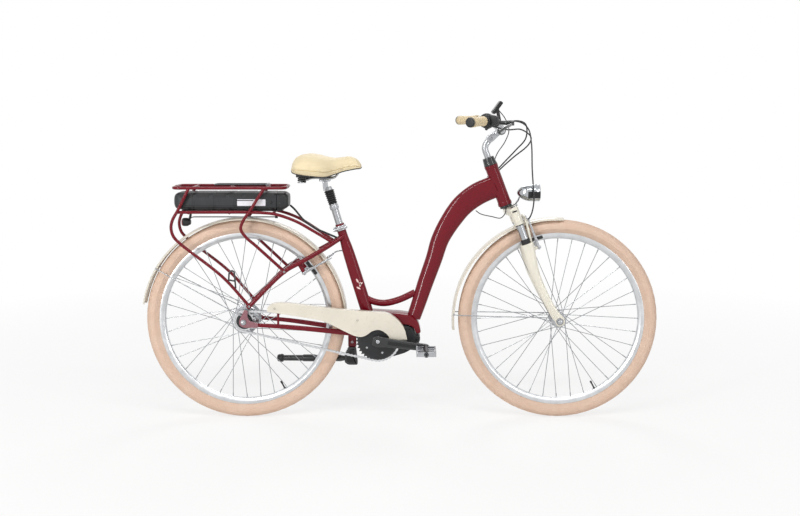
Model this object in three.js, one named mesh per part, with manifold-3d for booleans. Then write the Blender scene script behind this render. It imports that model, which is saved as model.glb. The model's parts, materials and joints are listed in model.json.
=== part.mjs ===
import * as THREE from 'three';
import { mergeVertices } from 'three/addons/utils/BufferGeometryUtils.js';
import Module from 'manifold-3d';

const wasm = await Module();
wasm.setup();

// A step-through city bicycle with a middle motor and a battery in its rear carrier.
// Millimetres, +X to the front, +Z up, the chain side is -Y. The origin is on the ground,
// under the middle of the bicycle's length.

// Driving sizes of the whole bicycle
const tyreRadius = 358;
const wheelGap = 406;
const wheelbase = 2 * tyreRadius + wheelGap;
const headAngle = THREE.MathUtils.degToRad(69.5);
const seatAngle = THREE.MathUtils.degToRad(72.7);
const crankLength = 170;
const barHalfWidth = 305;
const clearance = 0.3;
const overrun = 1;
const sliver = 0.02;

// Fenders: an arc of one radius over each tyre, its centre set back from the axle
const fender = {
  gap: 13, wall: 1.6, halfWidth: 29, drop: 9, setBack: 5, setDown: 4,
  rearStart: THREE.MathUtils.degToRad(3), rearEnd: THREE.MathUtils.degToRad(171),
  frontStart: THREE.MathUtils.degToRad(85.5), frontEnd: THREE.MathUtils.degToRad(185.5),
  frontSetBack: 11, frontSetDown: 5, arcSteps: 22, stayRadius: 2.1,
};
fender.radius = tyreRadius + fender.gap;

// Wheel axles: the origin is halfway between the rear fender's end and the front tyre
const wheelSegments = 36;
const tyreReach = tyreRadius / Math.cos(Math.PI / wheelSegments);
const rearReach = fender.setBack - fender.radius * Math.cos(fender.rearEnd);
const rearAxleX = (rearReach - wheelbase - tyreRadius) / 2;
const frontAxleX = rearAxleX + wheelbase;
const axleZ = tyreRadius;
const rearCentre = new THREE.Vector3(rearAxleX, 0, axleZ);
const frontCentre = new THREE.Vector3(frontAxleX, 0, axleZ);

// Tyre, rim, spokes and hubs
const tyre = { height: 46.5, halfWidth: 23.5, crownHalfWidth: 7, wall: 3.2, beadHalfWidth: 9.6 };
const rim = { flangeHeight: 8.1, boxHeight: 22, halfWidth: 12.5, flangeWall: 2.3, innerHalfWidth: 7 };
rim.flangeRadius = tyreRadius - tyre.height;
rim.bedRadius = rim.flangeRadius - rim.flangeHeight;
rim.innerRadius = rim.flangeRadius - rim.boxHeight;
const padRadius = (rim.flangeRadius + rim.innerRadius) / 2;
const shoulderAngles = [62, 112];
const spoke = { count: 36, radius: 1, endRadius: 1.6, crossShare: 3, sides: 3 };
const frontHub = { flangeRadius: 24, flangeHalf: 35, flangeWall: 4, shellRadius: 15,
  endRadius: 11, endHalf: 44, boreRadius: 5.4, sides: 14 };
const rearHub = { flangeRadius: 46, flangeHalf: 30, flangeWall: 4, shellRadius: 33,
  endRadius: 24, endHalf: 40, boreRadius: 5.9, sides: 16 };
const axle = { frontRadius: 5, rearRadius: 5.5, coneWall: 3, nutRadius: 9.5, nutLength: 8, tipLength: 4,
  sides: 8 };

// Bottom bracket, chain and sprockets
const bracketAhead = 476;
const bracket = { x: rearAxleX + bracketAhead, z: 292 };
const pitch = 12.7;
const chain = { y: -50, innerHalf: 1.9, outerHalf: 3.6, plateHalf: 4, webInner: 3.4, rearSteps: 13,
  waveShare: 0.12 };
const chainringTeeth = 38;
const sprocketTeeth = 18;
const toothHalfThickness = 1.1;
const toothTip = 2.9;
const toothRoot = 3.9;

// Main frame tubes
const headBehind = 190;
const seatTubeBehind = 41;
const headTube = { x: frontAxleX - headBehind, z: 769.2, length: 152, radius: 23.5, boreRadius: 17.5,
  lipRadius: 25.5, lipLength: 12, topLipRadius: 24.5, sides: 16 };
const seatTube = { bottomX: bracket.x - seatTubeBehind, bottomZ: 385.4, topZ: 700, topRadius: 16.2,
  lowHalf: 22, lowHalfWidth: 18, boreLow: 120, sides: 12 };
const downTube = { width: 46, thick: 78 };
const stays = { rearY: 64, chainHalfHigh: 10, chainHalfWide: 7, seatRadius: 8 };
const dropout = { wall: 6, inner: 67.5, size: 26 };
const postRadius = 13.6;
const colours = { red: 0x7a0f1c, cream: 0xe6e0cf, tyre: 0xe7bfa6, saddle: 0xe5cf9e, grip: 0xe8d3ac,
  black: 0x1c1c1e, battery: 0x2b2b2d, silver: 0xc4c7c9, chrome: 0xdedfe0, steel: 0x9a9c9e };

// Steering axis: along runs down it from the head tube's lower end, forward is square to it
const axisUp = new THREE.Vector3(-Math.cos(headAngle), 0, Math.sin(headAngle));
const axisForward = new THREE.Vector3(Math.sin(headAngle), 0, Math.cos(headAngle));
const sideways = new THREE.Vector3(0, 1, 0);
const headBottom = new THREE.Vector3(headTube.x, 0, headTube.z);
const onFork = (along, forward, y = 0) => headBottom.clone().addScaledVector(axisUp, -along)
  .addScaledVector(axisForward, forward).addScaledVector(sideways, y);

// Seat axis: up runs along it from the seat tube's lower end
const seatUp = new THREE.Vector3(-Math.cos(seatAngle), 0, Math.sin(seatAngle));
const seatForward = new THREE.Vector3(Math.sin(seatAngle), 0, Math.cos(seatAngle));
const seatBottom = new THREE.Vector3(seatTube.bottomX, 0, seatTube.bottomZ);
const onSeat = (up, forward = 0, y = 0) => seatBottom.clone().addScaledVector(seatUp, up)
  .addScaledVector(seatForward, forward).addScaledVector(sideways, y);
const seatTubeLength = (seatTube.topZ - seatTube.bottomZ) / Math.sin(seatAngle);

const vec = (x, y, z) => new THREE.Vector3(x, y, z);

// A many-sided hole whose flats clear a round of this radius
const around = (radius, sides) => (radius + clearance) / Math.cos(Math.PI / sides);
const bothSides = [-1, 1];

// Solids

function toSolid(geometry) {
  const plain = geometry.index ? geometry.toNonIndexed() : geometry.clone();
  plain.deleteAttribute('normal');
  plain.deleteAttribute('uv');
  const merged = mergeVertices(plain);
  const mesh = { numProp: 3, vertProperties: merged.attributes.position.array,
    triVerts: Uint32Array.from(merged.index.array) };
  return new wasm.Manifold(new wasm.Mesh(mesh));
}

function fromSolid(solid) {
  const mesh = solid.simplify(sliver).getMesh();
  const geometry = new THREE.BufferGeometry();
  geometry.setAttribute('position', new THREE.BufferAttribute(mesh.vertProperties, mesh.numProp));
  geometry.setIndex(new THREE.BufferAttribute(mesh.triVerts, 1));
  const flat = geometry.toNonIndexed();
  flat.computeVertexNormals();
  return flat;
}

function join(geometries) {
  return fromSolid(geometries.map(toSolid).reduce((whole, next) => whole.add(next)));
}

function cut(geometry, tools) {
  return fromSolid(tools.map(toSolid).reduce((whole, tool) => whole.subtract(tool), toSolid(geometry)));
}

// A closed skin over rings that all hold the same number of points
function loft(rings, closed = false) {
  const count = rings[0].length;
  const points = rings.flat();
  const faces = [];
  const last = closed ? rings.length : rings.length - 1;
  for (let i = 0; i < last; i += 1) {
    const next = (i + 1) % rings.length;
    for (let j = 0; j < count; j += 1) {
      const k = (j + 1) % count;
      faces.push([i * count + j, i * count + k, next * count + k]);
      faces.push([i * count + j, next * count + k, next * count + j]);
    }
  }
  if (!closed) {
    const cap = THREE.ShapeUtils.triangulateShape(flatten(rings[0]), []);
    const end = (rings.length - 1) * count;
    cap.forEach(([a, b, c]) => {
      faces.push([c, b, a]);
      faces.push([end + a, end + b, end + c]);
    });
  }
  const volume = faces.reduce((sum, [a, b, c]) =>
    sum + points[a].dot(points[b].clone().cross(points[c])), 0);
  const position = faces.flatMap((face) => (volume < 0 ? face.slice().reverse() : face))
    .flatMap((index) => points[index].toArray());
  const geometry = new THREE.BufferGeometry();
  geometry.setAttribute('position', new THREE.Float32BufferAttribute(position, 3));
  geometry.computeVertexNormals();
  return geometry;
}

// A ring's outline in its own plane, wound anticlockwise
function flatten(ring) {
  const normal = ring.reduce((sum, point, i) =>
    sum.add(point.clone().cross(ring[(i + 1) % ring.length])), vec(0, 0, 0)).normalize();
  const across = ring[1].clone().sub(ring[0]);
  across.addScaledVector(normal, -across.dot(normal)).normalize();
  const up = normal.clone().cross(across);
  return ring.map((point) => new THREE.Vector2(point.dot(across), point.dot(up)));
}

// An oval ring: halves of its width and height along two directions
function ovalRing(centre, across, up, halfAcross, halfUp, sides, turn = 0) {
  return Array.from({ length: sides }, (_, i) => {
    const angle = ((i + turn) / sides) * Math.PI * 2;
    return centre.clone().addScaledVector(across, Math.cos(angle) * halfAcross)
      .addScaledVector(up, Math.sin(angle) * halfUp);
  });
}

// A rounded box ring: each corner is cut by a share of the smaller half
function blockRing(centre, across, up, halfAcross, halfUp, cornerShare = 0.35) {
  const c = Math.min(halfAcross, halfUp) * cornerShare;
  const corners = [[1, -1, 0, 1], [1, 1, 0, -1], [1, 1, -1, 0], [-1, 1, 1, 0], [-1, 1, 0, -1],
    [-1, -1, 0, 1], [-1, -1, 1, 0], [1, -1, -1, 0]];
  return corners.map(([a, b, da, db]) => centre.clone()
    .addScaledVector(across, a * halfAcross + da * c).addScaledVector(up, b * halfUp + db * c));
}

// A smooth path that spends the same number of steps on each span between its points
class BentPath extends THREE.CatmullRomCurve3 {
  getUtoTmapping(u) {
    return u;
  }
}

// Ease each inner corner of a line of points: a point before it, one on the bend and one after
function eased(points, run) {
  const out = [points[0]];
  for (let i = 1; i < points.length - 1; i += 1) {
    const corner = points[i];
    const before = points[i - 1].clone().sub(corner).normalize().multiplyScalar(run).add(corner);
    const after = points[i + 1].clone().sub(corner).normalize().multiplyScalar(run).add(corner);
    out.push(before, before.clone().add(after).multiplyScalar(0.5).lerp(corner, 0.5), after);
  }
  return [...out, points.at(-1)];
}

// A tube of one radius through points
function tube(points, radius, sides, perSpan = 1) {
  const curve = new BentPath(points, false, 'centripetal');
  const steps = (points.length - 1) * perSpan;
  const outline = Array.from({ length: sides }, (_, i) => {
    const angle = ((i + 0.5) / sides) * Math.PI * 2;
    return new THREE.Vector2(Math.cos(angle) * radius, Math.sin(angle) * radius);
  });
  return new THREE.ExtrudeGeometry(new THREE.Shape(outline),
    { steps, bevelEnabled: false, extrudePath: curve });
}

function rod(from, to, radius, sides, endRadius = radius) {
  const along = to.clone().sub(from);
  const geometry = new THREE.CylinderGeometry(endRadius, radius, along.length(), sides);
  geometry.applyQuaternion(new THREE.Quaternion().setFromUnitVectors(sideways, along.clone().normalize()));
  const middle = from.clone().add(to).multiplyScalar(0.5);
  return geometry.translate(middle.x, middle.y, middle.z);
}

// A solid turned about the line from one point towards another; the profile holds [radius, along]
function turned(profile, from, towards, segments, closedProfile = false) {
  const points = profile.map(([radius, along]) => new THREE.Vector2(radius, along));
  if (closedProfile) points.push(points[0].clone());
  const geometry = new THREE.LatheGeometry(points, segments, Math.PI / segments);
  const direction = towards.clone().sub(from).normalize();
  geometry.applyQuaternion(new THREE.Quaternion().setFromUnitVectors(sideways, direction));
  return outward(geometry.translate(from.x, from.y, from.z));
}

// Turn a closed skin's faces outwards where its profile ran the other way
function outward(geometry) {
  const flat = geometry.index ? geometry.toNonIndexed() : geometry;
  const p = flat.attributes.position;
  let volume = 0;
  const [a, b, c] = [vec(0, 0, 0), vec(0, 0, 0), vec(0, 0, 0)];
  for (let i = 0; i < p.count; i += 3) {
    a.fromBufferAttribute(p, i);
    b.fromBufferAttribute(p, i + 1);
    c.fromBufferAttribute(p, i + 2);
    volume += a.dot(b.clone().cross(c));
  }
  if (volume < 0) {
    for (let i = 0; i < p.count; i += 3) {
      b.fromBufferAttribute(p, i + 1);
      c.fromBufferAttribute(p, i + 2);
      p.setXYZ(i + 1, c.x, c.y, c.z);
      p.setXYZ(i + 2, b.x, b.y, b.z);
    }
    flat.computeVertexNormals();
  }
  return flat;
}

// A plate with its outline in the side view, from one y to another
function plate(outline, yLow, yHigh, holes = []) {
  const shape = outline instanceof THREE.Shape ? outline : new THREE.Shape(outline);
  shape.holes.push(...holes);
  const geometry = new THREE.ExtrudeGeometry(shape, { depth: yHigh - yLow, bevelEnabled: false,
    curveSegments: 6 });
  return geometry.rotateX(Math.PI / 2).translate(0, yHigh, 0);
}

function circlePath(x, z, radius, sides) {
  return new THREE.Path(Array.from({ length: sides }, (_, i) => {
    const angle = (i / sides) * Math.PI * 2;
    return new THREE.Vector2(x + Math.cos(angle) * radius, z + Math.sin(angle) * radius);
  }));
}

function box(centre, sizeX, sizeY, sizeZ) {
  return new THREE.BoxGeometry(sizeX, sizeY, sizeZ).translate(centre.x, centre.y, centre.z);
}

const model = new THREE.Group();

function add(name, geometry, colour, roughness, metalness) {
  const material = new THREE.MeshStandardMaterial({ color: colour, roughness, metalness });
  const mesh = new THREE.Mesh(geometry, material);
  mesh.name = name;
  model.add(mesh);
  return mesh;
}

// Wheels: each stands on a flat facet of its tyre

function tyreProfile() {
  const bend = tyre.halfWidth;
  const middle = tyreRadius - bend;
  const round = shoulderAngles.map((degrees) => THREE.MathUtils.degToRad(degrees));
  const half = [[tyreReach, tyre.crownHalfWidth],
    ...round.map((angle) => [middle + bend * Math.cos(angle), bend * Math.sin(angle)]),
    [rim.flangeRadius + clearance, tyre.beadHalfWidth],
    [rim.flangeRadius + clearance, tyre.beadHalfWidth - tyre.wall],
    [middle, bend - tyre.wall]];
  const crown = [[tyreRadius - 2 * tyre.wall, 0]];
  return [...half, ...crown, ...half.slice().reverse().map(([radius, along]) => [radius, -along])];
}

function rimProfile() {
  const flangeInner = rim.halfWidth - rim.flangeWall;
  const half = [[rim.innerRadius, rim.innerHalfWidth], [rim.flangeRadius, rim.halfWidth],
    [rim.flangeRadius, flangeInner], [rim.bedRadius, flangeInner]];
  return [...half, ...half.slice().reverse().map(([radius, along]) => [radius, -along])];
}

function hubProfile(hub) {
  const outer = hub.flangeHalf + hub.flangeWall / 2;
  const inner = hub.flangeHalf - hub.flangeWall / 2;
  const half = [[hub.boreRadius, hub.endHalf], [hub.endRadius, hub.endHalf],
    [hub.endRadius, outer], [hub.flangeRadius + hub.flangeWall, outer],
    [hub.flangeRadius + hub.flangeWall, inner], [hub.shellRadius, inner - hub.flangeWall]];
  return [...half, ...half.slice().reverse().map(([radius, along]) => [radius, -along])];
}

// Crossed spokes: each leaves its flange at a tangent and passes three others on its side
function spokes(centre, hub) {
  const perSide = spoke.count / 2;
  const step = (Math.PI * 2) / perSide;
  const end = rim.innerRadius * Math.cos(Math.PI / wheelSegments) - clearance * 2;
  return bothSides.flatMap((side) => Array.from({ length: perSide }, (_, i) => {
    const lead = i % 2 === 0 ? 1 : -1;
    const hubAngle = i * step + (side > 0 ? step / 2 : 0);
    const rimAngle = hubAngle + lead * step * spoke.crossShare;
    const lean = lead * spoke.radius * 1.05;
    const from = centre.clone().add(vec(Math.cos(hubAngle) * hub.flangeRadius,
      side * hub.flangeHalf + lean, Math.sin(hubAngle) * hub.flangeRadius));
    const to = centre.clone().add(vec(Math.cos(rimAngle) * end,
      side * rim.innerHalfWidth / 2 + lean, Math.sin(rimAngle) * end));
    return rod(from, to, spoke.radius, spoke.sides, spoke.endRadius);
  }));
}

function addWheel(name, x, hub) {
  const centre = vec(x, 0, axleZ);
  const along = centre.clone().add(sideways);
  add(`${name}_tyre`, turned(tyreProfile(), centre, along, wheelSegments, true), colours.tyre, 0.85, 0);
  add(`${name}_rim`, turned(rimProfile(), centre, along, wheelSegments, true), colours.silver, 0.35, 0.9);
  const shell = turned(hubProfile(hub), centre, along, hub.sides, true);
  add(`${name}_hub`, join([shell, ...spokes(centre, hub)]), colours.steel, 0.35, 0.9);
}

// An axle with its cones inside and its nuts outside the two plates that hold it
function addAxle(name, x, radius, hub, plateInner, plateOuter) {
  const nutEnd = plateOuter + axle.nutLength;
  const side = [[radius, hub.endHalf + clearance], [radius + axle.coneWall, hub.endHalf + clearance],
    [radius + axle.coneWall, plateInner - clearance], [radius, plateInner - clearance],
    [radius, plateOuter + clearance], [axle.nutRadius, plateOuter + clearance],
    [axle.nutRadius, nutEnd], [radius, nutEnd + axle.tipLength], [0, nutEnd + axle.tipLength]];
  const profile = [...side.slice().reverse().map(([r, along]) => [r, -along]), ...side];
  const centre = vec(x, 0, axleZ);
  add(name, turned(profile, centre, centre.clone().add(sideways), axle.sides), colours.steel, 0.35, 0.9);
}

addWheel('front_wheel', frontAxleX, frontHub);
addWheel('rear_wheel', rearAxleX, rearHub);

// Drive: chainring, sprocket and the chain that wraps them both

const pitchRadius = (teeth) => pitch / (2 * Math.sin(Math.PI / teeth));
const ringRadius = pitchRadius(chainringTeeth);
const cogRadius = pitchRadius(sprocketTeeth);
const bracketCentre = vec(bracket.x, 0, bracket.z);
const ring = { holeRadius: 12.6, spiderRadius: 60, spiderWall: 3, sides: 12 };
const cog = { boreRadius: 9.1, lidRadius: 30, lidWall: 2.6, sides: 14 };

// One tooth for each pitch: root, flank, tip and flank again
function toothedShape(x, z, teeth, phase) {
  const radius = pitchRadius(teeth);
  const flankShares = [[-0.5, -1], [-0.15, 1], [0.15, 1]];
  return new THREE.Shape(Array.from({ length: teeth }, (_, i) => flankShares.map(([share, rise]) => {
    const angle = ((i + share) / teeth) * Math.PI * 2 + phase;
    const r = radius + (rise > 0 ? toothTip : -toothRoot);
    return new THREE.Vector2(x + Math.cos(angle) * r, z + Math.sin(angle) * r);
  })).flat());
}

// The loop of the chain: round the rear sprocket, along the top, round the chainring and back
function chainLoop() {
  const dx = bracketCentre.x - rearCentre.x;
  const dz = bracketCentre.z - rearCentre.z;
  const span = Math.hypot(dx, dz);
  const tilt = Math.atan2(dz, dx);
  const spread = Math.acos((cogRadius - ringRadius) / span);
  const corner = (centre, radius, angle) => ({
    point: vec(centre.x + Math.cos(angle) * radius, chain.y, centre.z + Math.sin(angle) * radius),
    out: vec(Math.cos(angle), 0, Math.sin(angle)),
  });
  const arc = (centre, radius, from, to, steps) => Array.from({ length: steps + 1 }, (_, i) =>
    corner(centre, radius, from + ((to - from) * i) / steps));
  const top = tilt + spread;
  const bottom = tilt - spread;
  const rear = arc(rearCentre, cogRadius, top, bottom + Math.PI * 2, chain.rearSteps);
  const front = arc(bracketCentre, ringRadius, bottom, top, chainringTeeth / 2);
  const straight = (a, b, steps) => Array.from({ length: steps - 1 }, (_, i) => ({
    point: a.point.clone().lerp(b.point, (i + 1) / steps),
    out: a.out.clone().lerp(b.out, (i + 1) / steps).normalize(),
  }));
  const links = Math.round(rear[0].point.distanceTo(front.at(-1).point) / (pitch * 2)) * 2;
  return [...rear, ...straight(rear.at(-1), front[0], links / 2), ...front];
}

// The chain's section is open towards the teeth, and its outline waves once for each link
function addChain() {
  const rings = chainLoop().map(({ point, out }, i) => {
    const wave = i % 2 === 0 ? 1 : 1 - chain.waveShare;
    const high = chain.plateHalf * wave;
    return [[-chain.outerHalf, -high], [-chain.outerHalf, high], [chain.outerHalf, high],
      [chain.outerHalf, -high], [chain.innerHalf, -high], [chain.innerHalf, chain.webInner],
      [-chain.innerHalf, chain.webInner], [-chain.innerHalf, -high]]
      .map(([across, up]) => point.clone().addScaledVector(sideways, across).addScaledVector(out, up));
  });
  add('chain', loft(rings, true), colours.silver, 0.35, 0.9);
}

function addSprockets() {
  const teethAt = (half) => [chain.y - half, chain.y + half];
  const faceY = chain.y - toothHalfThickness + clearance;
  const teeth = plate(toothedShape(bracket.x, bracket.z, chainringTeeth, 0), ...teethAt(toothHalfThickness),
    [circlePath(bracket.x, bracket.z, ring.holeRadius, ring.sides)]);
  const lid = turned([[ring.holeRadius, 0], [ring.spiderRadius, 0],
    [ring.spiderRadius - ring.spiderWall, ring.spiderWall],
    [ring.holeRadius + ring.spiderWall, ring.spiderWall * 2], [ring.holeRadius, ring.spiderWall * 2]],
  vec(bracket.x, faceY, bracket.z), vec(bracket.x, chain.y - ring.spiderRadius, bracket.z), ring.sides, true);
  add('chainring', join([teeth, lid]), colours.black, 0.5, 0.5);
  const rearTeeth = plate(toothedShape(rearCentre.x, rearCentre.z, sprocketTeeth, 0),
    ...teethAt(toothHalfThickness), [circlePath(rearCentre.x, rearCentre.z, cog.boreRadius, cog.sides)]);
  const cap = turned([[cog.boreRadius, 0], [cog.lidRadius, 0], [cog.lidRadius - cog.lidWall, cog.lidWall],
    [cog.boreRadius, cog.lidWall]],
  vec(rearCentre.x, faceY, rearCentre.z), vec(rearCentre.x, chain.y - cog.lidRadius, rearCentre.z),
  cog.sides, true);
  add('rear_sprocket', join([rearTeeth, cap]), colours.black, 0.5, 0.6);
}

// Cranks and pedals: the left crank carries the spindle
const crank = { spindleRadius: 11.5, inner: 75, wall: 14, hubHalf: 19, tipHalf: 13, splay: 6, pinRadius: 5,
  boltRadius: 7, boltRise: 2 };
const crankDrop = THREE.MathUtils.degToRad(7);
const pedal = { gap: 4, length: 92, halfLong: 34, halfHigh: 10, bar: 8, barrelRadius: 12, boreRadius: 5.6 };
const crankDirection = vec(Math.cos(crankDrop), 0, -Math.sin(crankDrop));

function addCrank(name, side) {
  const direction = crankDirection.clone().multiplyScalar(-side);
  const up = sideways.clone().cross(direction);
  const at = (share) => {
    const middle = side * (crank.inner + crank.wall / 2 + crank.splay * share);
    return bracketCentre.clone().addScaledVector(direction, crankLength * share).setY(middle);
  };
  const stations = [[-0.11, 0.55], [-0.06, 0.9], [0.04, 1], [0.3, 0.82], [0.92, 0.7], [1.02, 0.66], [1.08, 0.4]];
  const rings = stations.map(([share, widthShare]) =>
    blockRing(at(share), sideways, up, crank.wall / 2, crank.hubHalf * widthShare, 0.4));
  const eye = at(1);
  const pinTip = eye.clone().setY(side * (crank.inner + crank.wall + crank.splay + pedal.gap + pedal.length));
  const parts = [loft(rings), rod(eye, pinTip, crank.pinRadius, 8)];
  if (side > 0) {
    parts.push(rod(bracketCentre.clone().setY(crank.inner + crank.splay),
      bracketCentre.clone().setY(clearance * 2 - crank.inner), crank.spindleRadius, 12));
  } else {
    parts.push(rod(at(0), at(0).setY(-crank.inner - crank.wall - crank.boltRise), crank.boltRadius, 8));
  }
  add(name, join(parts), colours.black, 0.4, 0.4);
}

// A pedal's cage round its barrel
function addPedal(name, side) {
  const eye = bracketCentre.clone().addScaledVector(crankDirection, -side * crankLength);
  const inner = crank.inner + crank.wall + crank.splay + pedal.gap;
  const middleY = side * (inner + pedal.length / 2);
  const outer = box(eye.clone().setY(middleY), pedal.halfLong * 2, pedal.length, pedal.halfHigh * 2);
  const well = (sign) => box(eye.clone().add(vec(sign * (pedal.halfLong + pedal.barrelRadius - pedal.bar) / 2,
    0, 0)).setY(middleY), pedal.halfLong - pedal.barrelRadius - pedal.bar, pedal.length - pedal.bar * 2,
  pedal.halfHigh * 2 + overrun);
  const trim = (sign) => box(eye.clone().add(vec(0, 0, sign * pedal.halfHigh)).setY(middleY),
    (pedal.barrelRadius + pedal.bar) * 2, pedal.length - pedal.bar * 2, pedal.halfHigh / 2);
  const bore = rod(eye.clone().setY(side * (inner - overrun)),
    eye.clone().setY(side * (inner + pedal.length + overrun)), pedal.boreRadius, 10);
  add(name, cut(outer, [well(-1), well(1), trim(-1), trim(1), bore]), colours.silver, 0.4, 0.7);
}

addChain();
addSprockets();
addCrank('crank_right', -1);
addCrank('crank_left', 1);
addPedal('pedal_right', -1);
addPedal('pedal_left', 1);

// Main frame: one weldment. Tables give places ahead of an axle in units of one size.

const gridLength = 100;
const fromBracket = ([x, z]) => vec(bracket.x + x * gridLength, 0, bracket.z + z * gridLength);
const fromRear = ([x, z], y = 0) => vec(rearCentre.x + x * gridLength, y, rearCentre.z + z * gridLength);
const outlineAt = (shares, place) => shares.map((pair) => place(pair))
  .map(({ x, z }) => new THREE.Vector2(x, z));

// The down tube bows forward on its way to the motor: share of the way, bow and depth
const downTubeWayShares = [[0, 0, 1.02], [0.1, 0.068, 1.03], [0.2, 0.109, 1], [0.3, 0.124, 0.95],
  [0.47, 0.121, 0.82], [0.61, 0.087, 0.76], [0.77, 0.053, 0.72], [0.9, 0.022, 0.67], [1, 0, 0.64]];
const downTubeShares = [[0, 1], [0.62, 0.84], [1, 0.3], [0.86, -0.42], [0.45, -0.94],
  [-0.45, -0.94], [-0.86, -0.42], [-1, 0.3], [-0.62, 0.84]];
const seatTubeShares = [[-0.12, 1, 1], [0.21, 1, 1], [0.5, 0.98, 0.97], [0.72, 0.9, 0.93], [0.84, 0.76, 0.9],
  [1, 0.735, 0.9]];
const motorOutlineShares = [[-0.4, 0], [-0.34, 0.33], [-0.17, 0.52], [0.36, 0.52], [0.8, 0.47], [1.05, 0.47],
  [1.26, 0.36], [1.35, 0.12], [1.5, 0.1], [1.52, -0.06], [1.43, -0.26], [1, -0.54], [0.46, -0.7],
  [-0.04, -0.68], [-0.34, -0.42]];
const shellOutlineShares = [[-0.66, 0.93], [-0.2, 0.95], [0.74, 0.89], [1.14, 0.84], [1.44, 0.6], [1.54, 0.2],
  [1.38, 0.15], [1.29, 0.38], [1.06, 0.495], [0.8, 0.495], [0.36, 0.545], [-0.19, 0.545], [-0.44, 0.36],
  [-0.52, 0.04], [-0.76, 0], [-0.84, 0.26], [-0.72, 0.58]];
const dropoutShares = [[-0.35, -0.6], [-0.62, -0.2], [-0.55, 0.4], [-0.2, 0.95], [0.1, 1.75], [0.65, 1.55],
  [0.5, 0.85], [0.8, 0.2], [1.25, 0.02], [1.95, -0.1], [2, -0.75], [1.2, -0.75], [0.2, -0.78]];
const seatStayShares = [[2.94, 2.63, 0.36], [2.06, 2.13, 0.52], [1.46, 1.8, 0.6], [0.14, 0.5, 0.64]];
const chainStayShares = [[4.32, -0.51, 0.38], [3.22, -0.4, 0.38], [1.52, -0.2, 0.56], [0.48, -0.12, 0.64]];
const braceShares = [[0, 0], [0.2, -0.1], [0.42, -0.135], [0.7, -0.07], [1, 0.07]];

const motor = { halfWide: 36, boreRadius: 12.4, boreSides: 12 };
const layout = {
  downStartAlong: -75, downStartForward: -12, footForward: 128, footRise: 70,
  braceRadius: 12, braceSpan: 190, braceRearUp: 56, seatStayTop: 284, seatStayTopY: 12,
  standAhead: 380, standHalf: 15, standLow: 246, standY: 38, standHalfWide: 7,
  postAhead: 122, postY: 62.3, postTop: 401, postRadius: 4, postLow: 338,
};
const brake = { armLow: -9, armHigh: 112, armHalf: 4.2, wall: 9, pinRadius: 4.5, pinReach: 13, padUp: 27.5,
  padLength: 56, padHigh: 11, padInner: 14.3, padWall: 8.5, postRadius: 3.6 };
const rearBrake = { angle: THREE.MathUtils.degToRad(39.8335), padReach: 25.73, y: 41, bossRadius: 7,
  bossReach: 34 };
const rearBrakeReach = padRadius - rearBrake.padReach;
const stayLine = vec(0.872, 0, 0.489).normalize();
const staySquare = vec(stayLine.z, 0, -stayLine.x);
const rearPivot = (side) => vec(rearCentre.x + Math.cos(rearBrake.angle) * rearBrakeReach, side * rearBrake.y,
  rearCentre.z + Math.sin(rearBrake.angle) * rearBrakeReach);

function downTubeSolid() {
  const start = onFork(layout.downStartAlong, layout.downStartForward);
  const end = bracketCentre.clone().add(vec(layout.footForward, 0, layout.footRise));
  const line = end.clone().sub(start);
  const bow = vec(line.z, 0, -line.x).normalize();
  const route = downTubeWayShares.map(([along, out]) => start.clone().addScaledVector(line, along)
    .addScaledVector(bow, out * line.length()));
  const curve = new BentPath(route, false, 'centripetal');
  return loft(downTubeWayShares.map(([, , depthShare], i) => {
    const t = i / (route.length - 1);
    const up = curve.getTangentAt(t).cross(sideways).normalize();
    return downTubeShares.map(([across, high]) => route[i].clone()
      .addScaledVector(sideways, across * downTube.width * 0.5)
      .addScaledVector(up, high * downTube.thick * depthShare * 0.5));
  }));
}

function seatTubeSolid() {
  return loft(seatTubeShares.map(([upShare, depthShare, wideShare]) =>
    ovalRing(onSeat(upShare * seatTubeLength), seatForward, sideways.clone().negate(),
      seatTube.lowHalf * depthShare, seatTube.lowHalfWidth * wideShare, seatTube.sides)));
}

const seatStayRoute = (side) => [onSeat(layout.seatStayTop, 0, side * layout.seatStayTopY),
  ...seatStayShares.map(([x, z, y]) => fromRear([x, z], side * y * gridLength))];
const seatStaySolid = (side, radius) => tube(seatStayRoute(side), radius, 8);
const onSeatStay = (side, share) =>
  new BentPath(seatStayRoute(side), false, 'centripetal').getPointAt(share);

function chainStaySolid(side) {
  const curve = new BentPath(chainStayShares.map(([x, z, y]) => fromRear([x, z], side * y * gridLength)),
    false, 'centripetal');
  const steps = 6;
  return loft(Array.from({ length: steps + 1 }, (_, i) => blockRing(curve.getPointAt(i / steps),
    sideways, vec(0, 0, 1), stays.chainHalfWide * (1 - (0.25 * i) / steps),
    stays.chainHalfHigh * (1.05 - (0.35 * i) / steps), 0.5)));
}

function dropoutSolid(side) {
  const outline = dropoutShares.map(([x, z]) => new THREE.Vector2(rearCentre.x + x * dropout.size,
    rearCentre.z + z * dropout.size));
  const low = side > 0 ? dropout.inner : -dropout.inner - dropout.wall;
  return plate(outline, low, low + dropout.wall,
    [circlePath(rearCentre.x, rearCentre.z, around(axle.rearRadius, axle.sides), axle.sides)]);
}

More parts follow.
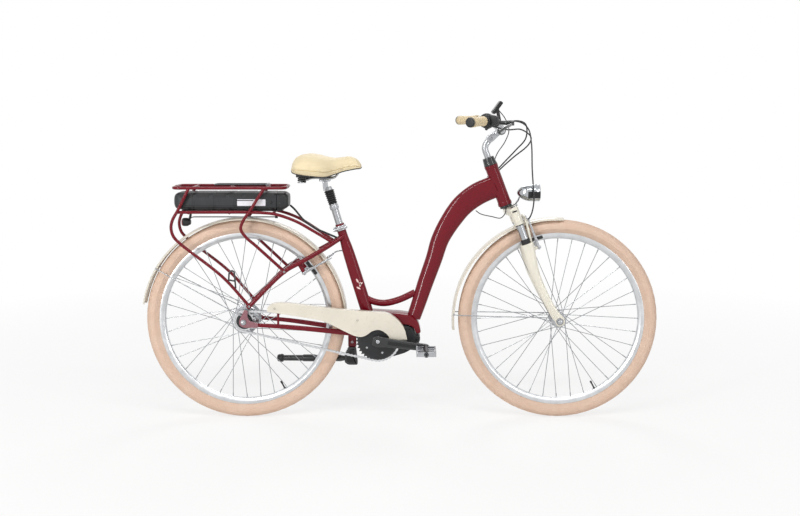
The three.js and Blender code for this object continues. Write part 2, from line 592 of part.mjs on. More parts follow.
function frameSolid() {
  const { length, lipLength, lipRadius, topLipRadius, radius, sides } = headTube;
  const parts = [rod(onFork(0, 0), onFork(-length, 0), radius, sides),
    rod(onFork(0, 0), onFork(-lipLength, 0), lipRadius, sides, radius),
    rod(onFork(-length, 0), onFork(lipLength - length, 0), topLipRadius, sides, radius),
    downTubeSolid(), seatTubeSolid(),
    plate(outlineAt(shellOutlineShares, fromBracket), -motor.halfWide, motor.halfWide)];
  const braceRear = onSeat(layout.braceRearUp);
  parts.push(tube(braceShares.map(([x, z]) => braceRear.clone()
    .add(vec(x * layout.braceSpan, 0, z * layout.braceSpan))), layout.braceRadius, 8));
  bothSides.forEach((side) => {
    const pivot = rearPivot(side);
    parts.push(seatStaySolid(side, stays.seatRadius), chainStaySolid(side), dropoutSolid(side));
    parts.push(rod(pivot.clone().addScaledVector(staySquare, -rearBrake.bossReach), pivot,
      rearBrake.bossRadius, 8));
  });
  const standTop = chainStayShares[1][1] * gridLength + rearCentre.z;
  parts.push(box(vec(rearCentre.x + layout.standAhead, layout.standY, (standTop + layout.standLow) / 2),
    layout.standHalf * 2, layout.standHalfWide * 2, standTop - layout.standLow));
  const postX = rearCentre.x + layout.postAhead;
  parts.push(rod(vec(postX, -layout.postY, layout.postLow), vec(postX, -layout.postY, layout.postTop),
    layout.postRadius, 6));
  return cut(join(parts), [
    rod(onFork(overrun, 0), onFork(-length - overrun, 0), headTube.boreRadius, sides),
    rod(onSeat(seatTube.boreLow), onSeat(seatTubeLength + overrun), around(postRadius, seatTube.sides),
      seatTube.sides)]);
}

function motorSolid() {
  return plate(outlineAt(motorOutlineShares, fromBracket), -motor.halfWide, motor.halfWide,
    [circlePath(bracket.x, bracket.z, motor.boreRadius, motor.boreSides)]);
}

add('frame', frameSolid(), colours.red, 0.25, 0.3);
add('motor_housing', motorSolid(), colours.black, 0.6, 0.1);

// Rear carrier: rails, bent legs and cross bars in one welded frame, ending on the seat stays

const carrier = { railY: 66, lowY: 60, tubeRadius: 5.5, barRadius: 4.5, sides: 6, topRise: 476, topFront: 151,
  topRear: -247, lowRise: 387, cornerRun: 20, sleeve: 8 };
const rearLegShares = [[-1.9, 4.74], [-2.29, 3.96], [-2.47, 3.64], [-2.53, 3.36], [-2.45, 3.05],
  [-2.19, 2.77], [-1.89, 2.53], [-0.72, 1.6]];
const frontLegShares = [[0.75, 4.74], [0.21, 3.89], [0, 3.58], [-0.07, 3.31], [0.09, 3.04], [0.45, 2.72]];
const lowRailShares = [[-2.27, 3.9, 1], [0.87, 3.87, 1], [1.32, 3.78, 0.98], [1.89, 3.56, 0.9],
  [2.45, 3.23, 0.75]];
const topBarsAhead = [-178, -48, 82];
const lowBarsAhead = [-193, -48, 107];

function carrierSolid() {
  const { railY, lowY, tubeRadius, barRadius, sides, topRise, lowRise } = carrier;
  const rear = (ahead, y, rise) => rearCentre.clone().add(vec(ahead, y, rise));
  const parts = [];
  bothSides.forEach((side) => {
    parts.push(tube(eased([rear(carrier.topFront, 0, topRise), rear(carrier.topFront, side * railY, topRise),
      rear(carrier.topRear, side * railY, topRise), rear(carrier.topRear, 0, topRise)], carrier.cornerRun),
    tubeRadius, sides));
    const sleeve = side < 0 ? carrier.topFront : carrier.topRear;
    parts.push(rod(rear(sleeve, -carrier.sleeve, topRise), rear(sleeve, carrier.sleeve, topRise),
      tubeRadius + overrun, sides));
    parts.push(tube([...lowRailShares.map(([x, z, yShare]) => fromRear([x, z], side * yShare * lowY)),
      onSeatStay(side, 0.1)], tubeRadius, sides));
    parts.push(tube([...rearLegShares.map((pair) => fromRear(pair, side * railY)), onSeatStay(side, 0.98)],
      tubeRadius, sides));
    parts.push(tube([...frontLegShares.map((pair) => fromRear(pair, side * railY)), onSeatStay(side, 0.57)],
      tubeRadius, sides));
    const lowEnd = fromRear(lowRailShares[0], side * lowY);
    parts.push(rod(lowEnd, lowEnd.clone().setY(side * railY), tubeRadius, sides));
    const crossing = frontLegShares[1];
    parts.push(rod(fromRear(crossing, side * lowY), fromRear(crossing, side * railY), tubeRadius, sides));
  });
  topBarsAhead.forEach((ahead) =>
    parts.push(rod(rear(ahead, -railY, topRise), rear(ahead, railY, topRise), barRadius, sides)));
  lowBarsAhead.forEach((ahead) =>
    parts.push(rod(rear(ahead, -lowY, lowRise), rear(ahead, lowY, lowRise), barRadius, sides)));
  return cut(join(parts), bothSides.map((side) => seatStaySolid(side, stays.seatRadius + clearance)));
}

// The sprung clip on the platform turns over the front cross bar
const clip = { hingeAhead: 82, hingeHalf: 32, hingeRadius: 4, wireRadius: 2.6, halfWide: 24, reach: 190, run: 14 };
const clipRise = carrier.topRise + carrier.barRadius + clearance + clip.hingeRadius;
const clipHinge = rearCentre.clone().add(vec(clip.hingeAhead, 0, clipRise));

function clipSolid() {
  const at = (back, y) => clipHinge.clone().add(vec(-back, y, 0));
  const loop = tube(eased([at(0, -clip.halfWide), at(clip.reach, -clip.halfWide),
    at(clip.reach, clip.halfWide), at(0, clip.halfWide)], clip.run), clip.wireRadius, 6);
  return join([loop, rod(at(0, -clip.hingeHalf), at(0, clip.hingeHalf), clip.hingeRadius, 8)]);
}

add('rear_carrier', carrierSolid(), colours.red, 0.25, 0.3);
add('carrier_clip', clipSolid(), colours.black, 0.4, 0.6);

// Battery: a case that slides back off its dock
const battery = { rearAhead: -248, length: 364, lowRise: 397, highRise: 459, halfWide: 50, noseRun: 30,
  dockRun: 41, floorWall: 3.4, floorHalfWide: 36, floorLength: 340, ribs: 4, ribWide: 7, ribDeep: 4 };
const batteryRearX = rearAxleX + battery.rearAhead;
const batteryFrontX = batteryRearX + battery.length;
const batteryNoseShares = [[0, 0.78, 0.62], [0.12, 0.88, 0.8], [0.45, 0.97, 0.95], [1, 1, 1]];
const dockNoseShares = [[0, 0.98, 0.99], [0.5, 0.98, 0.97], [0.86, 0.9, 0.8], [1, 0.78, 0.62]];

function batterySection(x, wideShare, highShare) {
  const middle = rearCentre.z + (battery.lowRise + battery.highRise) / 2;
  const half = (battery.highRise - battery.lowRise) / 2;
  return blockRing(vec(x, 0, middle), sideways, vec(0, 0, 1), battery.halfWide * wideShare, half * highShare, 0.4);
}

function batterySolid() {
  const body = loft([...batteryNoseShares.map(([run, wide, high]) =>
    batterySection(batteryRearX + run * battery.noseRun, wide, high)), batterySection(batteryFrontX, 1, 1)]);
  const grooves = Array.from({ length: battery.ribs }, (_, i) => {
    const x = THREE.MathUtils.lerp(batteryRearX, batteryFrontX, (i + 1) / (battery.ribs + 1));
    return box(vec(x, 0, rearCentre.z + battery.highRise), battery.ribWide,
      battery.halfWide * 2 + overrun, battery.ribDeep * 2);
  });
  return cut(body, grooves);
}

function dockSolid() {
  const floorLow = rearCentre.z + carrier.lowRise + carrier.barRadius + clearance;
  const blockRear = batteryFrontX + clearance * 2;
  const floor = box(vec(blockRear + overrun - battery.floorLength / 2, 0, floorLow + battery.floorWall / 2),
    battery.floorLength, battery.floorHalfWide * 2, battery.floorWall);
  const block = loft(dockNoseShares.map(([run, wide, high]) =>
    batterySection(blockRear + run * battery.dockRun, wide, high)));
  const riser = box(vec(blockRear + battery.dockRun / 4, 0, floorLow + battery.floorWall), battery.dockRun / 2,
    battery.floorHalfWide * 2, battery.floorWall * 2);
  return join([floor, block, riser]);
}

add('battery', batterySolid(), colours.battery, 0.55, 0.1);
add('battery_dock', dockSolid(), colours.black, 0.6, 0.1);

// Tail light with its strap and its straight lead along the carrier
const tailLight = { ahead: -213, rise: 349, radius: 15, length: 34, sides: 10, leadRadius: 2, leadY: 40,
  leadFront: 102, leadRise: 14, knobRadius: 5, knobLength: 9, strapAhead: -197, strapWide: 12, strapHalf: 8 };

function tailLightSolid() {
  const { radius, length, leadY, leadRadius, strapAhead } = tailLight;
  const centre = rearCentre.clone().add(vec(tailLight.ahead, 0, tailLight.rise));
  const body = turned([[0, -length / 2], [radius * 0.8, -length / 2], [radius, -length * 0.3],
    [radius, length * 0.1], [radius * 0.55, length / 2], [0, length / 2]],
  centre, centre.clone().add(vec(1, 0, 0)), tailLight.sides);
  const strapTop = rearCentre.z + carrier.lowRise - carrier.barRadius - clearance;
  const strap = box(vec(rearCentre.x + strapAhead, 0, (strapTop + centre.z) / 2), tailLight.strapWide,
    tailLight.strapHalf * 2, strapTop - centre.z);
  const lead = (ahead, y) => vec(rearCentre.x + ahead, y, centre.z + tailLight.leadRise);
  return join([body, strap, rod(lead(strapAhead, 0), lead(strapAhead, leadY), leadRadius, 6),
    rod(lead(strapAhead - leadRadius, leadY), lead(tailLight.leadFront, leadY), leadRadius, 6),
    rod(lead(tailLight.leadFront - overrun, leadY), lead(tailLight.leadFront + tailLight.knobLength, leadY),
      tailLight.knobRadius, 8)]);
}

add('tail_light', tailLightSolid(), colours.black, 0.5, 0.1);

// Fenders: an arched strip over the tyre with bent edges, and wire stays to the axle's ends
const fenderBoltRear = THREE.MathUtils.degToRad(149);
const fenderBoltFront = THREE.MathUtils.degToRad(176.5);
const fenderSectionShares = [[-1, 1], [-0.6, 0.25], [0.6, 0.25], [1, 1]];

function fenderSolid(centre, from, to) {
  const { radius, wall, halfWidth, drop, arcSteps } = fender;
  const steps = Math.round((arcSteps * (to - from)) / Math.PI);
  const outer = fenderSectionShares.map(([across, low]) => [across * halfWidth, radius - (low - 0.25) * drop]);
  const inner = outer.slice().reverse().map(([across, r]) => [across * (1 - wall / halfWidth), r - wall]);
  return loft(Array.from({ length: steps + 1 }, (_, i) => {
    const angle = from + ((to - from) * i) / steps;
    return [...outer, ...inner].map(([across, r]) => centre.clone()
      .add(vec(Math.cos(angle) * r, across, Math.sin(angle) * r)));
  }));
}

function stayWire(centre, angle, eyelet, side) {
  const edge = centre.clone().add(vec(Math.cos(angle), 0, Math.sin(angle))
    .multiplyScalar(fender.radius - fender.drop * 0.6));
  return tube([edge.clone().setY(side * (fender.halfWidth - fender.stayRadius * 2)),
    edge.clone().lerp(eyelet, 0.03).setY(side * (fender.halfWidth + fender.stayRadius)), eyelet],
  fender.stayRadius, 5);
}

const eyeletRear = { back: 3, rise: 18 };
const eyeletFront = { back: 12, rise: 10 };
const lowerInner = 50;

function rearFenderSolid() {
  const centre = rearCentre.clone().add(vec(-fender.setBack, 0, -fender.setDown));
  const y = dropout.inner - fender.stayRadius - clearance;
  return join([fenderSolid(centre, fender.rearStart, fender.rearEnd),
    ...bothSides.map((side) => stayWire(centre, fenderBoltRear,
      rearCentre.clone().add(vec(-eyeletRear.back, side * y, eyeletRear.rise)), side))]);
}

add('rear_fender', rearFenderSolid(), colours.cream, 0.35, 0.1);

// Chaincase: a cover outside the chain with a rim turned in over its upper run
const cover = { outer: -69, wall: 2.4, rimIn: -45 };
const coverTopShares = [[-3.92, 1.02], [-3.9, 1.2], [-3.7, 1.32], [-3.33, 1.34], [-1.81, 1.17], [-0.6, 1.055],
  [0, 1.01], [0.26, 0.99], [0.52, 0.88], [0.76, 0.68], [0.94, 0.4], [1.04, 0.03]];
const coverLowShares = [[0.44, 0.02], [0.32, 0.22], [0.05, 0.375], [-0.2, 0.33], [-0.42, 0.18], [-0.6, 0.125],
  [-0.85, 0.17], [-1.16, 0.315], [-1.98, 0.7], [-2.4, 0.78], [-3.5, 0.965]];

function chaincaseSolid() {
  const top = outlineAt(coverTopShares, fromBracket);
  const low = outlineAt(coverLowShares, fromBracket);
  const rim = top.slice(1);
  const inset = rim.map((point, i) => {
    const along = rim[Math.min(i + 1, rim.length - 1)].clone().sub(rim[Math.max(i - 1, 0)]).normalize();
    return point.clone().add(new THREE.Vector2(along.y, -along.x).multiplyScalar(cover.wall));
  });
  return join([plate([...top, ...low], cover.outer, cover.outer + cover.wall),
    plate([...rim, ...inset.reverse()], cover.outer, cover.rimIn)]);
}

add('chaincase', chaincaseSolid(), colours.cream, 0.35, 0.1);

// Kickstand: a base under the frame's bracket and a leg that swings down and out
const stand = { baseHalfWide: 13, baseDrop: 66, ahead: 366, backHalf: 14, frontHalf: 34, ear: 28,
  jointRadius: 9, rise: -161, legRadius: 7.5, legLength: 240, collarAt: 118, collarRadius: 9.5, collarWall: 8,
  footLength: 20, footRadius: 13 };
const standFolded = vec(-0.994, 0.108, -0.025).normalize();
const standOut = vec(0.6, 0.42, -0.68).normalize();
const standHinge = vec(rearCentre.x + stand.ahead - stand.backHalf / 2,
  layout.standY + stand.baseHalfWide + clearance + stand.jointRadius, rearCentre.z + stand.rise);

function kickstandBaseSolid() {
  const top = layout.standLow - clearance;
  const x = rearCentre.x + stand.ahead;
  const low = top - stand.baseDrop;
  return plate([[x - stand.backHalf, top - stand.ear], [x - stand.backHalf, low + stand.jointRadius],
    [x, low], [x + stand.frontHalf, low], [x + stand.frontHalf, low + stand.backHalf], [x + stand.ear, top],
    [x, top]].map(([px, pz]) => new THREE.Vector2(px, pz)),
  layout.standY - stand.baseHalfWide, layout.standY + stand.baseHalfWide);
}

function kickstandLegSolid() {
  const at = (run) => standHinge.clone().addScaledVector(standFolded, run);
  const joint = turned([[0, -stand.jointRadius], [stand.legRadius, -stand.jointRadius * 0.55],
    [stand.jointRadius, 0], [stand.legRadius, stand.jointRadius * 0.55], [0, stand.jointRadius]],
  standHinge, standHinge.clone().add(sideways), 8);
  return join([joint, rod(at(0), at(stand.legLength), stand.legRadius, 8),
    rod(at(stand.collarAt), at(stand.collarAt + stand.collarWall), stand.collarRadius, 8),
    rod(at(stand.legLength), at(stand.legLength + stand.footLength), stand.footRadius, 8,
      stand.footRadius * 0.7)]);
}

add('kickstand_base', kickstandBaseSolid(), colours.steel, 0.5, 0.6);
add('kickstand_leg', kickstandLegSolid(), colours.black, 0.5, 0.3);

// Seat: clamp, sprung post with its bellows, rails with coil springs, and the saddle
const seat = { postLow: 160, collarAt: 384, collarRadius: 16, collarTop: 405,
  plungerRadius: 11.5, plungerLow: 230, headLow: 456.5, headTop: 473, postSides: 12,
  bellowsRibs: 7, bellowsLow: 13.8, bellowsHigh: 16.2, bellowsDepth: 2.6, bellowsSides: 8 };
const clamp = { low: 306, high: 324, radius: 20.5, sides: 10, lugBack: 26, lugHalfWide: 7, leverRadius: 3.6,
  leverHalf: 29, leverY: -24 };

function seatClampSolid() {
  const inner = around(seatTube.topRadius + clearance, clamp.sides);
  const band = turned([[inner, clamp.low], [clamp.radius, clamp.low], [clamp.radius, clamp.high],
    [inner, clamp.high]], onSeat(0), onSeat(1), clamp.sides, true);
  const middle = (clamp.low + clamp.high) / 2;
  const lug = loft([-clamp.radius + overrun, -clamp.lugBack].map((back) => blockRing(onSeat(middle, back), sideways,
    seatUp, clamp.lugHalfWide, (clamp.high - clamp.low) / 2 - overrun)));
  const pin = rod(onSeat(middle, -clamp.lugBack + clamp.leverRadius, clamp.lugHalfWide * 2),
    onSeat(middle, -clamp.lugBack + clamp.leverRadius, clamp.leverY - clamp.leverRadius / 2), clamp.leverRadius, 8);
  const lever = rod(onSeat(middle, -clamp.leverHalf, clamp.leverY), onSeat(middle, clamp.leverHalf, clamp.leverY),
    clamp.leverRadius, 8, clamp.leverRadius * 1.3);
  return join([band, lug, pin, lever]);
}

function seatPostSolid() {
  const bore = around(seat.plungerRadius, seat.postSides);
  return turned([[bore, seat.postLow], [postRadius, seat.postLow], [postRadius, seat.collarAt],
    [seat.collarRadius, seat.collarAt + overrun], [seat.collarRadius, seat.collarTop], [bore, seat.collarTop]],
  onSeat(0), onSeat(1), seat.postSides, true);
}

const saddleSize = { length: 246, rearReach: 124, railY: 22, railRadius: 3.5, plateWall: 6.2 };
const rails = { rise: 29, frontAhead: 36, rearAhead: -74, noseAhead: 50, noseRise: 20, noseY: 10,
  springAhead: -78, springY: 58, coilRadius: 13, wireRadius: 3, turns: 3, perTurn: 8, springDrop: 9,
  springRise: 11, barRadius: 4, seatRise: 3, headBack: 8, plateRear: -98, plateFront: -52, plateHalfWide: 70 };
const seatTopX = onSeat(seat.headTop).x;
rails.height = onSeat(seat.headTop).z + rails.rise;
rails.noseHeight = rails.height + rails.noseRise;
rails.springLow = rails.height - rails.springDrop;
rails.springHigh = rails.height + rails.springRise;
const headRoof = rails.height - saddleSize.railRadius - clearance;
const head = { lowAcross: 13.5, lowWide: 14, topDrop: 6, topAcross: 17, topWide: 24, topBack: 6, roofAcross: 29,
  roofAlong: 20 };

// The plunger slides in the post; its head carries the saddle's rails
function plungerSolid() {
  const stem = rod(onSeat(seat.plungerLow), onSeat(seat.headTop), seat.plungerRadius, seat.postSides);
  const block = loft([blockRing(onSeat(seat.headLow), sideways, seatForward, head.lowWide, head.lowAcross),
    blockRing(onSeat(seat.headTop - head.topDrop, -head.topBack), sideways, seatForward, head.topWide,
      head.topAcross),
    blockRing(vec(seatTopX - rails.headBack, 0, headRoof), sideways, vec(1, 0, 0), head.roofAcross,
      head.roofAlong)]);
  return join([stem, block]);
}

function bellowsSolid() {
  const low = seat.collarTop + clearance;
  const high = seat.headLow - clearance;
  const steps = seat.bellowsRibs * 2;
  const outer = Array.from({ length: steps + 1 }, (_, i) => {
    const mean = THREE.MathUtils.lerp(seat.bellowsLow, seat.bellowsHigh, i / steps);
    return [mean + (i % 2 === 0 ? 0 : seat.bellowsDepth), THREE.MathUtils.lerp(low, high, i / steps)];
  });
  const bore = around(seat.plungerRadius, seat.bellowsSides);
  return turned([[bore, low], ...outer, [bore, high]], onSeat(0), onSeat(1), seat.bellowsSides, true);
}

// Saddle: share of the length, top, underside and half width; the sections sag in underneath
const saddleShares = [[0, 0.45, 0.32, 0.5], [0.03, 0.72, 0.22, 0.74], [0.11, 0.93, 0.16, 0.93],
  [0.25, 1, 0.1, 1], [0.38, 0.96, 0.06, 0.95], [0.5, 0.87, 0.04, 0.78], [0.62, 0.83, 0.14, 0.52],
  [0.75, 0.87, 0.26, 0.36], [0.83, 0.89, 0.31, 0.3], [0.92, 0.8, 0.36, 0.26], [0.98, 0.62, 0.38, 0.2],
  [1, 0.5, 0.42, 0.12]];
const saddleSectionShares = [[0, 1], [0.4, 0.97], [0.74, 0.84], [0.94, 0.62], [1, 0.36], [0.97, 0.1],
  [0.88, 0], [0.5, 0.08], [0, 0.1]];
const saddleHalfWide = 105;
const saddleHigh = 83;
const saddleRear = seatTopX - saddleSize.rearReach;

function saddleSolid() {
  const half = saddleSectionShares;
  const section = [...half, ...half.slice(1, -1).reverse().map(([y, z]) => [-y, z])];
  return loft(saddleShares.map(([run, topShare, lowShare, wideShare]) => {
    const base = rails.height + rails.seatRise;
    const low = base + saddleHigh * lowShare;
    const high = base + saddleHigh * topShare;
    return section.map(([y, z]) => vec(saddleRear + run * saddleSize.length, y * wideShare * saddleHalfWide,
      low + (high - low) * z));
  }));
}

function coil(centre) {
  const { coilRadius, wireRadius, turns, perTurn, springLow, springHigh } = rails;
  const steps = turns * perTurn;
  const points = Array.from({ length: steps + 1 }, (_, i) => {
    const angle = (i / perTurn) * Math.PI * 2;
    return vec(centre.x + Math.cos(angle) * (coilRadius - wireRadius),
      centre.y + Math.sin(angle) * (coilRadius - wireRadius),
      THREE.MathUtils.lerp(springLow, springHigh, i / steps));
  });
  return tube(points, wireRadius, 5);
}

function railsSolid() {
  const { railRadius, railY, plateWall } = saddleSize;
  const x = (ahead) => seatTopX - rails.headBack + ahead;
  const parts = [];
  bothSides.forEach((side) => {
    parts.push(tube([vec(x(rails.noseAhead), side * rails.noseY, rails.noseHeight),
      vec(x(rails.frontAhead), side * railY * 0.8, rails.height + railRadius),
      vec(x(rails.frontAhead * 0.7), side * railY, rails.height),
      vec(x(rails.rearAhead * 0.6), side * railY, rails.height),
      vec(x(rails.springAhead), side * railY, rails.springLow)], railRadius, 6));
    parts.push(coil(vec(x(rails.springAhead), side * rails.springY, 0)));
  });
  parts.push(rod(vec(x(rails.springAhead), -rails.springY - rails.coilRadius, rails.springLow),
    vec(x(rails.springAhead), rails.springY + rails.coilRadius, rails.springLow), rails.barRadius, 6));
  parts.push(rod(vec(x(rails.noseAhead), -rails.noseY - railRadius, rails.noseHeight),
    vec(x(rails.noseAhead), rails.noseY + railRadius, rails.noseHeight), railRadius, 6));
  parts.push(box(vec(x((rails.plateRear + rails.plateFront) / 2), 0, rails.springHigh),
    rails.plateFront - rails.plateRear, rails.plateHalfWide * 2, plateWall));
  parts.push(box(vec(x(0), 0, rails.height + railRadius + plateWall / 2), rails.coilRadius * 2,
    (railY + railRadius * 2) * 2, plateWall + railRadius));
  return join(parts);
}

add('seat_clamp', seatClampSolid(), colours.silver, 0.4, 0.8);
add('seat_post', seatPostSolid(), colours.silver, 0.35, 0.9);
add('seat_plunger', plungerSolid(), colours.silver, 0.4, 0.8);
add('post_bellows', bellowsSolid(), colours.black, 0.7, 0);
add('saddle_rails', railsSolid(), colours.black, 0.45, 0.5);
add('saddle', saddleSolid(), colours.saddle, 0.6, 0);

// Fork: the crown holds the steerer and the stanchions, and the lowers slide on them
const axleOffset = frontCentre.clone().sub(headBottom);
const axleAlong = -axleOffset.dot(axisUp);
const axleForward = axleOffset.dot(axisForward);
const quill = { low: 30, high: 226, radius: 10.9, lugRadius: 13, lugHalf: 9 };
const fork = { steererRadius: 14.3, steererTop: 158, boreLow: 10, raceRadius: 22,
  crownHigh: 8, crownLow: 38, socketRadius: 17, socketHigh: 12, socketLow: 77, stanchionRadius: 14,
  stanchionForward: 19, stanchionEnd: 165, stanchionY: 50, sealHigh: 132, sealRadius: 16.6, lowersHigh: 150,
  boreEnd: 200, tipWall: 12, sides: 10, travel: 30 };

// Crown: y, along, half along, forward and half forward. Legs: down, forward, half depth, half width and y.
const crownShares = [[-0.65, 0.24, 0.11, 0.17, 0.12], [-0.46, 0.27, 0.15, 0.16, 0.19], [0, 0.22, 0.14, 0.09, 0.25]];
const legShares = [[0, 0.2, 0.24, 0.17, 0.5], [0.3, 0.185, 0.225, 0.175, 0.505], [0.55, 0.15, 0.21, 0.175, 0.51],
  [1.1, 0.1, 0.18, 0.14, 0.525], [1.7, 0.13, 0.155, 0.11, 0.54], [2.42, 0.215, 0.15, 0.085, 0.555],
  [2.82, 0.3, 0.17, 0.06, 0.56]];
const inUnits = (row) => row.map((share) => share * gridLength);
const tip = { faceDrop: 8, endDrop: 17, ahead: 1, halfDeep: 17, endHalfDeep: 9, halfWide: 6, y: 56 };

function forkCrownSolid() {
  const rows = [...crownShares, ...crownShares.slice(0, -1).reverse().map(([y, ...rest]) => [-y, ...rest])];
  const beam = loft(rows.map(inUnits).map(([y, along, halfAlong, forward, halfForward]) =>
    blockRing(onFork(along, forward, y), axisForward, axisUp, halfForward, halfAlong, 0.45)));
  const parts = [beam,
    rod(onFork(fork.crownLow / 2, 0), onFork(-fork.steererTop, 0), fork.steererRadius, fork.sides),
    rod(onFork(fork.crownHigh + overrun, 0), onFork(clearance, 0), fork.raceRadius, fork.sides)];
  bothSides.forEach((side) => {
    const y = side * fork.stanchionY;
    parts.push(rod(onFork(fork.socketHigh, fork.stanchionForward, y),
      onFork(fork.socketLow, fork.stanchionForward, y), fork.socketRadius, fork.sides),
    rod(onFork(fork.socketLow - overrun, fork.stanchionForward, y),
      onFork(fork.stanchionEnd, fork.stanchionForward, y), fork.stanchionRadius, fork.sides));
  });
  return cut(join(parts), [rod(onFork(-fork.boreLow, 0), onFork(-fork.steererTop - overrun, 0),
    around(quill.radius, fork.sides), fork.sides)]);
}

const arch = { radius: 5, forward: 46, low: 160, knee: 76, high: 57, legY: 44, kneeY: 41, topY: 17, run: 9 };
const frontBrake = { padReach: 26.8, y: 41, bossRadius: 6, faceForward: 51.5 };
frontBrake.along = axleAlong - padRadius + frontBrake.padReach;
const frontPivot = (side) => onFork(frontBrake.along, frontBrake.faceForward, side * frontBrake.y);

function forkLowersSolid() {
  const parts = [];
  const tools = [];
  const tipHole = around(axle.frontRadius, axle.sides);
  bothSides.forEach((side) => {
    const tipRow = (drop, halfDeep) =>
      [axleAlong - fork.lowersHigh + drop, axleForward + tip.ahead, halfDeep, tip.halfWide, tip.y];
    const rows = [...legShares.map(inUnits), tipRow(tip.faceDrop, tip.halfDeep), tipRow(tip.endDrop, tip.endHalfDeep)];
    parts.push(loft(rows.map(([down, forward, halfDeep, halfWide, y]) =>
      blockRing(onFork(fork.lowersHigh + down, forward, side * y), axisForward, sideways, halfDeep, halfWide, 0.55))));
    const y = side * fork.stanchionY;
    const line = (along) => onFork(along, fork.stanchionForward, y);
    parts.push(rod(line(fork.lowersHigh + overrun), line(fork.sealHigh), fork.sealRadius, fork.sides));
    parts.push(rod(onFork(frontBrake.along, fork.stanchionForward + fork.stanchionRadius, side * frontBrake.y),
      frontPivot(side), frontBrake.bossRadius, 8));
    tools.push(rod(line(fork.boreEnd), line(fork.sealHigh - overrun), around(fork.stanchionRadius, fork.sides),
      fork.sides));
  });
  const half = (side) => [onFork(arch.low, arch.forward - arch.radius * 2, side * arch.legY),
    onFork(arch.knee, arch.forward, side * arch.kneeY), onFork(arch.high, arch.forward, side * arch.topY)];
  parts.push(tube(eased([...half(-1), ...half(1).reverse()], arch.run), arch.radius, 6));
  tools.push(turned([[0, -headTube.length], [tipHole, -headTube.length], [tipHole, headTube.length],
    [0, headTube.length]], frontCentre, frontCentre.clone().add(sideways), axle.sides));
  return cut(join(parts), tools);
}

add('fork_crown', forkCrownSolid(), colours.cream, 0.35, 0.1);
add('fork_lowers', forkLowersSolid(), colours.cream, 0.35, 0.1);
addAxle('front_axle', frontAxleX, axle.frontRadius, frontHub, lowerInner, lowerInner + fork.tipWall);
addAxle('rear_axle', rearAxleX, axle.rearRadius, rearHub, dropout.inner, dropout.inner + dropout.wall);

function frontFenderSolid() {
  const centre = frontCentre.clone().add(vec(-fender.frontSetBack, 0, -fender.frontSetDown));
  const y = lowerInner - fender.stayRadius - overrun;
  const crest = fender.radius - fender.wall;
  const tabAngle = Math.atan2(axisUp.z, axisUp.x);
  const tabLow = centre.clone().add(vec(Math.cos(tabAngle), 0, Math.sin(tabAngle)).multiplyScalar(crest))
    .addScaledVector(axisForward, arch.forward - axleForward);
  const tabHigh = onFork(arch.high + arch.radius + overrun, arch.forward);
  return join([fenderSolid(centre, fender.frontStart, fender.frontEnd),
    rod(tabLow, tabHigh, arch.radius * 0.8, 6),
    ...bothSides.map((side) => stayWire(centre, fenderBoltFront,
      frontCentre.clone().add(vec(-eyeletFront.back, side * y, eyeletFront.rise)), side))]);
}

add('front_fender', frontFenderSolid(), colours.cream, 0.35, 0.1);

// Rim brake arms turn on bosses: up runs to the cable's end, out runs along the boss
function brakeArmSolid(pivot, up, out, centre, side) {
  const middle = clearance + brake.wall / 2;
  const at = (rise, y = pivot.y) => pivot.clone().addScaledVector(up, rise).addScaledVector(out, middle).setY(y);
  const rows = [[brake.armLow, 0.8], [0, 1.3], [brake.armHigh * 0.55, 0.9], [brake.armHigh, 0.8]];
  const arm = loft(rows.map(([rise, share]) =>
    blockRing(at(rise), out, sideways, (brake.wall / 2) * Math.min(share, 1), brake.armHalf * share, 0.4)));
  const radial = at(brake.padUp, 0).sub(centre).setY(0).normalize();
  const tangent = vec(radial.z, 0, -radial.x);
  const padMiddle = side * (brake.padInner + brake.padWall / 2);
  const pad = loft([-0.5, 0.5].map((share) => blockRing(at(brake.padUp, padMiddle)
    .addScaledVector(tangent, share * brake.padLength), sideways, radial, brake.padWall / 2, brake.padHigh / 2)));
  return join([arm, pad, rod(at(brake.padUp, padMiddle), at(brake.padUp), brake.postRadius, 6),
    rod(at(0), pivot.clone().addScaledVector(out, brake.pinReach), brake.pinRadius, 6)]);
}

bothSides.forEach((side) => {
  const hand = side < 0 ? 'right' : 'left';
  add(`front_brake_arm_${hand}`, brakeArmSolid(frontPivot(side), axisUp, axisForward, frontCentre, side),
    colours.silver, 0.4, 0.8);
  add(`rear_brake_arm_${hand}`, brakeArmSolid(rearPivot(side), stayLine, staySquare, rearCentre, side),
    colours.silver, 0.4, 0.8);
});

// Steering: head cap, quill, stem arm, bar and what the bar carries
const cap = { low: headTube.length + clearance, high: headTube.length + 29, radius: 24, waist: 19.5, mouth: 12,
  rimHigh: 7, neckHigh: 6, sides: 12 };
const stemSizes = { pivotAhead: 24.1, pivotRise: 26.1, armReach: 37, armRise: 29, armHalf: 9, neckRun: 16,
  earWall: 6, clampRadius: 17, clampHalf: 20, pinRadius: 5, pinHalf: 19 };
const stemPivot = onFork(-quill.high, 0).add(vec(stemSizes.pivotAhead, 0, stemSizes.pivotRise));
const barCentre = stemPivot.clone().add(vec(stemSizes.armReach, 0, stemSizes.armRise));
const bar = { radius: 11, sides: 8, holeSides: 10 };
const barShares = [[0, 0.15, 0], [-0.06, 0.262, 0.1], [-0.24, 0.426, 0.26], [-0.42, 0.525, 0.34],
  [-0.66, 0.656, 0.36], [-1.3, 1, 0.32]];
const barPoint = (side, [back, outShare, rise]) =>
  vec(barCentre.x + back * gridLength, side * outShare * barHalfWidth, barCentre.z + rise * gridLength);

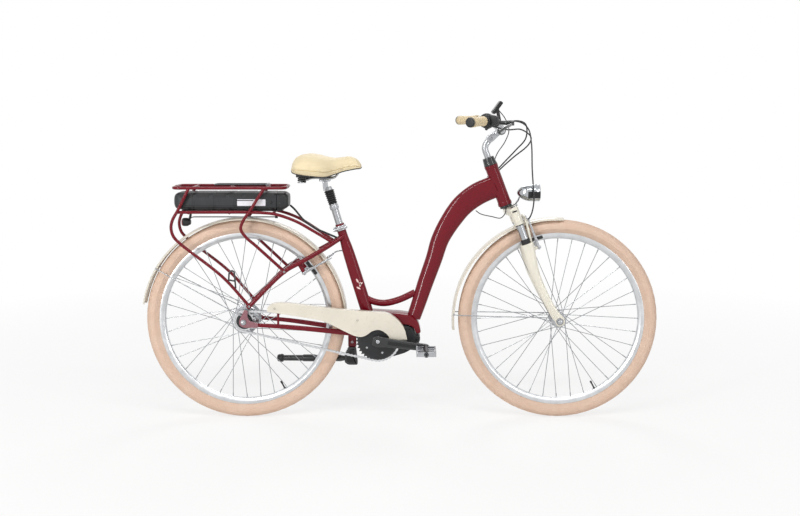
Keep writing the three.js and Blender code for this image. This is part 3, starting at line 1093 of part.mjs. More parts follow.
function headCapSolid() {
  const steererBore = around(fork.steererRadius, cap.sides);
  const step = fork.steererTop + clearance;
  return turned([[steererBore, cap.low], [cap.radius, cap.low], [cap.radius, cap.low + cap.rimHigh],
    [cap.waist, cap.high - cap.neckHigh],
    [cap.waist, cap.high], [cap.mouth, cap.high], [cap.mouth, step], [steererBore, step]],
  onFork(0, 0), onFork(-1, 0), cap.sides, true);
}

function stemQuillSolid() {
  const top = onFork(-quill.high, 0);
  const ears = rod(stemPivot.clone().setY(-quill.lugHalf), stemPivot.clone().setY(quill.lugHalf),
    quill.lugRadius, 10);
  const neck = loft([
    blockRing(onFork(stemSizes.neckRun - quill.high, 0), axisForward, sideways, quill.radius, quill.radius, 0.5),
    blockRing(top, axisForward, sideways, quill.radius * 1.1, quill.lugHalf, 0.5),
    blockRing(stemPivot, axisForward, sideways, quill.radius, quill.lugHalf, 0.5)]);
  return cut(join([rod(onFork(-quill.low, 0), top, quill.radius, fork.sides), neck, ears]),
    [rod(stemPivot.clone().setY(-stemSizes.pinHalf), stemPivot.clone().setY(stemSizes.pinHalf),
      around(stemSizes.pinRadius, 8), 8)]);
}

function stemArmSolid() {
  const inner = quill.lugHalf + clearance;
  const reach = barCentre.clone().sub(stemPivot);
  const up = sideways.clone().cross(reach).normalize().negate();
  const parts = [rod(barCentre.clone().setY(-stemSizes.clampHalf), barCentre.clone().setY(stemSizes.clampHalf),
    stemSizes.clampRadius, 10),
  rod(stemPivot.clone().setY(-stemSizes.pinHalf), stemPivot.clone().setY(stemSizes.pinHalf), stemSizes.pinRadius, 8)];
  bothSides.forEach((side) => {
    const y = side * (inner + stemSizes.earWall / 2);
    parts.push(loft([-0.2, 0, 1].map((share) => blockRing(stemPivot.clone().addScaledVector(reach, share).setY(y),
      sideways, up, stemSizes.earWall / 2, stemSizes.armHalf, 0.3))));
  });
  return cut(join(parts), [rod(barCentre.clone().setY(-headTube.length), barCentre.clone().setY(headTube.length),
    around(bar.radius, bar.holeSides), bar.holeSides)]);
}

function handlebarSolid() {
  const half = (side) => barShares.map((row) => barPoint(side, row));
  return tube([...half(-1).reverse(), barCentre.clone(), ...half(1)], bar.radius, bar.sides);
}

// Grips close over the bar's ends; the right one leaves room for the shifter
const grip = { radius: 15.2, flare: 17, endWall: 6, leftShare: 0.66, rightShare: 0.73, sides: 10 };

function alongBar(side, share) {
  const inner = barPoint(side, barShares[4]);
  const end = barPoint(side, barShares[5]);
  const t = (share - barShares[4][1]) / (1 - barShares[4][1]);
  return inner.lerp(end, t);
}

function gripSolid(side) {
  const start = alongBar(side, side < 0 ? grip.rightShare : grip.leftShare);
  const end = alongBar(side, 1);
  const length = start.distanceTo(end);
  const bore = around(bar.radius, grip.sides);
  return turned([[0, length + grip.endWall], [grip.radius, length + grip.endWall], [grip.flare, length],
    [grip.flare, length * 0.8], [grip.radius, length * 0.45], [grip.flare, 0], [bore, 0],
    [bore, length + clearance], [0, length + clearance]], start, end, grip.sides);
}

// Twist shifter: a ring beside the right grip and the housing it turns in
const shifter = { ringRadius: 19, ringLength: 15, houseRadius: 22, houseLength: 22, towerHigh: 40, towerDeep: 15,
  ribs: 10, ribShare: 0.92 };
const shiftBore = around(bar.radius, grip.sides) + clearance;
const shiftAxis = alongBar(-1, 1).sub(alongBar(-1, grip.rightShare)).normalize();
const shiftStart = alongBar(-1, grip.rightShare);
const onShift = (back) => shiftStart.clone().addScaledVector(shiftAxis, -back);

function twistRingSolid() {
  return turned([[shiftBore, clearance], [shifter.ringRadius * shifter.ribShare, clearance],
    [shifter.ringRadius, shifter.ringLength * 0.3], [shifter.ringRadius, shifter.ringLength],
    [shiftBore, shifter.ringLength]], shiftStart, onShift(1), shifter.ribs, true);
}

function shifterHouseSolid() {
  const from = shifter.ringLength + clearance;
  const to = from + shifter.houseLength;
  const drum = turned([[shiftBore, from], [shifter.houseRadius, from], [shifter.houseRadius, to],
    [shiftBore, to]], shiftStart, onShift(1), grip.sides, true);
  const flat = vec(-shiftAxis.z, 0, shiftAxis.x).normalize();
  const up = shiftAxis.clone().cross(flat).normalize();
  const across = up.clone().cross(shiftAxis).normalize();
  const rise = up.z < 0 ? up.negate() : up;
  const middle = (from + to) / 2;
  const tower = loft([shifter.ringRadius * 0.7, shifter.towerHigh].map((high) =>
    blockRing(onShift(middle).addScaledVector(rise, high), across, shiftAxis, shifter.towerDeep,
      shifter.houseLength / 2 - overrun, 0.4)));
  return cut(join([drum, tower]), [rod(onShift(from - overrun), onShift(to + overrun), shiftBore, grip.sides)]);
}

// Brake levers: a housing round the bar, and a blade on a pin in front of it
const lever = { ringShare: 0.475, ringRadius: 17, ringHalf: 5, ringBore: 12, bodyForward: 46, bodyHalfWide: 9,
  bodyHalfHigh: 7, bladeRadius: 4.6, tipRadius: 6.5, pivotForward: 58, pivotDrop: 4, knuckle: 8,
  shoulderShare: 0.75, mouthShare: 0.42 };
const barTangent = (side) => barPoint(side, barShares[3]).sub(barPoint(side, barShares[2])).normalize();
const leverPlace = (side) => barPoint(side, barShares[2]).lerp(barPoint(side, barShares[3]),
  (lever.ringShare - barShares[2][1]) / (barShares[3][1] - barShares[2][1]));
const leverPivot = (side) => leverPlace(side).add(vec(lever.pivotForward, side * -lever.bodyHalfWide, -lever.pivotDrop));
const bladeShares = [[-0.08, 0.3, -0.04], [-0.3, 0.8, -0.12], [-0.55, 1.1, -0.26]];

function leverHousingSolid(side) {
  const place = leverPlace(side);
  const tangent = barTangent(side);
  const root = place.clone().add(vec(lever.ringBore, 0, 0));
  const end = leverPivot(side).add(vec(-lever.knuckle - clearance, 0, 0));
  const ring = rod(place.clone().addScaledVector(tangent, -lever.ringHalf),
    place.clone().addScaledVector(tangent, lever.ringHalf), lever.ringRadius, 10);
  const body = loft([[0, 1], [lever.shoulderShare, 0.9], [1, lever.mouthShare]].map(([share, wide]) =>
    blockRing(root.clone().lerp(end, share), sideways, vec(0, 0, 1), lever.bodyHalfWide * wide,
      lever.bodyHalfHigh * (1 - share / 10))));
  return cut(join([ring, body]), [rod(place.clone().addScaledVector(tangent, -lever.ringBore * 2),
    place.clone().addScaledVector(tangent, lever.ringBore * 2), lever.ringBore, 10)]);
}

function brakeLeverSolid(side) {
  const pivot = leverPivot(side);
  const path = [pivot, ...bladeShares.map(([back, out, rise]) =>
    pivot.clone().add(vec(back * gridLength, side * out * gridLength, rise * gridLength)))];
  const tip = path.at(-1);
  return join([tube(path, lever.bladeRadius, 6, 2),
    rod(pivot.clone().add(vec(0, 0, -lever.bodyHalfHigh)), pivot.clone().add(vec(0, 0, lever.bodyHalfHigh)),
      lever.knuckle, 8),
    turned([[0, -lever.tipRadius], [lever.bladeRadius, -lever.bladeRadius], [lever.tipRadius, 0],
      [lever.bladeRadius, lever.bladeRadius], [0, lever.tipRadius]], tip, tip.clone().add(sideways), 6)]);
}

const display = { length: 52, wall: 14, halfWide: 31, tilt: THREE.MathUtils.degToRad(42), rise: 82, back: 19,
  ringY: 27, ringHalf: 3, ringRadius: 15, postHalf: 4 };

function displaySolid() {
  const along = vec(Math.cos(display.tilt), 0, Math.sin(display.tilt));
  const up = vec(-along.z, 0, along.x);
  const centre = barCentre.clone().add(vec(-display.back, 0, display.rise));
  const half = display.length / 2;
  const parts = [loft([[-1, 0.8], [-0.85, 1], [0.85, 1], [1, 0.8]].map(([share, size]) =>
    blockRing(centre.clone().addScaledVector(along, share * half), sideways, up, display.halfWide * size,
      (display.wall / 2) * size, 0.3)))];
  bothSides.forEach((side) => {
    const y = side * display.ringY;
    parts.push(rod(barCentre.clone().setY(y - display.ringHalf), barCentre.clone().setY(y + display.ringHalf),
      display.ringRadius, 10));
    parts.push(loft([blockRing(barCentre.clone().add(vec(0, y, bar.radius)), sideways, vec(1, 0, 0), display.ringHalf,
      display.postHalf), blockRing(centre.clone().setY(y), sideways, vec(1, 0, 0), display.ringHalf,
      display.postHalf)]));
  });
  return cut(join(parts), [rod(barCentre.clone().setY(-headTube.length), barCentre.clone().setY(headTube.length),
    around(bar.radius, bar.holeSides), bar.holeSides)]);
}

// Headlight: a bullet body, and a strap to the crown's front face
const headlight = { ahead: 41, rise: 43, length: 82, radius: 31, rimRadius: 29, strapHalf: 8, strapWall: 4,
  footHigh: 8.5, footLow: 19, footForward: 34.2, sides: 14 };

function headlightSolid() {
  const back = headBottom.clone().add(vec(headlight.ahead, 0, headlight.rise));
  const { length, radius, strapHalf, strapWall } = headlight;
  const body = turned([[0, 0], [radius * 0.42, length * 0.04], [radius * 0.75, length * 0.18],
    [radius * 0.95, length * 0.36], [radius, length * 0.5], [radius, length * 0.96],
    [headlight.rimRadius, length], [0, length]],
  back, back.clone().add(vec(1, 0, 0)), headlight.sides);
  const foot = headlight.footForward + clearance;
  const strap = loft([[headlight.footLow, foot + strapWall / 2], [headlight.footHigh, foot + strapWall / 2],
    [-headlight.footHigh, foot + strapWall * 6], [-headlight.footLow, foot + strapWall * 7]]
    .map(([along, forward]) => blockRing(onFork(along, forward), sideways, axisForward, strapHalf, strapWall / 2, 0.2)));
  return join([body, strap]);
}

add('headset_cap', headCapSolid(), colours.black, 0.5, 0.3);
add('stem_quill', stemQuillSolid(), colours.silver, 0.3, 0.9);
add('stem_arm', stemArmSolid(), colours.silver, 0.3, 0.9);
add('handlebar', handlebarSolid(), colours.silver, 0.3, 0.9);
add('grip_right', gripSolid(-1), colours.grip, 0.8, 0);
add('grip_left', gripSolid(1), colours.grip, 0.8, 0);
add('twist_ring', twistRingSolid(), colours.black, 0.7, 0);
add('shifter_housing', shifterHouseSolid(), colours.black, 0.5, 0.1);
add('lever_housing_right', leverHousingSolid(-1), colours.black, 0.5, 0.2);
add('lever_housing_left', leverHousingSolid(1), colours.black, 0.5, 0.2);
add('brake_lever_right', brakeLeverSolid(-1), colours.black, 0.45, 0.4);
add('brake_lever_left', brakeLeverSolid(1), colours.black, 0.45, 0.4);
add('display', displaySolid(), colours.black, 0.4, 0.1);
add('headlight', headlightSolid(), colours.chrome, 0.2, 0.9);

// Cables and hoses: places ahead of the head tube's lower end, or of the rear axle
const hose = { radius: 2.5, thin: 1.7, sides: 8 };
const fromHead = ([x, y, z]) => headBottom.clone().add(vec(x * gridLength, y * gridLength, z * gridLength));
const fromRearAxle = ([x, y, z]) => rearCentre.clone().add(vec(x * gridLength, y * gridLength, z * gridLength));
const frontBrakeShares = [[-0.06, 1.24, 2.93], [0.2, 1.12, 2.98], [0.62, 0.8, 2.94], [0.86, 0.4, 2.7],
  [0.92, 0, 2.2], [0.92, -0.26, 1.3], [0.94, -0.42, 0.7], [0.95, -0.56, 0.2], [0.88, -0.62, -0.2],
  [0.79, -0.58, -0.42], [0.75, -0.46, -0.48]];
const rearBrakeShares = [[-0.06, -1.255, 2.93], [0.22, -1.12, 3.02], [0.6, -0.82, 2.9], [0.66, -0.5, 2.42],
  [0.36, 0.05, 1.95], [-0.02, 0.34, 1.5], [-0.46, 0.31, 1.02], [-0.72, 0.255, 0.66]];
const shiftShares = [[-0.764, -1.888, 2.87], [-0.1, -1.5, 2.72], [0.4, -1.12, 2.72], [0.8, -0.7, 2.46],
  [0.78, -0.14, 2.14], [0.3, 0.42, 1.66], [-0.16, 0.43, 1.24], [-0.58, 0.35, 0.8], [-0.84, 0.255, 0.45]];
const displayShares = [[-0.314, -0.197, 3.426], [-0.06, -0.24, 3.1], [0.1, -0.1, 2.7], [0, 0.26, 2.25],
  [-0.28, 0.34, 1.8], [-0.46, 0.33, 1.3], [-0.66, 0.25, 0.9]];
const lightShares = [[0.483, -0.1, 0.271], [0.42, -0.28, 0.16], [0.26, -0.33, 0.02], [0, -0.335, -0.08],
  [-0.04, -0.32, -0.28], [-0.19, -0.26, -0.45], [-0.5, -0.16, -0.41], [-0.9, -0.06, -0.32], [-1.06, 0, -0.21]];
const batteryLeadShares = [[1.6, 0, 4.1], [1.76, 0, 3.95], [2.1, 0, 3.55], [2.5, 0, 3.27], [2.92, 0, 3.08],
  [3.33, 0, 2.9]];
const noodleShares = [[3.68, 0.178, 2.34], [3.52, 0.44, 2.38], [3.3, 0.6, 2.36], [3.14, 0.57, 2.3],
  [3.1, 0.455, 2.27]];

function addHose(name, shares, place, radius) {
  add(name, tube(shares.map(place), radius, hose.sides), colours.black, 0.6, 0);
}

addHose('front_brake_cable', frontBrakeShares, fromHead, hose.radius);
addHose('rear_brake_cable', rearBrakeShares, fromHead, hose.radius);
addHose('shift_cable', shiftShares, fromHead, hose.radius);
addHose('display_cable', displayShares, fromHead, hose.thin);
addHose('light_cable', lightShares, fromHead, hose.thin);
addHose('battery_lead', batteryLeadShares, fromRearAxle, hose.radius);
addHose('rear_brake_noodle', noodleShares, fromRearAxle, hose.radius);

export default model;
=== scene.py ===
import json
import math

import bpy
import numpy as np
from mathutils import Matrix


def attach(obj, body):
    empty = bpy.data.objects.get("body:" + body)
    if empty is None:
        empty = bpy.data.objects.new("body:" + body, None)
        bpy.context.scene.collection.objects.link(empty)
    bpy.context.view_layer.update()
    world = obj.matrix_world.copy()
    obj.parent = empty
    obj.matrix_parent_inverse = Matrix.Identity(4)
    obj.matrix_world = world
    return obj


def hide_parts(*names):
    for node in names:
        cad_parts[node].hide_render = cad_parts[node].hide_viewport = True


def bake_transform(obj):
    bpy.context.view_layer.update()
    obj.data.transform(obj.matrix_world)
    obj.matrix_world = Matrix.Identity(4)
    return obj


# Looks of a step-through city bicycle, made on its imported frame. Lengths are in millimetres.

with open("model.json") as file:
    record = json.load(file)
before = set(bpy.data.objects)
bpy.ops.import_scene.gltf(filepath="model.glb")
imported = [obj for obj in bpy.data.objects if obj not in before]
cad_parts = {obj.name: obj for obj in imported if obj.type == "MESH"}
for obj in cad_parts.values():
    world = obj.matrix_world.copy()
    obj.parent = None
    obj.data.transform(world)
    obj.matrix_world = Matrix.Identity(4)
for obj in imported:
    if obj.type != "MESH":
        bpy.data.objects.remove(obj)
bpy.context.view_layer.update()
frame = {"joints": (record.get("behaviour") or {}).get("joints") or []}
MM = 0.001
X, Y, Z = np.eye(3)
SIDES = (-1, 1)
HANDS = (("right", -1), ("left", 1))
JOINTS = {joint["name"]: joint for joint in frame["joints"]}


def at(x, y, z):
    return np.array([x, y, z], float)


def unit(vector):
    return np.asarray(vector, float) / np.linalg.norm(vector)


def hinge(name):
    return np.array(JOINTS[name]["pos_m"], float) / MM


def along_joint(name):
    return unit(JOINTS[name]["axis"])


def outward(angle):
    """The direction at an angle about the Y axis."""
    return at(math.cos(angle), 0, math.sin(angle))


def at_y(place, y):
    """A place moved sideways, to y."""
    return place * at(1, 0, 1) + Y * y


def between(side, inner, outer):
    """The lower and the higher y of a layer on one side."""
    return sorted((side * inner, side * outer))


def in_scene(name, data):
    thing = bpy.data.objects.new(name, data)
    bpy.context.scene.collection.objects.link(thing)
    return thing


# Places, from the frame's joints
REAR = hinge("rear_wheel_spin")
FRONT = hinge("front_wheel_spin")
HEAD = hinge("steering_turn")
BRACKET = hinge("crank_spin")
FORK_UP = along_joint("steering_turn")
FORK_AHEAD = np.cross(Y, FORK_UP)
SEAT_UP = along_joint("seat_height")
SEAT_AHEAD = np.cross(Y, SEAT_UP)
SEAT_FOOT = BRACKET + at(-41, 0, 93.4)
UNIT = 100  # routes and outlines are written in hundreds of millimetres


def on_fork(down, ahead, y=0.0):
    return HEAD - FORK_UP * down + FORK_AHEAD * ahead + Y * y


def on_seat(up, ahead=0.0, y=0.0):
    return SEAT_FOOT + SEAT_UP * up + SEAT_AHEAD * ahead + Y * y


def from_rear(x, z, y):
    return REAR + at(x * UNIT, y, z * UNIT)


def from_bracket(x, z):
    return BRACKET + at(x * UNIT, 0, z * UNIT)


# Curves and rings


def curve(points, per, closed=False):
    """A smooth line through points, with per steps between each two of them."""
    p = np.asarray(points, float)
    if closed:
        p = np.vstack([p[-1:], p, p[:2]])
    else:
        p = np.vstack([2 * p[0] - p[1], p, 2 * p[-1] - p[-2]])
    out = []
    for a, b, c, d in zip(p, p[1:], p[2:], p[3:]):
        knots = np.cumsum([0] + [math.sqrt(max(np.linalg.norm(v - u), 1e-9)) for u, v in ((a, b), (b, c), (c, d))])
        k0, k1, k2, k3 = knots
        t = np.linspace(k1, k2, per, endpoint=False)[:, None]
        ab = ((k1 - t) * a + (t - k0) * b) / (k1 - k0)
        bc = ((k2 - t) * b + (t - k1) * c) / (k2 - k1)
        cd = ((k3 - t) * c + (t - k2) * d) / (k3 - k2)
        abc = ((k2 - t) * ab + (t - k0) * bc) / (k2 - k0)
        bcd = ((k3 - t) * bc + (t - k1) * cd) / (k3 - k1)
        out.append(((k2 - t) * abc + (t - k1) * bcd) / (k2 - k1))
    if not closed:
        out.append(p[-2][None])
    return np.vstack(out)


def run_of(route):
    """The length of a line up to each of its points."""
    return np.concatenate([[0], np.cumsum(np.linalg.norm(np.diff(route, axis=0), axis=1))])


def spots_at(where, run, route):
    """The places on a line at given lengths along it."""
    return np.column_stack([np.interp(where, run, row) for row in np.transpose(route)])


def graded(route, shares, values):
    """Values for all points of a route, from a few of them."""
    return np.interp(np.linspace(0, 1, len(route)), shares, values)


def mirrored(half):
    """A turned profile, closed by its own mirror image."""
    return half + [(radius, -y) for radius, y in half[::-1]]


def rounded(points, size, closed=False, steps=4):
    """A line whose corners are eased into short arcs."""
    p = [np.asarray(q, float) for q in points]
    count = len(p)
    out = []
    for i, b in enumerate(p):
        if not closed and i in (0, count - 1):
            out.append(b)
            continue
        a, c = p[i - 1], p[(i + 1) % count]
        to_a, to_c = a - b, c - b
        reach_a, reach_c = np.linalg.norm(to_a), np.linalg.norm(to_c)
        if reach_a < 1e-9 or reach_c < 1e-9 or np.dot(to_a, to_c) < -0.996 * reach_a * reach_c:
            out.append(b)
            continue
        reach = min(size, reach_a * 0.45, reach_c * 0.45)
        start, end = b + to_a / reach_a * reach, b + to_c / reach_c * reach
        for t in np.linspace(0, 1, steps + 1):
            out.append((1 - t) ** 2 * start + 2 * t * (1 - t) * b + t ** 2 * end)
    return np.array(out)


def ways_of(route):
    """The line's own direction at each of its points."""
    tangent = np.gradient(route, axis=0)
    return tangent / np.linalg.norm(tangent, axis=1)[:, None]


def frames(route):
    """Two square directions at each point of a route, carried along without twist."""
    tangent = ways_of(route)
    across = np.cross(tangent[0], Z if abs(tangent[0][2]) < 0.9 else X)
    out = []
    for t in tangent:
        across = unit(across - t * np.dot(across, t))
        out.append((across, np.cross(t, across)))
    return out


def oval(centre, u, v, half_u, half_v, sides, power=1.0):
    angle = np.linspace(0, 2 * np.pi, sides, endpoint=False)
    cos, sin = np.cos(angle), np.sin(angle)
    shaped = np.sign(cos) * abs(cos) ** power, np.sign(sin) * abs(sin) ** power
    return centre + np.outer(shaped[0] * half_u, u) + np.outer(shaped[1] * half_v, v)


def box_ring(centre, u, v, half_u, half_v, corner, steps=3):
    corner = min(corner, half_u * 0.98, half_v * 0.98)
    out = []
    for quarter, (su, sv) in enumerate([(1, 1), (-1, 1), (-1, -1), (1, -1)]):
        for step in range(steps + 1):
            angle = (quarter + step / steps) * np.pi / 2
            out.append(centre + u * (su * (half_u - corner) + math.cos(angle) * corner)
                       + v * (sv * (half_v - corner) + math.sin(angle) * corner))
    return np.array(out)


def shrunk(ring, size):
    middle = ring.mean(axis=0)
    away = ring - middle
    reach = np.linalg.norm(away, axis=1)[:, None]
    return middle + away * np.maximum(1 - size / np.maximum(reach, 1e-9), 0.05)


def soft_ends(rings, size):
    """Rings with eased edges at both ends."""
    def eased(end, inner):
        inward = unit(inner.mean(axis=0) - end.mean(axis=0))
        return [shrunk(end, size * 1.4), shrunk(end, size), shrunk(end, size * 0.3) + inward * size * 0.3,
                end + inward * size]
    return eased(rings[0], rings[1]) + list(rings[1:-1]) + eased(rings[-1], rings[-2])[::-1]


def inset(outline, size):
    """An outline in (x, z) moved inwards."""
    p = np.asarray(outline, float)
    run = np.roll(p, -1, axis=0) - np.roll(p, 1, axis=0)
    run /= np.maximum(np.linalg.norm(run, axis=1)[:, None], 1e-9)
    area = np.sum(p[:, 0] * np.roll(p[:, 1], -1) - np.roll(p[:, 0], -1) * p[:, 1])
    return p + np.column_stack([-run[:, 1], run[:, 0]]) * size * math.copysign(1, area)


# Pieces


class Piece:
    """Closed skins gathered into one mesh, each skin with its own finish."""

    def __init__(self, name):
        self.name = name
        self.points, self.faces, self.marks, self.finishes = [], [], [], []
        self.count = 0

    def skin(self, points, faces, finish):
        points = np.asarray(points, float)
        first = np.array([points[face[0]] for face in faces])
        volume = 0.0
        for k in range(1, max(len(face) for face in faces) - 1):
            rows = [(n, face) for n, face in enumerate(faces) if len(face) > k + 1]
            b = points[[face[k] for _, face in rows]]
            c = points[[face[k + 1] for _, face in rows]]
            volume += np.einsum("ij,ij->", first[[n for n, _ in rows]] - points[0],
                                np.cross(b - points[0], c - points[0]))
        step = -1 if volume < 0 else 1
        if finish not in self.finishes:
            self.finishes.append(finish)
        self.faces += [tuple(self.count + i for i in face[::step]) for face in faces]
        self.marks += [self.finishes.index(finish)] * len(faces)
        self.points.append(points)
        self.count += len(points)

    def loft(self, rings, finish, closed=False, soft=0.0):
        """A skin over rings of as many points each; a ring with no width is a pole."""
        rings = soft_ends(rings, soft) if soft else rings
        points, starts, sizes = [], [], []
        for ring in rings:
            ring = np.asarray(ring, float)
            pole = not closed and np.ptp(ring, axis=0).max() < 1e-6
            starts.append(len(points))
            sizes.append(1 if pole else len(ring))
            points += [ring[0]] if pole else list(ring)
        faces = []
        for i in range(len(rings) if closed else len(rings) - 1):
            j = (i + 1) % len(rings)
            count = max(sizes[i], sizes[j])
            for a in range(count):
                b = (a + 1) % count
                if sizes[i] == 1:
                    faces.append((starts[i], starts[j] + b, starts[j] + a))
                elif sizes[j] == 1:
                    faces.append((starts[i] + a, starts[i] + b, starts[j]))
                else:
                    faces.append((starts[i] + a, starts[i] + b, starts[j] + b, starts[j] + a))
        if not closed:
            for i, turn in ((0, -1), (len(rings) - 1, 1)):
                if sizes[i] > 1:
                    faces.append(tuple(range(starts[i], starts[i] + sizes[i]))[::turn])
        self.skin(points, faces, finish)

    def turned(self, profile, start, towards, finish, sides, soft=0.0, closed=False):
        """A turned skin; the profile holds (radius, along) from the start."""
        profile = rounded(profile, soft, closed) if soft else np.asarray(profile, float)
        towards = unit(towards)
        u = unit(np.cross(towards, Z if abs(towards[2]) < 0.9 else X))
        v = np.cross(towards, u)
        rings = [oval(start + towards * run, u, v, radius, radius, sides) for radius, run in profile]
        self.loft(rings, finish, closed)

    def collar(self, profile, start, towards, finish, sides, soft=0.0):
        """A turned skin with a hole through its middle."""
        self.turned(profile, start, towards, finish, sides, soft, closed=True)

    def band(self, bore, radius, low, high, start, towards, finish, sides, soft):
        self.collar([(bore, low), (radius, low), (radius, high), (bore, high)], start, towards, finish, sides, soft)

    def rod(self, start, end, radius, finish, sides, soft=0.6, end_radius=None):
        start, end = np.asarray(start, float), np.asarray(end, float)
        length = np.linalg.norm(end - start)
        last = radius if end_radius is None else end_radius
        soft = min(soft, radius * 0.6, length * 0.3)
        self.turned([(0, 0), (radius, 0), (last, length), (0, length)], start, end - start, finish, sides, soft)

    def tube(self, points, radius, finish, sides, per=8, corner=None):
        """A tube through points, along a smooth line, or along straights with eased corners."""
        route = curve(points, per) if corner is None else rounded(points, corner, steps=8)
        if np.ndim(radius):
            spots = np.linspace(0, len(route) - 1, len(radius))
            radii = np.interp(np.arange(len(route)), spots, radius)
        else:
            radii = np.full(len(route), float(radius))
        rings = [oval(p, u, v, r, r, sides) for p, (u, v), r in zip(route, frames(route), radii)]
        self.loft(rings, finish)
        return route

    def plate(self, outline, low, high, finish, edge):
        """A plate with eased rims; its outline is in (x, z), and it runs in y from low to high."""
        rows = [(low, edge * 1.6), (low, edge), (low + edge * 0.3, edge * 0.3), (low + edge, 0),
                (high - edge, 0), (high - edge * 0.3, edge * 0.3), (high, edge), (high, edge * 1.6)]
        self.loft([np.array([(x, y, z) for x, z in inset(outline, size)]) for y, size in rows], finish)

    def block(self, centre, u, v, half_u, half_v, half_w, finish, corner, edge):
        w = np.cross(u, v)
        rings = [box_ring(centre + w * share * half_w, u, v, half_u, half_v, corner) for share in (-1, 0, 1)]
        self.loft(rings, finish, soft=edge)

    def screw(self, centre, outward, radius, finish, high=2.0):
        """A domed screw with a hexagon socket."""
        self.turned([(0, -1), (radius, -1), (radius, high * 0.4), (radius * 0.75, high), (radius * 0.45, high),
                     (radius * 0.4, high * 0.2), (0, high * 0.2)], centre, outward, finish, 18)

    def mesh(self, mesh, finish):
        """A ready mesh in millimetres."""
        points = np.empty(len(mesh.vertices) * 3)
        mesh.vertices.foreach_get("co", points)
        if finish not in self.finishes:
            self.finishes.append(finish)
        self.faces += [tuple(self.count + i for i in face.vertices) for face in mesh.polygons]
        self.marks += [self.finishes.index(finish)] * len(mesh.polygons)
        self.points.append(points.reshape(-1, 3))
        self.count += len(mesh.vertices)

    def make(self, body, *nodes, sharp=38, slot=None):
        mesh = bpy.data.meshes.new(self.name)
        mesh.from_pydata((np.vstack(self.points) * MM).tolist(), [], self.faces)
        for finish in self.finishes:
            mesh.materials.append(finish)
        mesh.polygons.foreach_set("material_index", self.marks)
        mesh.polygons.foreach_set("use_smooth", [True] * len(self.faces))
        mesh.set_sharp_from_angle(angle=math.radians(sharp))
        mesh.update()
        piece = in_scene(self.name, mesh)
        if body:
            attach(piece, body)
        if nodes:
            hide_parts(*nodes)
        return piece


# Repeats, made with geometry nodes


def loose_mesh(name, fill):
    """A mesh in millimetres from one or more skins."""
    piece = Piece(name)
    fill(piece)
    mesh = bpy.data.meshes.new(name)
    mesh.from_pydata(np.vstack(piece.points).tolist(), [], piece.faces)
    return mesh


def repeat_tree(name, inputs):
    """A tree with named inputs whose last nodes place, realise and finish the copies."""
    tree = bpy.data.node_groups.new(name, "GeometryNodeTree")
    for label, kind in [*inputs, ("Finish", "NodeSocketMaterial")]:
        tree.interface.new_socket(label, in_out="INPUT", socket_type=kind)
    tree.interface.new_socket("Geometry", in_out="OUTPUT", socket_type="NodeSocketGeometry")
    add = tree.nodes.new
    given, placed = add("NodeGroupInput"), add("GeometryNodeInstanceOnPoints")
    real, coat = add("GeometryNodeRealizeInstances"), add("GeometryNodeSetMaterial")
    wire(tree, (placed, 0, real, 0), (real, 0, coat, "Geometry"), (given, "Finish", coat, "Material"),
         (coat, 0, add("NodeGroupOutput"), 0))
    return given, placed, add, tree


def wire(tree, *rows):
    """Links, each from an output of one node to an input of another."""
    for start, output, end, socket in rows:
        tree.links.new(start.outputs[output], end.inputs[socket])


def round_tree():
    """Copies of a piece, turned about the Y axis in equal steps."""
    given, placed, add, tree = repeat_tree("repeat_round", [
        ("Item", "NodeSocketGeometry"), ("Count", "NodeSocketInt"), ("Step angle", "NodeSocketFloat"),
        ("First angle", "NodeSocketFloat")])
    spots, index = add("GeometryNodePoints"), add("GeometryNodeInputIndex")
    turn, euler = add("ShaderNodeMath"), add("ShaderNodeCombineXYZ")
    turn.operation = "MULTIPLY_ADD"
    wire(tree, (given, "Count", spots, "Count"), (index, 0, turn, 0), (given, "Step angle", turn, 1),
         (given, "First angle", turn, 2), (turn, 0, euler, "Y"), (spots, 0, placed, "Points"),
         (given, "Item", placed, "Instance"), (euler, 0, placed, "Rotation"))
    return tree


def line_tree():
    """Copies of an item at every so many points of a line, from a first one, turned as the line's own attribute says.
    """
    given, placed, add, tree = repeat_tree("repeat_along", [
        ("Line", "NodeSocketGeometry"), ("Item", "NodeSocketObject"), ("Every", "NodeSocketInt"),
        ("First", "NodeSocketInt")])
    item, index = add("GeometryNodeObjectInfo"), add("GeometryNodeInputIndex")
    rest, chosen = add("ShaderNodeMath"), add("FunctionNodeCompare")
    rest.operation = "MODULO"
    chosen.data_type, chosen.operation = "FLOAT", "EQUAL"
    turn = add("GeometryNodeInputNamedAttribute")
    turn.data_type = "FLOAT_VECTOR"
    turn.inputs["Name"].default_value = "turn"
    wire(tree, (index, 0, rest, 0), (given, "Every", rest, 1), (rest, 0, chosen, "A"), (given, "First", chosen, "B"),
         (given, "Item", item, "Object"), (given, "Line", placed, "Points"), (chosen, 0, placed, "Selection"),
         (item, "Geometry", placed, "Instance"), (turn, "Attribute", placed, "Rotation"))
    return tree


ROUND, LINE = round_tree(), line_tree()


def grown(base, tree, values):
    """The mesh that a tree makes of a mesh."""
    holder = in_scene("holder", base)
    modifier = holder.modifiers.new("repeat", "NODES")
    modifier.node_group = tree
    names = {item.name: item.identifier for item in tree.interface.items_tree if item.in_out == "INPUT"}
    for name, value in values.items():
        modifier[names[name]] = value
    bpy.context.view_layer.update()
    solved = holder.evaluated_get(bpy.context.evaluated_depsgraph_get())
    mesh = bpy.data.meshes.new_from_object(solved)
    bpy.data.objects.remove(holder)
    return mesh


def moved(mesh, place, axes=(X, Y, Z)):
    """A mesh turned so that its own axes lie along three others, then moved to a place."""
    mesh.transform(Matrix.Translation(place) @ Matrix(np.column_stack(axes).tolist()).to_4x4())
    return mesh


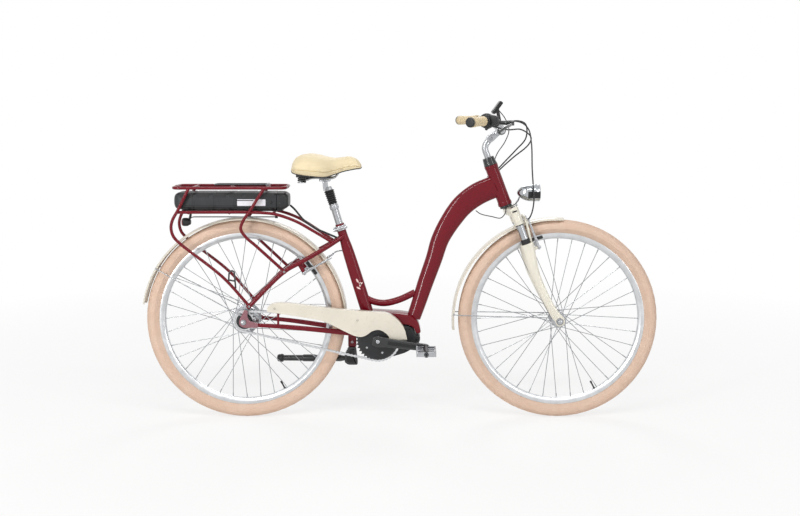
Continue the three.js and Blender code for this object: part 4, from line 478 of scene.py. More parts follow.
def around(item, count, finish, centre=(0, 0, 0), first=0.0):
    """A mesh repeated about the Y axis through a centre."""
    step = 2 * math.pi / count
    mesh = grown(item, ROUND, {"Count": count, "Step angle": step, "First angle": first, "Finish": finish})
    return moved(mesh, centre)


def along_line(points, turns, item, finish, every=1, first=0):
    """A mesh repeated at points, each copy turned by its own Euler angles."""
    line = bpy.data.meshes.new("line")
    line.from_pydata([tuple(p) for p in points], [], [])
    turn = line.attributes.new("turn", "FLOAT_VECTOR", "POINT")
    turn.data.foreach_set("vector", np.asarray(turns, float).ravel())
    model = bpy.data.objects.new("item", item)
    mesh = grown(line, LINE, {"Item": model, "Every": every, "First": first, "Finish": finish})
    bpy.data.objects.remove(model)
    return mesh


# Finishes


class Value:
    """A socket in a sum: an operator adds its Math node."""

    def __init__(self, finish, socket):
        self.finish, self.socket = finish, socket

    def math(self, operation, a, b):
        return self.finish.node("ShaderNodeMath", {0: a, 1: b}, operation=operation)

    def __add__(self, other):
        return self.math("ADD", self, other)

    def __mul__(self, other):
        return self.math("MULTIPLY", self, other)

    def __sub__(self, other):
        return self.math("SUBTRACT", self, other)

    def __rsub__(self, other):
        return self.math("SUBTRACT", other, self)

    __radd__, __rmul__ = __add__, __mul__


class Finish:
    """A material whose nodes read the piece's own coordinates."""

    def __init__(self, name, **fixed):
        self.material = bpy.data.materials.new(name)
        self.material.use_nodes = True
        self.tree = self.material.node_tree
        self.shader = self.tree.nodes["Principled BSDF"]
        for socket, value in fixed.items():
            self.shader.inputs[socket.replace("_", " ")].default_value = value
        self.place = self.node("ShaderNodeTexCoord", {}, "Object")

    def put(self, socket, value):
        if isinstance(value, Value):
            self.tree.links.new(value.socket, socket)
        else:
            socket.default_value = value

    def node(self, kind, sockets, output=0, **settings):
        node = self.tree.nodes.new(kind)
        for key, value in settings.items():
            setattr(node, key, value)
        for key, value in sockets.items():
            self.put(node.inputs[key], value)
        return Value(self, node.outputs[output])

    def noise(self, scale, detail):
        return self.node("ShaderNodeTexNoise", {"Vector": self.place, "Scale": scale, "Detail": detail})

    def cells(self, scale):
        return self.node("ShaderNodeTexVoronoi", {"Vector": self.place, "Scale": scale}, feature="DISTANCE_TO_EDGE")

    def ramp(self, value, low, high):
        return self.node("ShaderNodeMapRange", {"Value": value, "From Min": low, "From Max": high})

    def near(self, middle, spread, scale, detail=3):
        """A level that strays from its middle by noise."""
        return (self.noise(scale, detail) - 0.5) * spread + middle

    def mix(self, share, a, b):
        return self.node("ShaderNodeMix", {0: share, 6: a, 7: b}, 2, data_type="RGBA")

    def set(self, **sockets):
        for socket, value in sockets.items():
            self.put(self.shader.inputs[socket.replace("_", " ")], value)

    def relief(self, height, strength, distance):
        bump = self.node("ShaderNodeBump", {"Height": height, "Strength": strength, "Distance": distance})
        self.set(Normal=bump)


def tint(code, lighter=1.0):
    """A colour code as linear light."""
    parts = [int(code[i:i + 2], 16) / 255 for i in (0, 2, 4)]
    linear = [c / 12.92 if c < 0.04045 else ((c + 0.055) / 1.055) ** 2.4 for c in parts]
    return (*[min(c * lighter, 1) for c in linear], 1)


def painted(name, code, peel=0.05, coat=1.0, metal=0.0, spec=0.5):
    """Sprayed paint under clear lacquer, with faint orange peel and cloudy pigment."""
    finish = Finish(name, Coat_Weight=coat, Coat_Roughness=0.05, Metallic=metal, Specular_IOR_Level=spec)
    cloud = finish.ramp(finish.noise(14, 4), 0.3, 0.7)
    finish.set(Base_Color=finish.mix(cloud, tint(code, 0.96), tint(code, 1.04)),
               Roughness=finish.near(0.29, 0.14, 90))
    if peel:
        finish.relief(finish.noise(420, 2), peel, 0.0006)
    return finish.material


def polished(name, code, roughness, grain=60, scratch=0.05):
    """Bare metal with fine handling marks."""
    finish = Finish(name, Metallic=1.0)
    marks = finish.noise(grain, 5)
    finish.set(Base_Color=finish.mix(finish.ramp(marks, 0.3, 0.7), tint(code, 0.88), tint(code, 1.05)),
               Roughness=(marks - 0.5) * 0.14 + roughness)
    if scratch:
        finish.relief(finish.noise(grain * 12, 3), scratch, 0.0003)
    return finish.material


def moulded(name, code, roughness, grain=900, relief=0.12):
    """Moulded plastic or rubber with a fine grain and slight dust in the colour."""
    finish = Finish(name, Specular_IOR_Level=0.45)
    dust = finish.ramp(finish.noise(38, 5), 0.35, 0.75)
    finish.set(Base_Color=finish.mix(dust, tint(code, 0.9), tint(code, 1.25)),
               Roughness=finish.near(roughness, 0.16, 120))
    finish.relief(finish.noise(grain, 2), relief, 0.0006)
    return finish.material


def tyre_rubber():
    """Pale rubber with a cloudy bloom, darker in the pores."""
    finish = Finish("tyre_rubber", Specular_IOR_Level=0.35)
    cloud = finish.ramp(finish.noise(30, 6), 0.3, 0.72)
    pores = finish.ramp(finish.noise(700, 3), 0.42, 0.6)
    body = finish.mix(cloud, tint("dec2ad"), tint("e9d1c0"))
    finish.set(Base_Color=finish.mix(pores, tint("d2b29c"), body), Roughness=finish.near(0.75, 0.14, 160, 2))
    finish.relief(finish.noise(900, 3), 0.22, 0.0006)
    return finish.material


def leather(name, light, dark, grain):
    """Grained leather: small cells, soft creases and rubbed colour."""
    finish = Finish(name, Sheen_Weight=0.15, Specular_IOR_Level=0.4)
    cells = finish.ramp(finish.cells(grain), 0.0, 0.22)
    rub = finish.ramp(finish.noise(22, 5), 0.34, 0.7)
    body = finish.mix(rub, tint(light, 0.93), tint(light, 1.04))
    finish.set(Base_Color=finish.mix(cells, tint(dark), body), Roughness=finish.near(0.57, 0.14, 140, 2))
    finish.relief(cells + finish.noise(240, 3) * 0.6, 0.28, 0.0007)
    return finish.material


def lens(name, code, roughness=0.15):
    """A clear moulded lens with prisms behind its skin."""
    finish = Finish(name, Coat_Weight=1.0, Coat_Roughness=0.03)
    prisms = finish.ramp(finish.cells(300), 0.0, 0.3)
    finish.set(Base_Color=finish.mix(prisms, tint(code, 0.55), tint(code, 1.15)),
               Roughness=finish.near(roughness, 0.06, 80, 2))
    finish.relief(prisms, 0.3, 0.0006)
    return finish.material


RED = painted("frame_paint", "6f0619", peel=0, coat=0.5, spec=0.05)
# The dropouts wear the frame's own red paint, lightened to pink-grey as painted reflection of their flat faces
PLATE_REFLECTION_PAINT = painted("plate_painted_reflection", "8f5a63", coat=0.8, metal=0.3)
CREAM = painted("cream_paint", "e4dfcf", peel=0.03)
CREAM_PLASTIC = painted("cream_plastic", "e0d9ca", peel=0.04, coat=0.5)
TYRE = tyre_rubber()
RIM = polished("rim_alloy", "d6d8da", 0.3, 40)
ALLOY = polished("bright_alloy", "b7b9bc", 0.25, scratch=0.01)
SPOKE = polished("spoke_steel", "9fa1a4", 0.32, 90)
CHAIN = polished("chain_steel", "d6d7d9", 0.3, 140)
CHROME = polished("chrome", "b4b7ba", 0.12, 30, scratch=0)
BLACK_METAL = painted("black_metal", "17181a", peel=0.07, coat=0.5)
BLACK = moulded("black_plastic", "202123", 0.46)
GLOSS = moulded("black_gloss", "121315", 0.22, 500, 0.03)
CASE = moulded("battery_case", "26282a", 0.4, 1100, 0.14)
SHEATH = moulded("cable_sheath", "18191b", 0.38, 800, 0.06)
BELLOWS = moulded("bellows_rubber", "1a1a1b", 0.6, 700, 0.12)
SADDLE = leather("saddle_leather", "f2e4c2", "dcc89c", 620)
# A darker copy of the saddle leather: painted shade of the saddle's lower sides, used on the seam's piping
SADDLE_SHADE = leather("saddle_painted_shade", "e2cc9c", "c8b184", 620)
GRIP = leather("grip_leather", "ead7b2", "d3bd92", 700)
THREAD = moulded("sewing_thread", "f1e7cf", 0.7, 1500, 0.3)
LABEL = painted("bare_label", "e6e4ea", peel=0.02, coat=0.2)
RED_LENS = lens("red_lens", "a10f16")
CLEAR_LENS = lens("clear_lens", "dfe3e6", 0.11)
LEAF = painted("pale_sprig", "e9c9c3", peel=0.03)


# Wheels
TYRE_RADIUS, TYRE_HALF, BEAD = 358, 23.5, 311.8
SLOT_STEPS = 7
TREAD_STEPS = 64 * SLOT_STEPS
SPOKE_STEP, SPOKE_ROW, RIM_SEAT = 20, 9, 289
VALVE_ANGLE = -62


def tyre(end, centre):
    """A tyre whose tread has a centre rib, side grooves and cross slots at the shoulders."""
    piece = Piece(f"{end}_tyre_tread")
    middle = TYRE_RADIUS - TYRE_HALF
    degrees = [0, 6, 12, 16, 17.5, 22, 23.5, 29, 35, 41, 47, 52, 53.5, 58, 66, 76, 88, 98, 102,
               104, 107, 109, 116, 124]
    half = []
    for degree in degrees:
        sunk = 1.3 if 17 < degree < 23 else -0.5 if 103 < degree < 108 else 0
        angle = math.radians(degree)
        half.append((middle + (TYRE_HALF - sunk) * math.cos(angle), (TYRE_HALF - sunk) * math.sin(angle), degree))
    half += [(BEAD + 3.2, 12.4, 180), (BEAD - 2.5, 9.9, 180), (BEAD - 2.5, 6.6, 180),
             (BEAD + 5, 9, 180), (middle, 20, 180)]
    crown = [(TYRE_RADIUS - 5, 0, 180)]
    section = half + crown + [(r, -y, d) for r, y, d in half[:0:-1]]
    rings = []
    for i in range(TREAD_STEPS):
        angle = 2 * math.pi * i / TREAD_STEPS
        out = outward(angle)
        slot = i % SLOT_STEPS in (0, 1)
        bar = (i + 3) % SLOT_STEPS in (0, 1)
        ring = []
        for radius, y, degree in section:
            cut = 1.2 if (slot and 23 < degree < 53) or (bar and 3 < degree < 17) else 0
            ring.append(centre + out * (radius - cut) + Y * y)
        rings.append(np.array(ring))
    piece.loft(rings, TYRE, closed=True)
    piece.make(f"{end}_wheel", f"{end}_wheel_tyre", slot="tyre_rubber", sharp=50)


def rim(end, centre):
    piece = Piece(f"{end}_rim_hoop")
    half = [(289.6, 2), (290.2, 5.2), (293, 8), (298, 10.9), (300.2, 12.3), (301, 12.5), (310, 12.5), (311.3, 12.1),
            (311.6, 11.3), (311.2, 10.5), (309.4, 10.2), (305, 10.2), (303.4, 8.5), (302.6, 3)]
    piece.collar(mirrored(half), centre, Y, RIM, 180)
    valve = math.radians(VALVE_ANGLE)
    inward = -outward(valve)
    start = centre - inward * 290
    piece.turned([(0, -1), (4.6, -1), (4.6, 1.5), (2.8, 2.5), (2.8, 20), (3.6, 21), (3.6, 29), (0, 29)], start,
                 inward, BLACK, 14, 0.5)
    piece.make(f"{end}_wheel", f"{end}_wheel_rim", slot="rim_alloy")


def spoke_item(hub, side, lead):
    """One crossed spoke with its head, and its nipple's shank at the rim."""
    lean = lead * 1.05
    rim_angle = lead * math.radians(SPOKE_STEP) * 3
    start = at(hub["flange"], side * hub["half"] + lean, 0)
    end = outward(rim_angle) * RIM_SEAT + Y * (side * 3.5 + lean * 0.4)
    shank = end + unit(start - end) * 13

    def fill(piece):
        piece.rod(start, end, 1.25, SPOKE, 8, 0)
        piece.rod(shank, end, 1.9, SPOKE, 6, 0.5)
        piece.rod(start - Y * side * 3.4, start + Y * lean * 1.6, 1.9, SPOKE, 8, 0.3)

    return loose_mesh("spoke", fill)


def hub(end, centre, size):
    piece = Piece(f"{end}_hub_and_spokes")
    flange, outer, inner = size["flange"], size["half"] + 1.6, size["half"] - 1.6
    half = [(size["bore"], size["end"]), (size["cone"], size["end"]), (size["cone"], outer + 1.5),
            (flange - 7, outer), (flange + 3.6, outer - 0.5), (flange + 3.6, inner + 0.5), (flange - 7, inner - 1),
            (size["shell"], inner - 6)]
    piece.collar(mirrored(half), centre, Y, ALLOY, 48, soft=1.4)
    for side in SIDES:
        for lead in SIDES:
            first = math.radians((0 if lead > 0 else SPOKE_STEP) + (SPOKE_STEP / 2 if side > 0 else 0))
            piece.mesh(around(spoke_item(size, side, lead), SPOKE_ROW, SPOKE, centre, -first), SPOKE)
    piece.make(f"{end}_wheel", f"{end}_wheel_hub", slot="spoke_steel")


def axle(end, centre, radius, hub_end, plate, body, cover=0):
    """An axle with cones, lock nuts, washers and capped nuts, and a dark cover where the gears are."""
    piece = Piece(f"{end}_axle_nuts")
    inner, outer = plate
    for side in SIDES:
        out = Y * side
        piece.rod(centre, centre + out * (outer + 9), radius - 0.3, SPOKE, 16, 0.5)
        piece.rod(centre + out * (hub_end + 0.5), centre + out * (inner - 0.5), radius + 3, ALLOY, 6, 0.5)
        piece.rod(centre + out * (outer + 0.4), centre + out * (outer + 1.8), 10, SPOKE, 28, 0.3)
        piece.rod(centre + out * (outer + 1.8), centre + out * (outer + 8.6), 8.6, ALLOY, 6, 0.8)
        piece.turned([(0, 0), (6.8, 0), (6.6, 2.2), (4.6, 3.6), (0, 3.9)],
                     centre + out * (outer + 8.4), out, ALLOY, 24)
    if cover:
        piece.collar([(radius, 56), (cover - 2, 56), (cover, 58), (cover, 64), (cover - 2, 66.5), (radius, 66.5)],
                     centre, -Y, BLACK, 48, 0.8)
    piece.make(body, f"{end}_axle", slot="spoke_steel")


FRONT_HUB = {"flange": 24, "half": 35, "shell": 15, "cone": 11, "end": 44, "bore": 5.4}
REAR_HUB = {"flange": 46, "half": 30, "shell": 33, "cone": 24, "end": 40, "bore": 5.9}
FORK_TIPS = (50, 62)
DROPOUTS = (67.5, 73.5)


def wheels():
    for end, centre, size in (("front", FRONT, FRONT_HUB), ("rear", REAR, REAR_HUB)):
        tyre(end, centre)
        rim(end, centre)
        hub(end, centre, size)
    axle("front", FRONT, 5, 44, FORK_TIPS, "lowers")
    axle("rear", REAR, 5.5, 40, DROPOUTS, "frame", cover=25)


# Drive
PITCH, CHAIN_Y = 12.7, -50
RING_TEETH, COG_TEETH = 38, 18
LINK = {"end": 4.1, "waist": 2.6, "wall": 0.8}


def pitch_radius(teeth):
    return PITCH / (2 * math.sin(math.pi / teeth))


def chain_line():
    """The pins' (x, z), one pitch apart on the loop round both sprockets."""
    ring, cog = pitch_radius(RING_TEETH), pitch_radius(COG_TEETH)
    gap = (BRACKET - REAR)[[0, 2]]
    span, tilt = math.hypot(*gap), math.atan2(gap[1], gap[0])
    spread = math.acos((cog - ring) / span)
    top, low = tilt + spread, tilt - spread
    spots = [(centre + outward(angle) * radius)[[0, 2]]
             for centre, radius, start, end in ((REAR, cog, top, low + 2 * math.pi), (BRACKET, ring, low, top))
             for angle in np.linspace(start, end, 120)]
    spots = np.array(spots + spots[:1])
    run = run_of(spots)
    count = 2 * round(run[-1] / PITCH / 2)
    where = np.arange(count + 1) * run[-1] / count
    return spots_at(where, run, spots)


def link_plates(piece, half_gap):
    """One link's pair of waisted side plates, from its pin at the origin to the next one."""
    outline = []
    for pin, first, waist in ((0, math.pi / 2, -LINK["waist"]), (PITCH, -math.pi / 2, LINK["waist"])):
        for angle in np.linspace(first, first + math.pi, 7):
            outline.append((pin + math.cos(angle) * LINK["end"], math.sin(angle) * LINK["end"]))
        outline.append((PITCH / 2, waist))
    for side in SIDES:
        layer = between(side, half_gap, half_gap + LINK["wall"])
        piece.loft([np.array([(x, y, z) for x, z in outline]) for y in layer], CHAIN)


def chain():
    pins = chain_line()
    points = [at(x, CHAIN_Y, z) for x, z in pins[:-1]]
    runs = np.diff(pins, axis=0)
    turns = [(0, -math.atan2(z, x), 0) for x, z in runs]

    def inner(piece):
        link_plates(piece, 1.9)

    def outer(piece):
        link_plates(piece, 2.75)
        for x in (0, PITCH):
            piece.rod(at(x, -3.9, 0), at(x, 3.9, 0), 1.7, CHAIN, 8, 0.3)

    def roller(piece):
        piece.rod(at(0, -1.8, 0), at(0, 1.8, 0), 3.7, CHAIN, 10, 0.2)

    piece = Piece("chain_links")
    for name, fill, every, first in (("inner", inner, 2, 0), ("outer", outer, 2, 1), ("roller", roller, 1, 0)):
        piece.mesh(along_line(points, turns, loose_mesh(name, fill), CHAIN, every, first), CHAIN)
    piece.make("frame", "chain", slot="chain_steel")
    return pins


def toothed(pins, centre, teeth):
    """A sprocket's outline: rounded teeth that stand between the chain's pins, with seats between them."""
    radius = pitch_radius(teeth)
    step = 2 * math.pi / teeth
    reach = np.hypot(pins[:, 0] - centre[0], pins[:, 1] - centre[2])
    pin = pins[np.argmin(abs(reach - radius))]
    phase = math.atan2(pin[1] - centre[2], pin[0] - centre[0]) + math.pi / teeth
    shape = [(-0.5, -3.9), (-0.32, -2.9), (-0.2, -0.6), (-0.1, 2.2), (0, 2.9), (0.1, 2.2), (0.2, -0.6), (0.32, -2.9)]
    return np.array([(centre + outward((i + share) * step + phase) * (radius + rise))[[0, 2]]
                     for i in range(teeth) for share, rise in shape])


def sprockets(pins):
    ring = Piece("chainring_disc")
    ring.plate(toothed(pins, BRACKET, RING_TEETH), CHAIN_Y - 1, CHAIN_Y + 1,
               BLACK_METAL, 0.3)
    ring.collar([(12.6, -1.5), (62, -1.5), (68.5, 0.6), (68.5, 2.4), (62, 3.6), (40, 4.2), (16, 6.4), (12.6, 6.4)],
                at_y(BRACKET, CHAIN_Y - 1), -Y, BLACK, 72, soft=0.8)
    bolt = loose_mesh("bolt", lambda p: p.screw(at(49, -0.5, 0), -Y, 4.6, ALLOY, 2.2))
    ring.mesh(around(bolt, 5, ALLOY, at_y(BRACKET, CHAIN_Y - 4.6)), ALLOY)
    ring.make("crankset", "chainring", slot="black_metal")
    cog = Piece("rear_cog")
    cog.plate(toothed(pins, REAR, COG_TEETH), CHAIN_Y - 1, CHAIN_Y + 1, CHAIN, 0.3)
    cog.collar([(9.4, -1), (29, -1), (29, 0.6), (27, 1.6), (9.4, 1.6)], at_y(REAR, CHAIN_Y - 1), -Y,
               BLACK_METAL, 40, soft=0.4)
    cog.make("sprocket", "rear_sprocket", slot="black_metal")


CRANK = {"length": 170, "inner": 75, "wall": 14, "splay": 6, "hub": 19}
PEDAL = {"gap": 4, "length": 92, "long": 34, "high": 10}


def crank(hand, side):
    piece = Piece(f"crank_arm_{hand}")
    eye = hinge(f"pedal_{hand}_spin")
    ahead = unit((eye - BRACKET) * at(1, 0, 1))
    up = np.cross(Y, ahead)

    def spot(share):
        middle = side * (CRANK["inner"] + CRANK["wall"] / 2 + CRANK["splay"] * share)
        return at_y(BRACKET, middle) + ahead * CRANK["length"] * share

    rows = [(-0.113, 0.4), (-0.1, 0.68), (-0.06, 0.92), (0, 1.02), (0.05, 1), (0.12, 0.9), (0.3, 0.8), (0.6, 0.74),
            (0.92, 0.7), (1, 0.69), (1.04, 0.62), (1.07, 0.46), (1.083, 0.24)]
    piece.loft([box_ring(spot(share), Y, up, CRANK["wall"] / 2, CRANK["hub"] * wide, 3.4, 4) for share, wide in rows],
               BLACK_METAL)
    face = side * (CRANK["wall"] / 2)
    groove = [(0.2, 0.2), (0.22, 0.34), (0.5, 0.33), (0.8, 0.3), (0.84, 0.16)]
    piece.loft([box_ring(spot(share) + Y * (face - side * 0.5), Y, up, 0.9, CRANK["hub"] * wide, 0.5)
                for share, wide in groove], GLOSS, soft=0.3)
    cap = spot(0) + Y * face
    if side < 0:
        piece.turned([(0, -2), (12.5, -2), (12.5, 1), (11, 1.8), (9, 1.8), (8.4, 0.2), (0, 0.2)], cap, Y * side,
                     BLACK_METAL, 36, 0.4)
        piece.screw(cap + Y * side * 0.2, Y * side, 6.6, ALLOY, 1.8)
        piece.rod(spot(0), at_y(BRACKET, CHAIN_Y - 8.5), 17, BLACK_METAL, 32, 1.5, end_radius=15)
    else:
        piece.screw(cap, Y * side, 9, ALLOY, 1.9)
        piece.rod(at_y(BRACKET, -CRANK["inner"] + 1), at_y(BRACKET, 81), 11.4, SPOKE, 28)
        piece.rod(at_y(BRACKET, 37), at_y(BRACKET, 76), 16, BLACK_METAL, 32, 1.5)
    inner = CRANK["inner"] + CRANK["wall"] + CRANK["splay"]
    pin = spot(1)
    piece.rod(at_y(pin, side * inner), at_y(pin, side * (inner + 3.4)), 7.4, ALLOY, 8, 0.5)
    piece.rod(pin, at_y(pin, side * (inner + PEDAL["gap"] + PEDAL["length"])), 4.9, SPOKE, 16)
    piece.screw(pin - Y * face, -Y * side, 5.6, SPOKE, 1)
    piece.make("crankset", f"crank_{hand}", slot="black_metal")


def pedal(hand, side):
    """An alloy cage with toothed rails round a black barrel."""
    piece = Piece(f"pedal_cage_{hand}")
    eye = at_y(hinge(f"pedal_{hand}_spin"), 0)
    inner = CRANK["inner"] + CRANK["wall"] + CRANK["splay"] + PEDAL["gap"]

    def y(run):
        return side * (inner + run)

    length, long, high = PEDAL["length"], PEDAL["long"], PEDAL["high"]
    for front in SIDES:
        rail_x = eye[0] + front * (long - 2.2)
        outline = mirrored([(2 + k * 4, high if k % 2 else high - 2.2) for k in range(23)])
        piece.loft([[at(x, y(run), eye[2] + z) for run, z in outline] for x in (rail_x - 2.2, rail_x + 2.2)], ALLOY)
        piece.block(at(eye[0] + front * (long - 4.6), y(length / 2), eye[2]), Y, Z, 24, 7, 0.9, ALLOY, 2, 0.4)
    for run in (3.5, length - 3.5):
        piece.block(at(eye[0], y(run), eye[2]), X, Z, long - 3, high - 1.5, 3.2, ALLOY, 5, 0.9)
    for run in (30, 62):
        piece.block(at(eye[0], y(run), eye[2]), X, Z, long - 4, 6, 2.4, ALLOY, 3, 0.8)
    start, towards = eye + Y * y(0.5), Y * side
    piece.collar([(5.6, 0), (11, 0), (11.6, 8), (9.6, 14), (9.6, length - 16), (11.6, length - 10), (11, length - 1),
                  (5.6, length - 1)], start, towards, BLACK, 32, 1.0)
    piece.turned([(0, 0), (8.4, 0), (8, 1.6), (0, 2)], eye + Y * y(length - 1.8), towards, GLOSS, 24)
    piece.make(f"{hand}_pedal", f"pedal_{hand}", slot="bright_alloy")


def drive():
    sprockets(chain())
    for hand, side in HANDS:
        crank(hand, side)
        pedal(hand, side)


# Main frame
DOWN_ROUTE = [(0, 0, 1.02), (0.1, 0.068, 1.03), (0.2, 0.109, 1), (0.3, 0.124, 0.95), (0.47, 0.121, 0.82),
              (0.61, 0.087, 0.76), (0.77, 0.053, 0.72), (0.9, 0.022, 0.67), (1, 0, 0.64)]
DOWN_SECTION = [(0, 1), (0.62, 0.84), (1, 0.3), (0.86, -0.42), (0.45, -0.94), (-0.45, -0.94), (-0.86, -0.42),
                (-1, 0.3), (-0.62, 0.84)]
DOWN_WIDE, DOWN_THICK, DOWN_FOOT = 46, 78, at(128, 0, 70)
SEAT_ROWS = [(-0.12, 1, 1), (0.21, 1, 1), (0.5, 0.98, 0.97), (0.72, 0.9, 0.93), (0.84, 0.76, 0.9), (1, 0.735, 0.9)]
SEAT_LENGTH = 329.5
MOTOR_EDGE = [(-0.4, 0), (-0.34, 0.33), (-0.17, 0.52), (0.36, 0.52), (0.8, 0.47), (1.05, 0.47), (1.26, 0.36),
              (1.35, 0.12), (1.5, 0.1), (1.52, -0.06), (1.43, -0.26), (1, -0.54), (0.46, -0.7), (-0.04, -0.68),
              (-0.34, -0.42)]
SHELL_EDGE = [(-0.66, 0.93), (-0.2, 0.95), (0.74, 0.89), (1.14, 0.84), (1.44, 0.6), (1.54, 0.2), (1.38, 0.15),
              (1.29, 0.38), (1.06, 0.495), (0.8, 0.495), (0.36, 0.545), (-0.19, 0.545), (-0.44, 0.36),
              (-0.52, 0.04), (-0.76, 0), (-0.84, 0.26), (-0.72, 0.58)]
DROPOUT_EDGE = [(-0.35, -0.6), (-0.62, -0.2), (-0.55, 0.4), (-0.2, 0.95), (0.1, 1.75), (0.65, 1.55), (0.5, 0.85),
                (0.8, 0.2), (1.25, 0.02), (1.95, -0.1), (2, -0.75), (1.2, -0.75), (0.2, -0.78)]
SEAT_STAY = [(2.94, 2.63, 0.36), (2.06, 2.13, 0.52), (1.46, 1.8, 0.6), (0.14, 0.5, 0.64)]
CHAIN_STAY = [(4.32, -0.51, 0.38), (3.22, -0.4, 0.38), (1.52, -0.2, 0.56), (0.48, -0.12, 0.64)]
BRACE = [(0, 0), (0.2, -0.1), (0.42, -0.135), (0.7, -0.07), (1, 0.07)]
HEAD_LENGTH = 152
STAND_AHEAD, STAND_LOW, STAND_HIGH, STAND_Y = 380, 246, 318, 38
CASE_POST = {"ahead": 122, "y": -62.3, "low": 338, "high": 401}


def edge_at(shares, place):
    return np.array([place(x, z)[[0, 2]] for x, z in shares])


def down_tube(piece):
    start = on_fork(-75, -12)
    line = BRACKET + DOWN_FOOT - start
    bow = unit(at(line[2], 0, -line[0]))
    route = np.array([start + line * share + bow * out * np.linalg.norm(line) for share, out, _ in DOWN_ROUTE])
    smooth = curve(route, 8)
    deep = np.interp(np.linspace(0, len(route) - 1, len(smooth)), range(len(route)), [d for _, _, d in DOWN_ROUTE])
    section = curve(DOWN_SECTION, 5, closed=True)
    piece.loft([spot + np.outer(section[:, 0] * DOWN_WIDE / 2, Y)
                + np.outer(section[:, 1] * DOWN_THICK * depth / 2, unit(np.cross(way, Y)))
                for spot, way, depth in zip(smooth, np.gradient(smooth, axis=0), deep)], RED)


def seat_tube(piece):
    rows = curve([(up * SEAT_LENGTH, 22 * deep, 18 * wide) for up, deep, wide in SEAT_ROWS], 6)
    rings = [oval(on_seat(up), SEAT_AHEAD, -Y, deep, wide, 40) for up, deep, wide in rows]
    wall = [oval(on_seat(up), SEAT_AHEAD, -Y, 13.9, 13.9, 40) for up in (SEAT_LENGTH, SEAT_LENGTH - 60)]
    piece.loft(rings[:-1] + [shrunk(rings[-1], 0), shrunk(rings[-1], 0.8) + SEAT_UP * 0.5] + wall, RED)


def seat_stay(side):
    return [on_seat(284, 0, side * 12)] + [from_rear(x, z, side * y * UNIT) for x, z, y in SEAT_STAY]


def weld(piece, centre, towards, radius, thick=2.6):
    """A smoothed bead where one tube meets another."""
    piece.collar([(radius - 1, -thick), (radius + 0.6, -thick), (radius + thick * 0.7, 0), (radius + 0.6, thick),
                  (radius - 1, thick)], centre, towards, RED, 36, soft=1.2)


def chain_stay(piece, side):
    route = curve([from_rear(x, z, side * y * UNIT) for x, z, y in CHAIN_STAY], 8)
    last = len(route) - 1
    rings = [box_ring(p, Y, Z, 7 * (1 - 0.25 * i / last), 10 * (1.05 - 0.35 * i / last), 5, 4)
             for i, p in enumerate(route)]
    piece.loft(rings, RED, soft=1.2)


def dropout(piece, side):
    outline = rounded([REAR[[0, 2]] + np.array(pair) * 26 for pair in DROPOUT_EDGE], 7, closed=True)
    # The plates take a lighter pink-grey than the tubes: painted reflection of the flat faces over the frame's red
    piece.plate(outline, *between(side, *DROPOUTS), PLATE_REFLECTION_PAINT, 0.9)
    piece.screw(from_rear(0.42, 0.1, side * (DROPOUTS[1] - 1)), Y * side, 3.6, ALLOY, 1.6)


def main_frame():
    piece = Piece("frame_tubes")
    head, top = on_fork(0, 0), on_fork(-HEAD_LENGTH, 0)
    piece.collar([(17.5, 0), (25.3, 0), (25.3, 9), (23.5, 13), (23.3, 60), (23.3, HEAD_LENGTH - 13),
                  (24.4, HEAD_LENGTH - 10), (24.4, HEAD_LENGTH), (17.5, HEAD_LENGTH)], head,
                 FORK_UP, RED, 56, soft=1.2)
    for start, up in ((head, 1.5), (top, -4.2)):
        piece.band(17.8, 25.2, 0, 2.4, start + FORK_UP * up, FORK_UP, RED, 48, 0.8)
    down_tube(piece)
    seat_tube(piece)
    shell = rounded(edge_at(SHELL_EDGE, from_bracket), 12, closed=True)
    piece.plate(shell, -36, 36, RED, 3.6)
    brace = [on_seat(56) + at(x * 190, 0, z * 190) for x, z in BRACE]
    piece.tube(brace, 12, RED, 24)
    weld(piece, on_seat(0.985 * SEAT_LENGTH - 14), SEAT_UP, 15.6)
    for hand, side in HANDS:
        piece.tube(seat_stay(side), 8, RED, 24)
        chain_stay(piece, side)
        dropout(piece, side)
        pivot = hinge(f"rear_arm_{hand}_swing")
        out = along_joint("rear_arm_left_swing")
        piece.rod(pivot - out * 34, pivot, 7, RED, 24, 1)
        piece.rod(pivot - out * 4, pivot - out * 0.2, 6.4, SPOKE, 20, 0.6)
    stand = REAR + at(STAND_AHEAD, STAND_Y, 0)
    piece.block(at(stand[0], STAND_Y, (STAND_HIGH + STAND_LOW) / 2), X, Y, 15, 7,
                (STAND_HIGH - STAND_LOW) / 2, RED, 4, 1.6)
    piece.screw(at(stand[0], STAND_Y + 6.5, STAND_LOW + 17), Y, 5, ALLOY)
    piece.screw(at(stand[0], STAND_Y - 6.5, STAND_LOW + 17), -Y, 5, ALLOY)
    post_x = REAR[0] + CASE_POST["ahead"]
    piece.rod(at(post_x, CASE_POST["y"], CASE_POST["low"]), at(post_x, CASE_POST["y"], CASE_POST["high"]), 4, RED, 18)
    sprig(piece)
    piece.make("frame", "frame", slot="frame_paint")


def leaf(piece, root, tip, side_way, out, wide):
    """One flat painted leaf, a hair's breadth proud of the tube."""
    def edge(half, shares):
        return [root + (tip - root) * t + side_way * half * math.sin(math.pi * t) ** 0.8 for t in shares]

    rows = np.linspace(0, 1, 9)
    ring = np.array(edge(wide, rows) + edge(-wide, rows[1:-1])[::-1])
    piece.loft([ring, ring + out * 0.25], LEAF)


def sprig(piece):
    """Plain pale leaves on the seat tube."""
    for side in SIDES:
        stem = on_seat(84, 3, side * 18.1)
        for k, (lean, reach) in enumerate(((-0.75, 17), (0.35, 20), (1.2, 16), (-0.2, 18))):
            root = stem + SEAT_UP * (k * 8)
            way = unit(SEAT_UP * math.cos(lean) + SEAT_AHEAD * math.sin(lean))
            leaf(piece, root, root + way * reach, np.cross(way, Y), Y * side, 3.2)


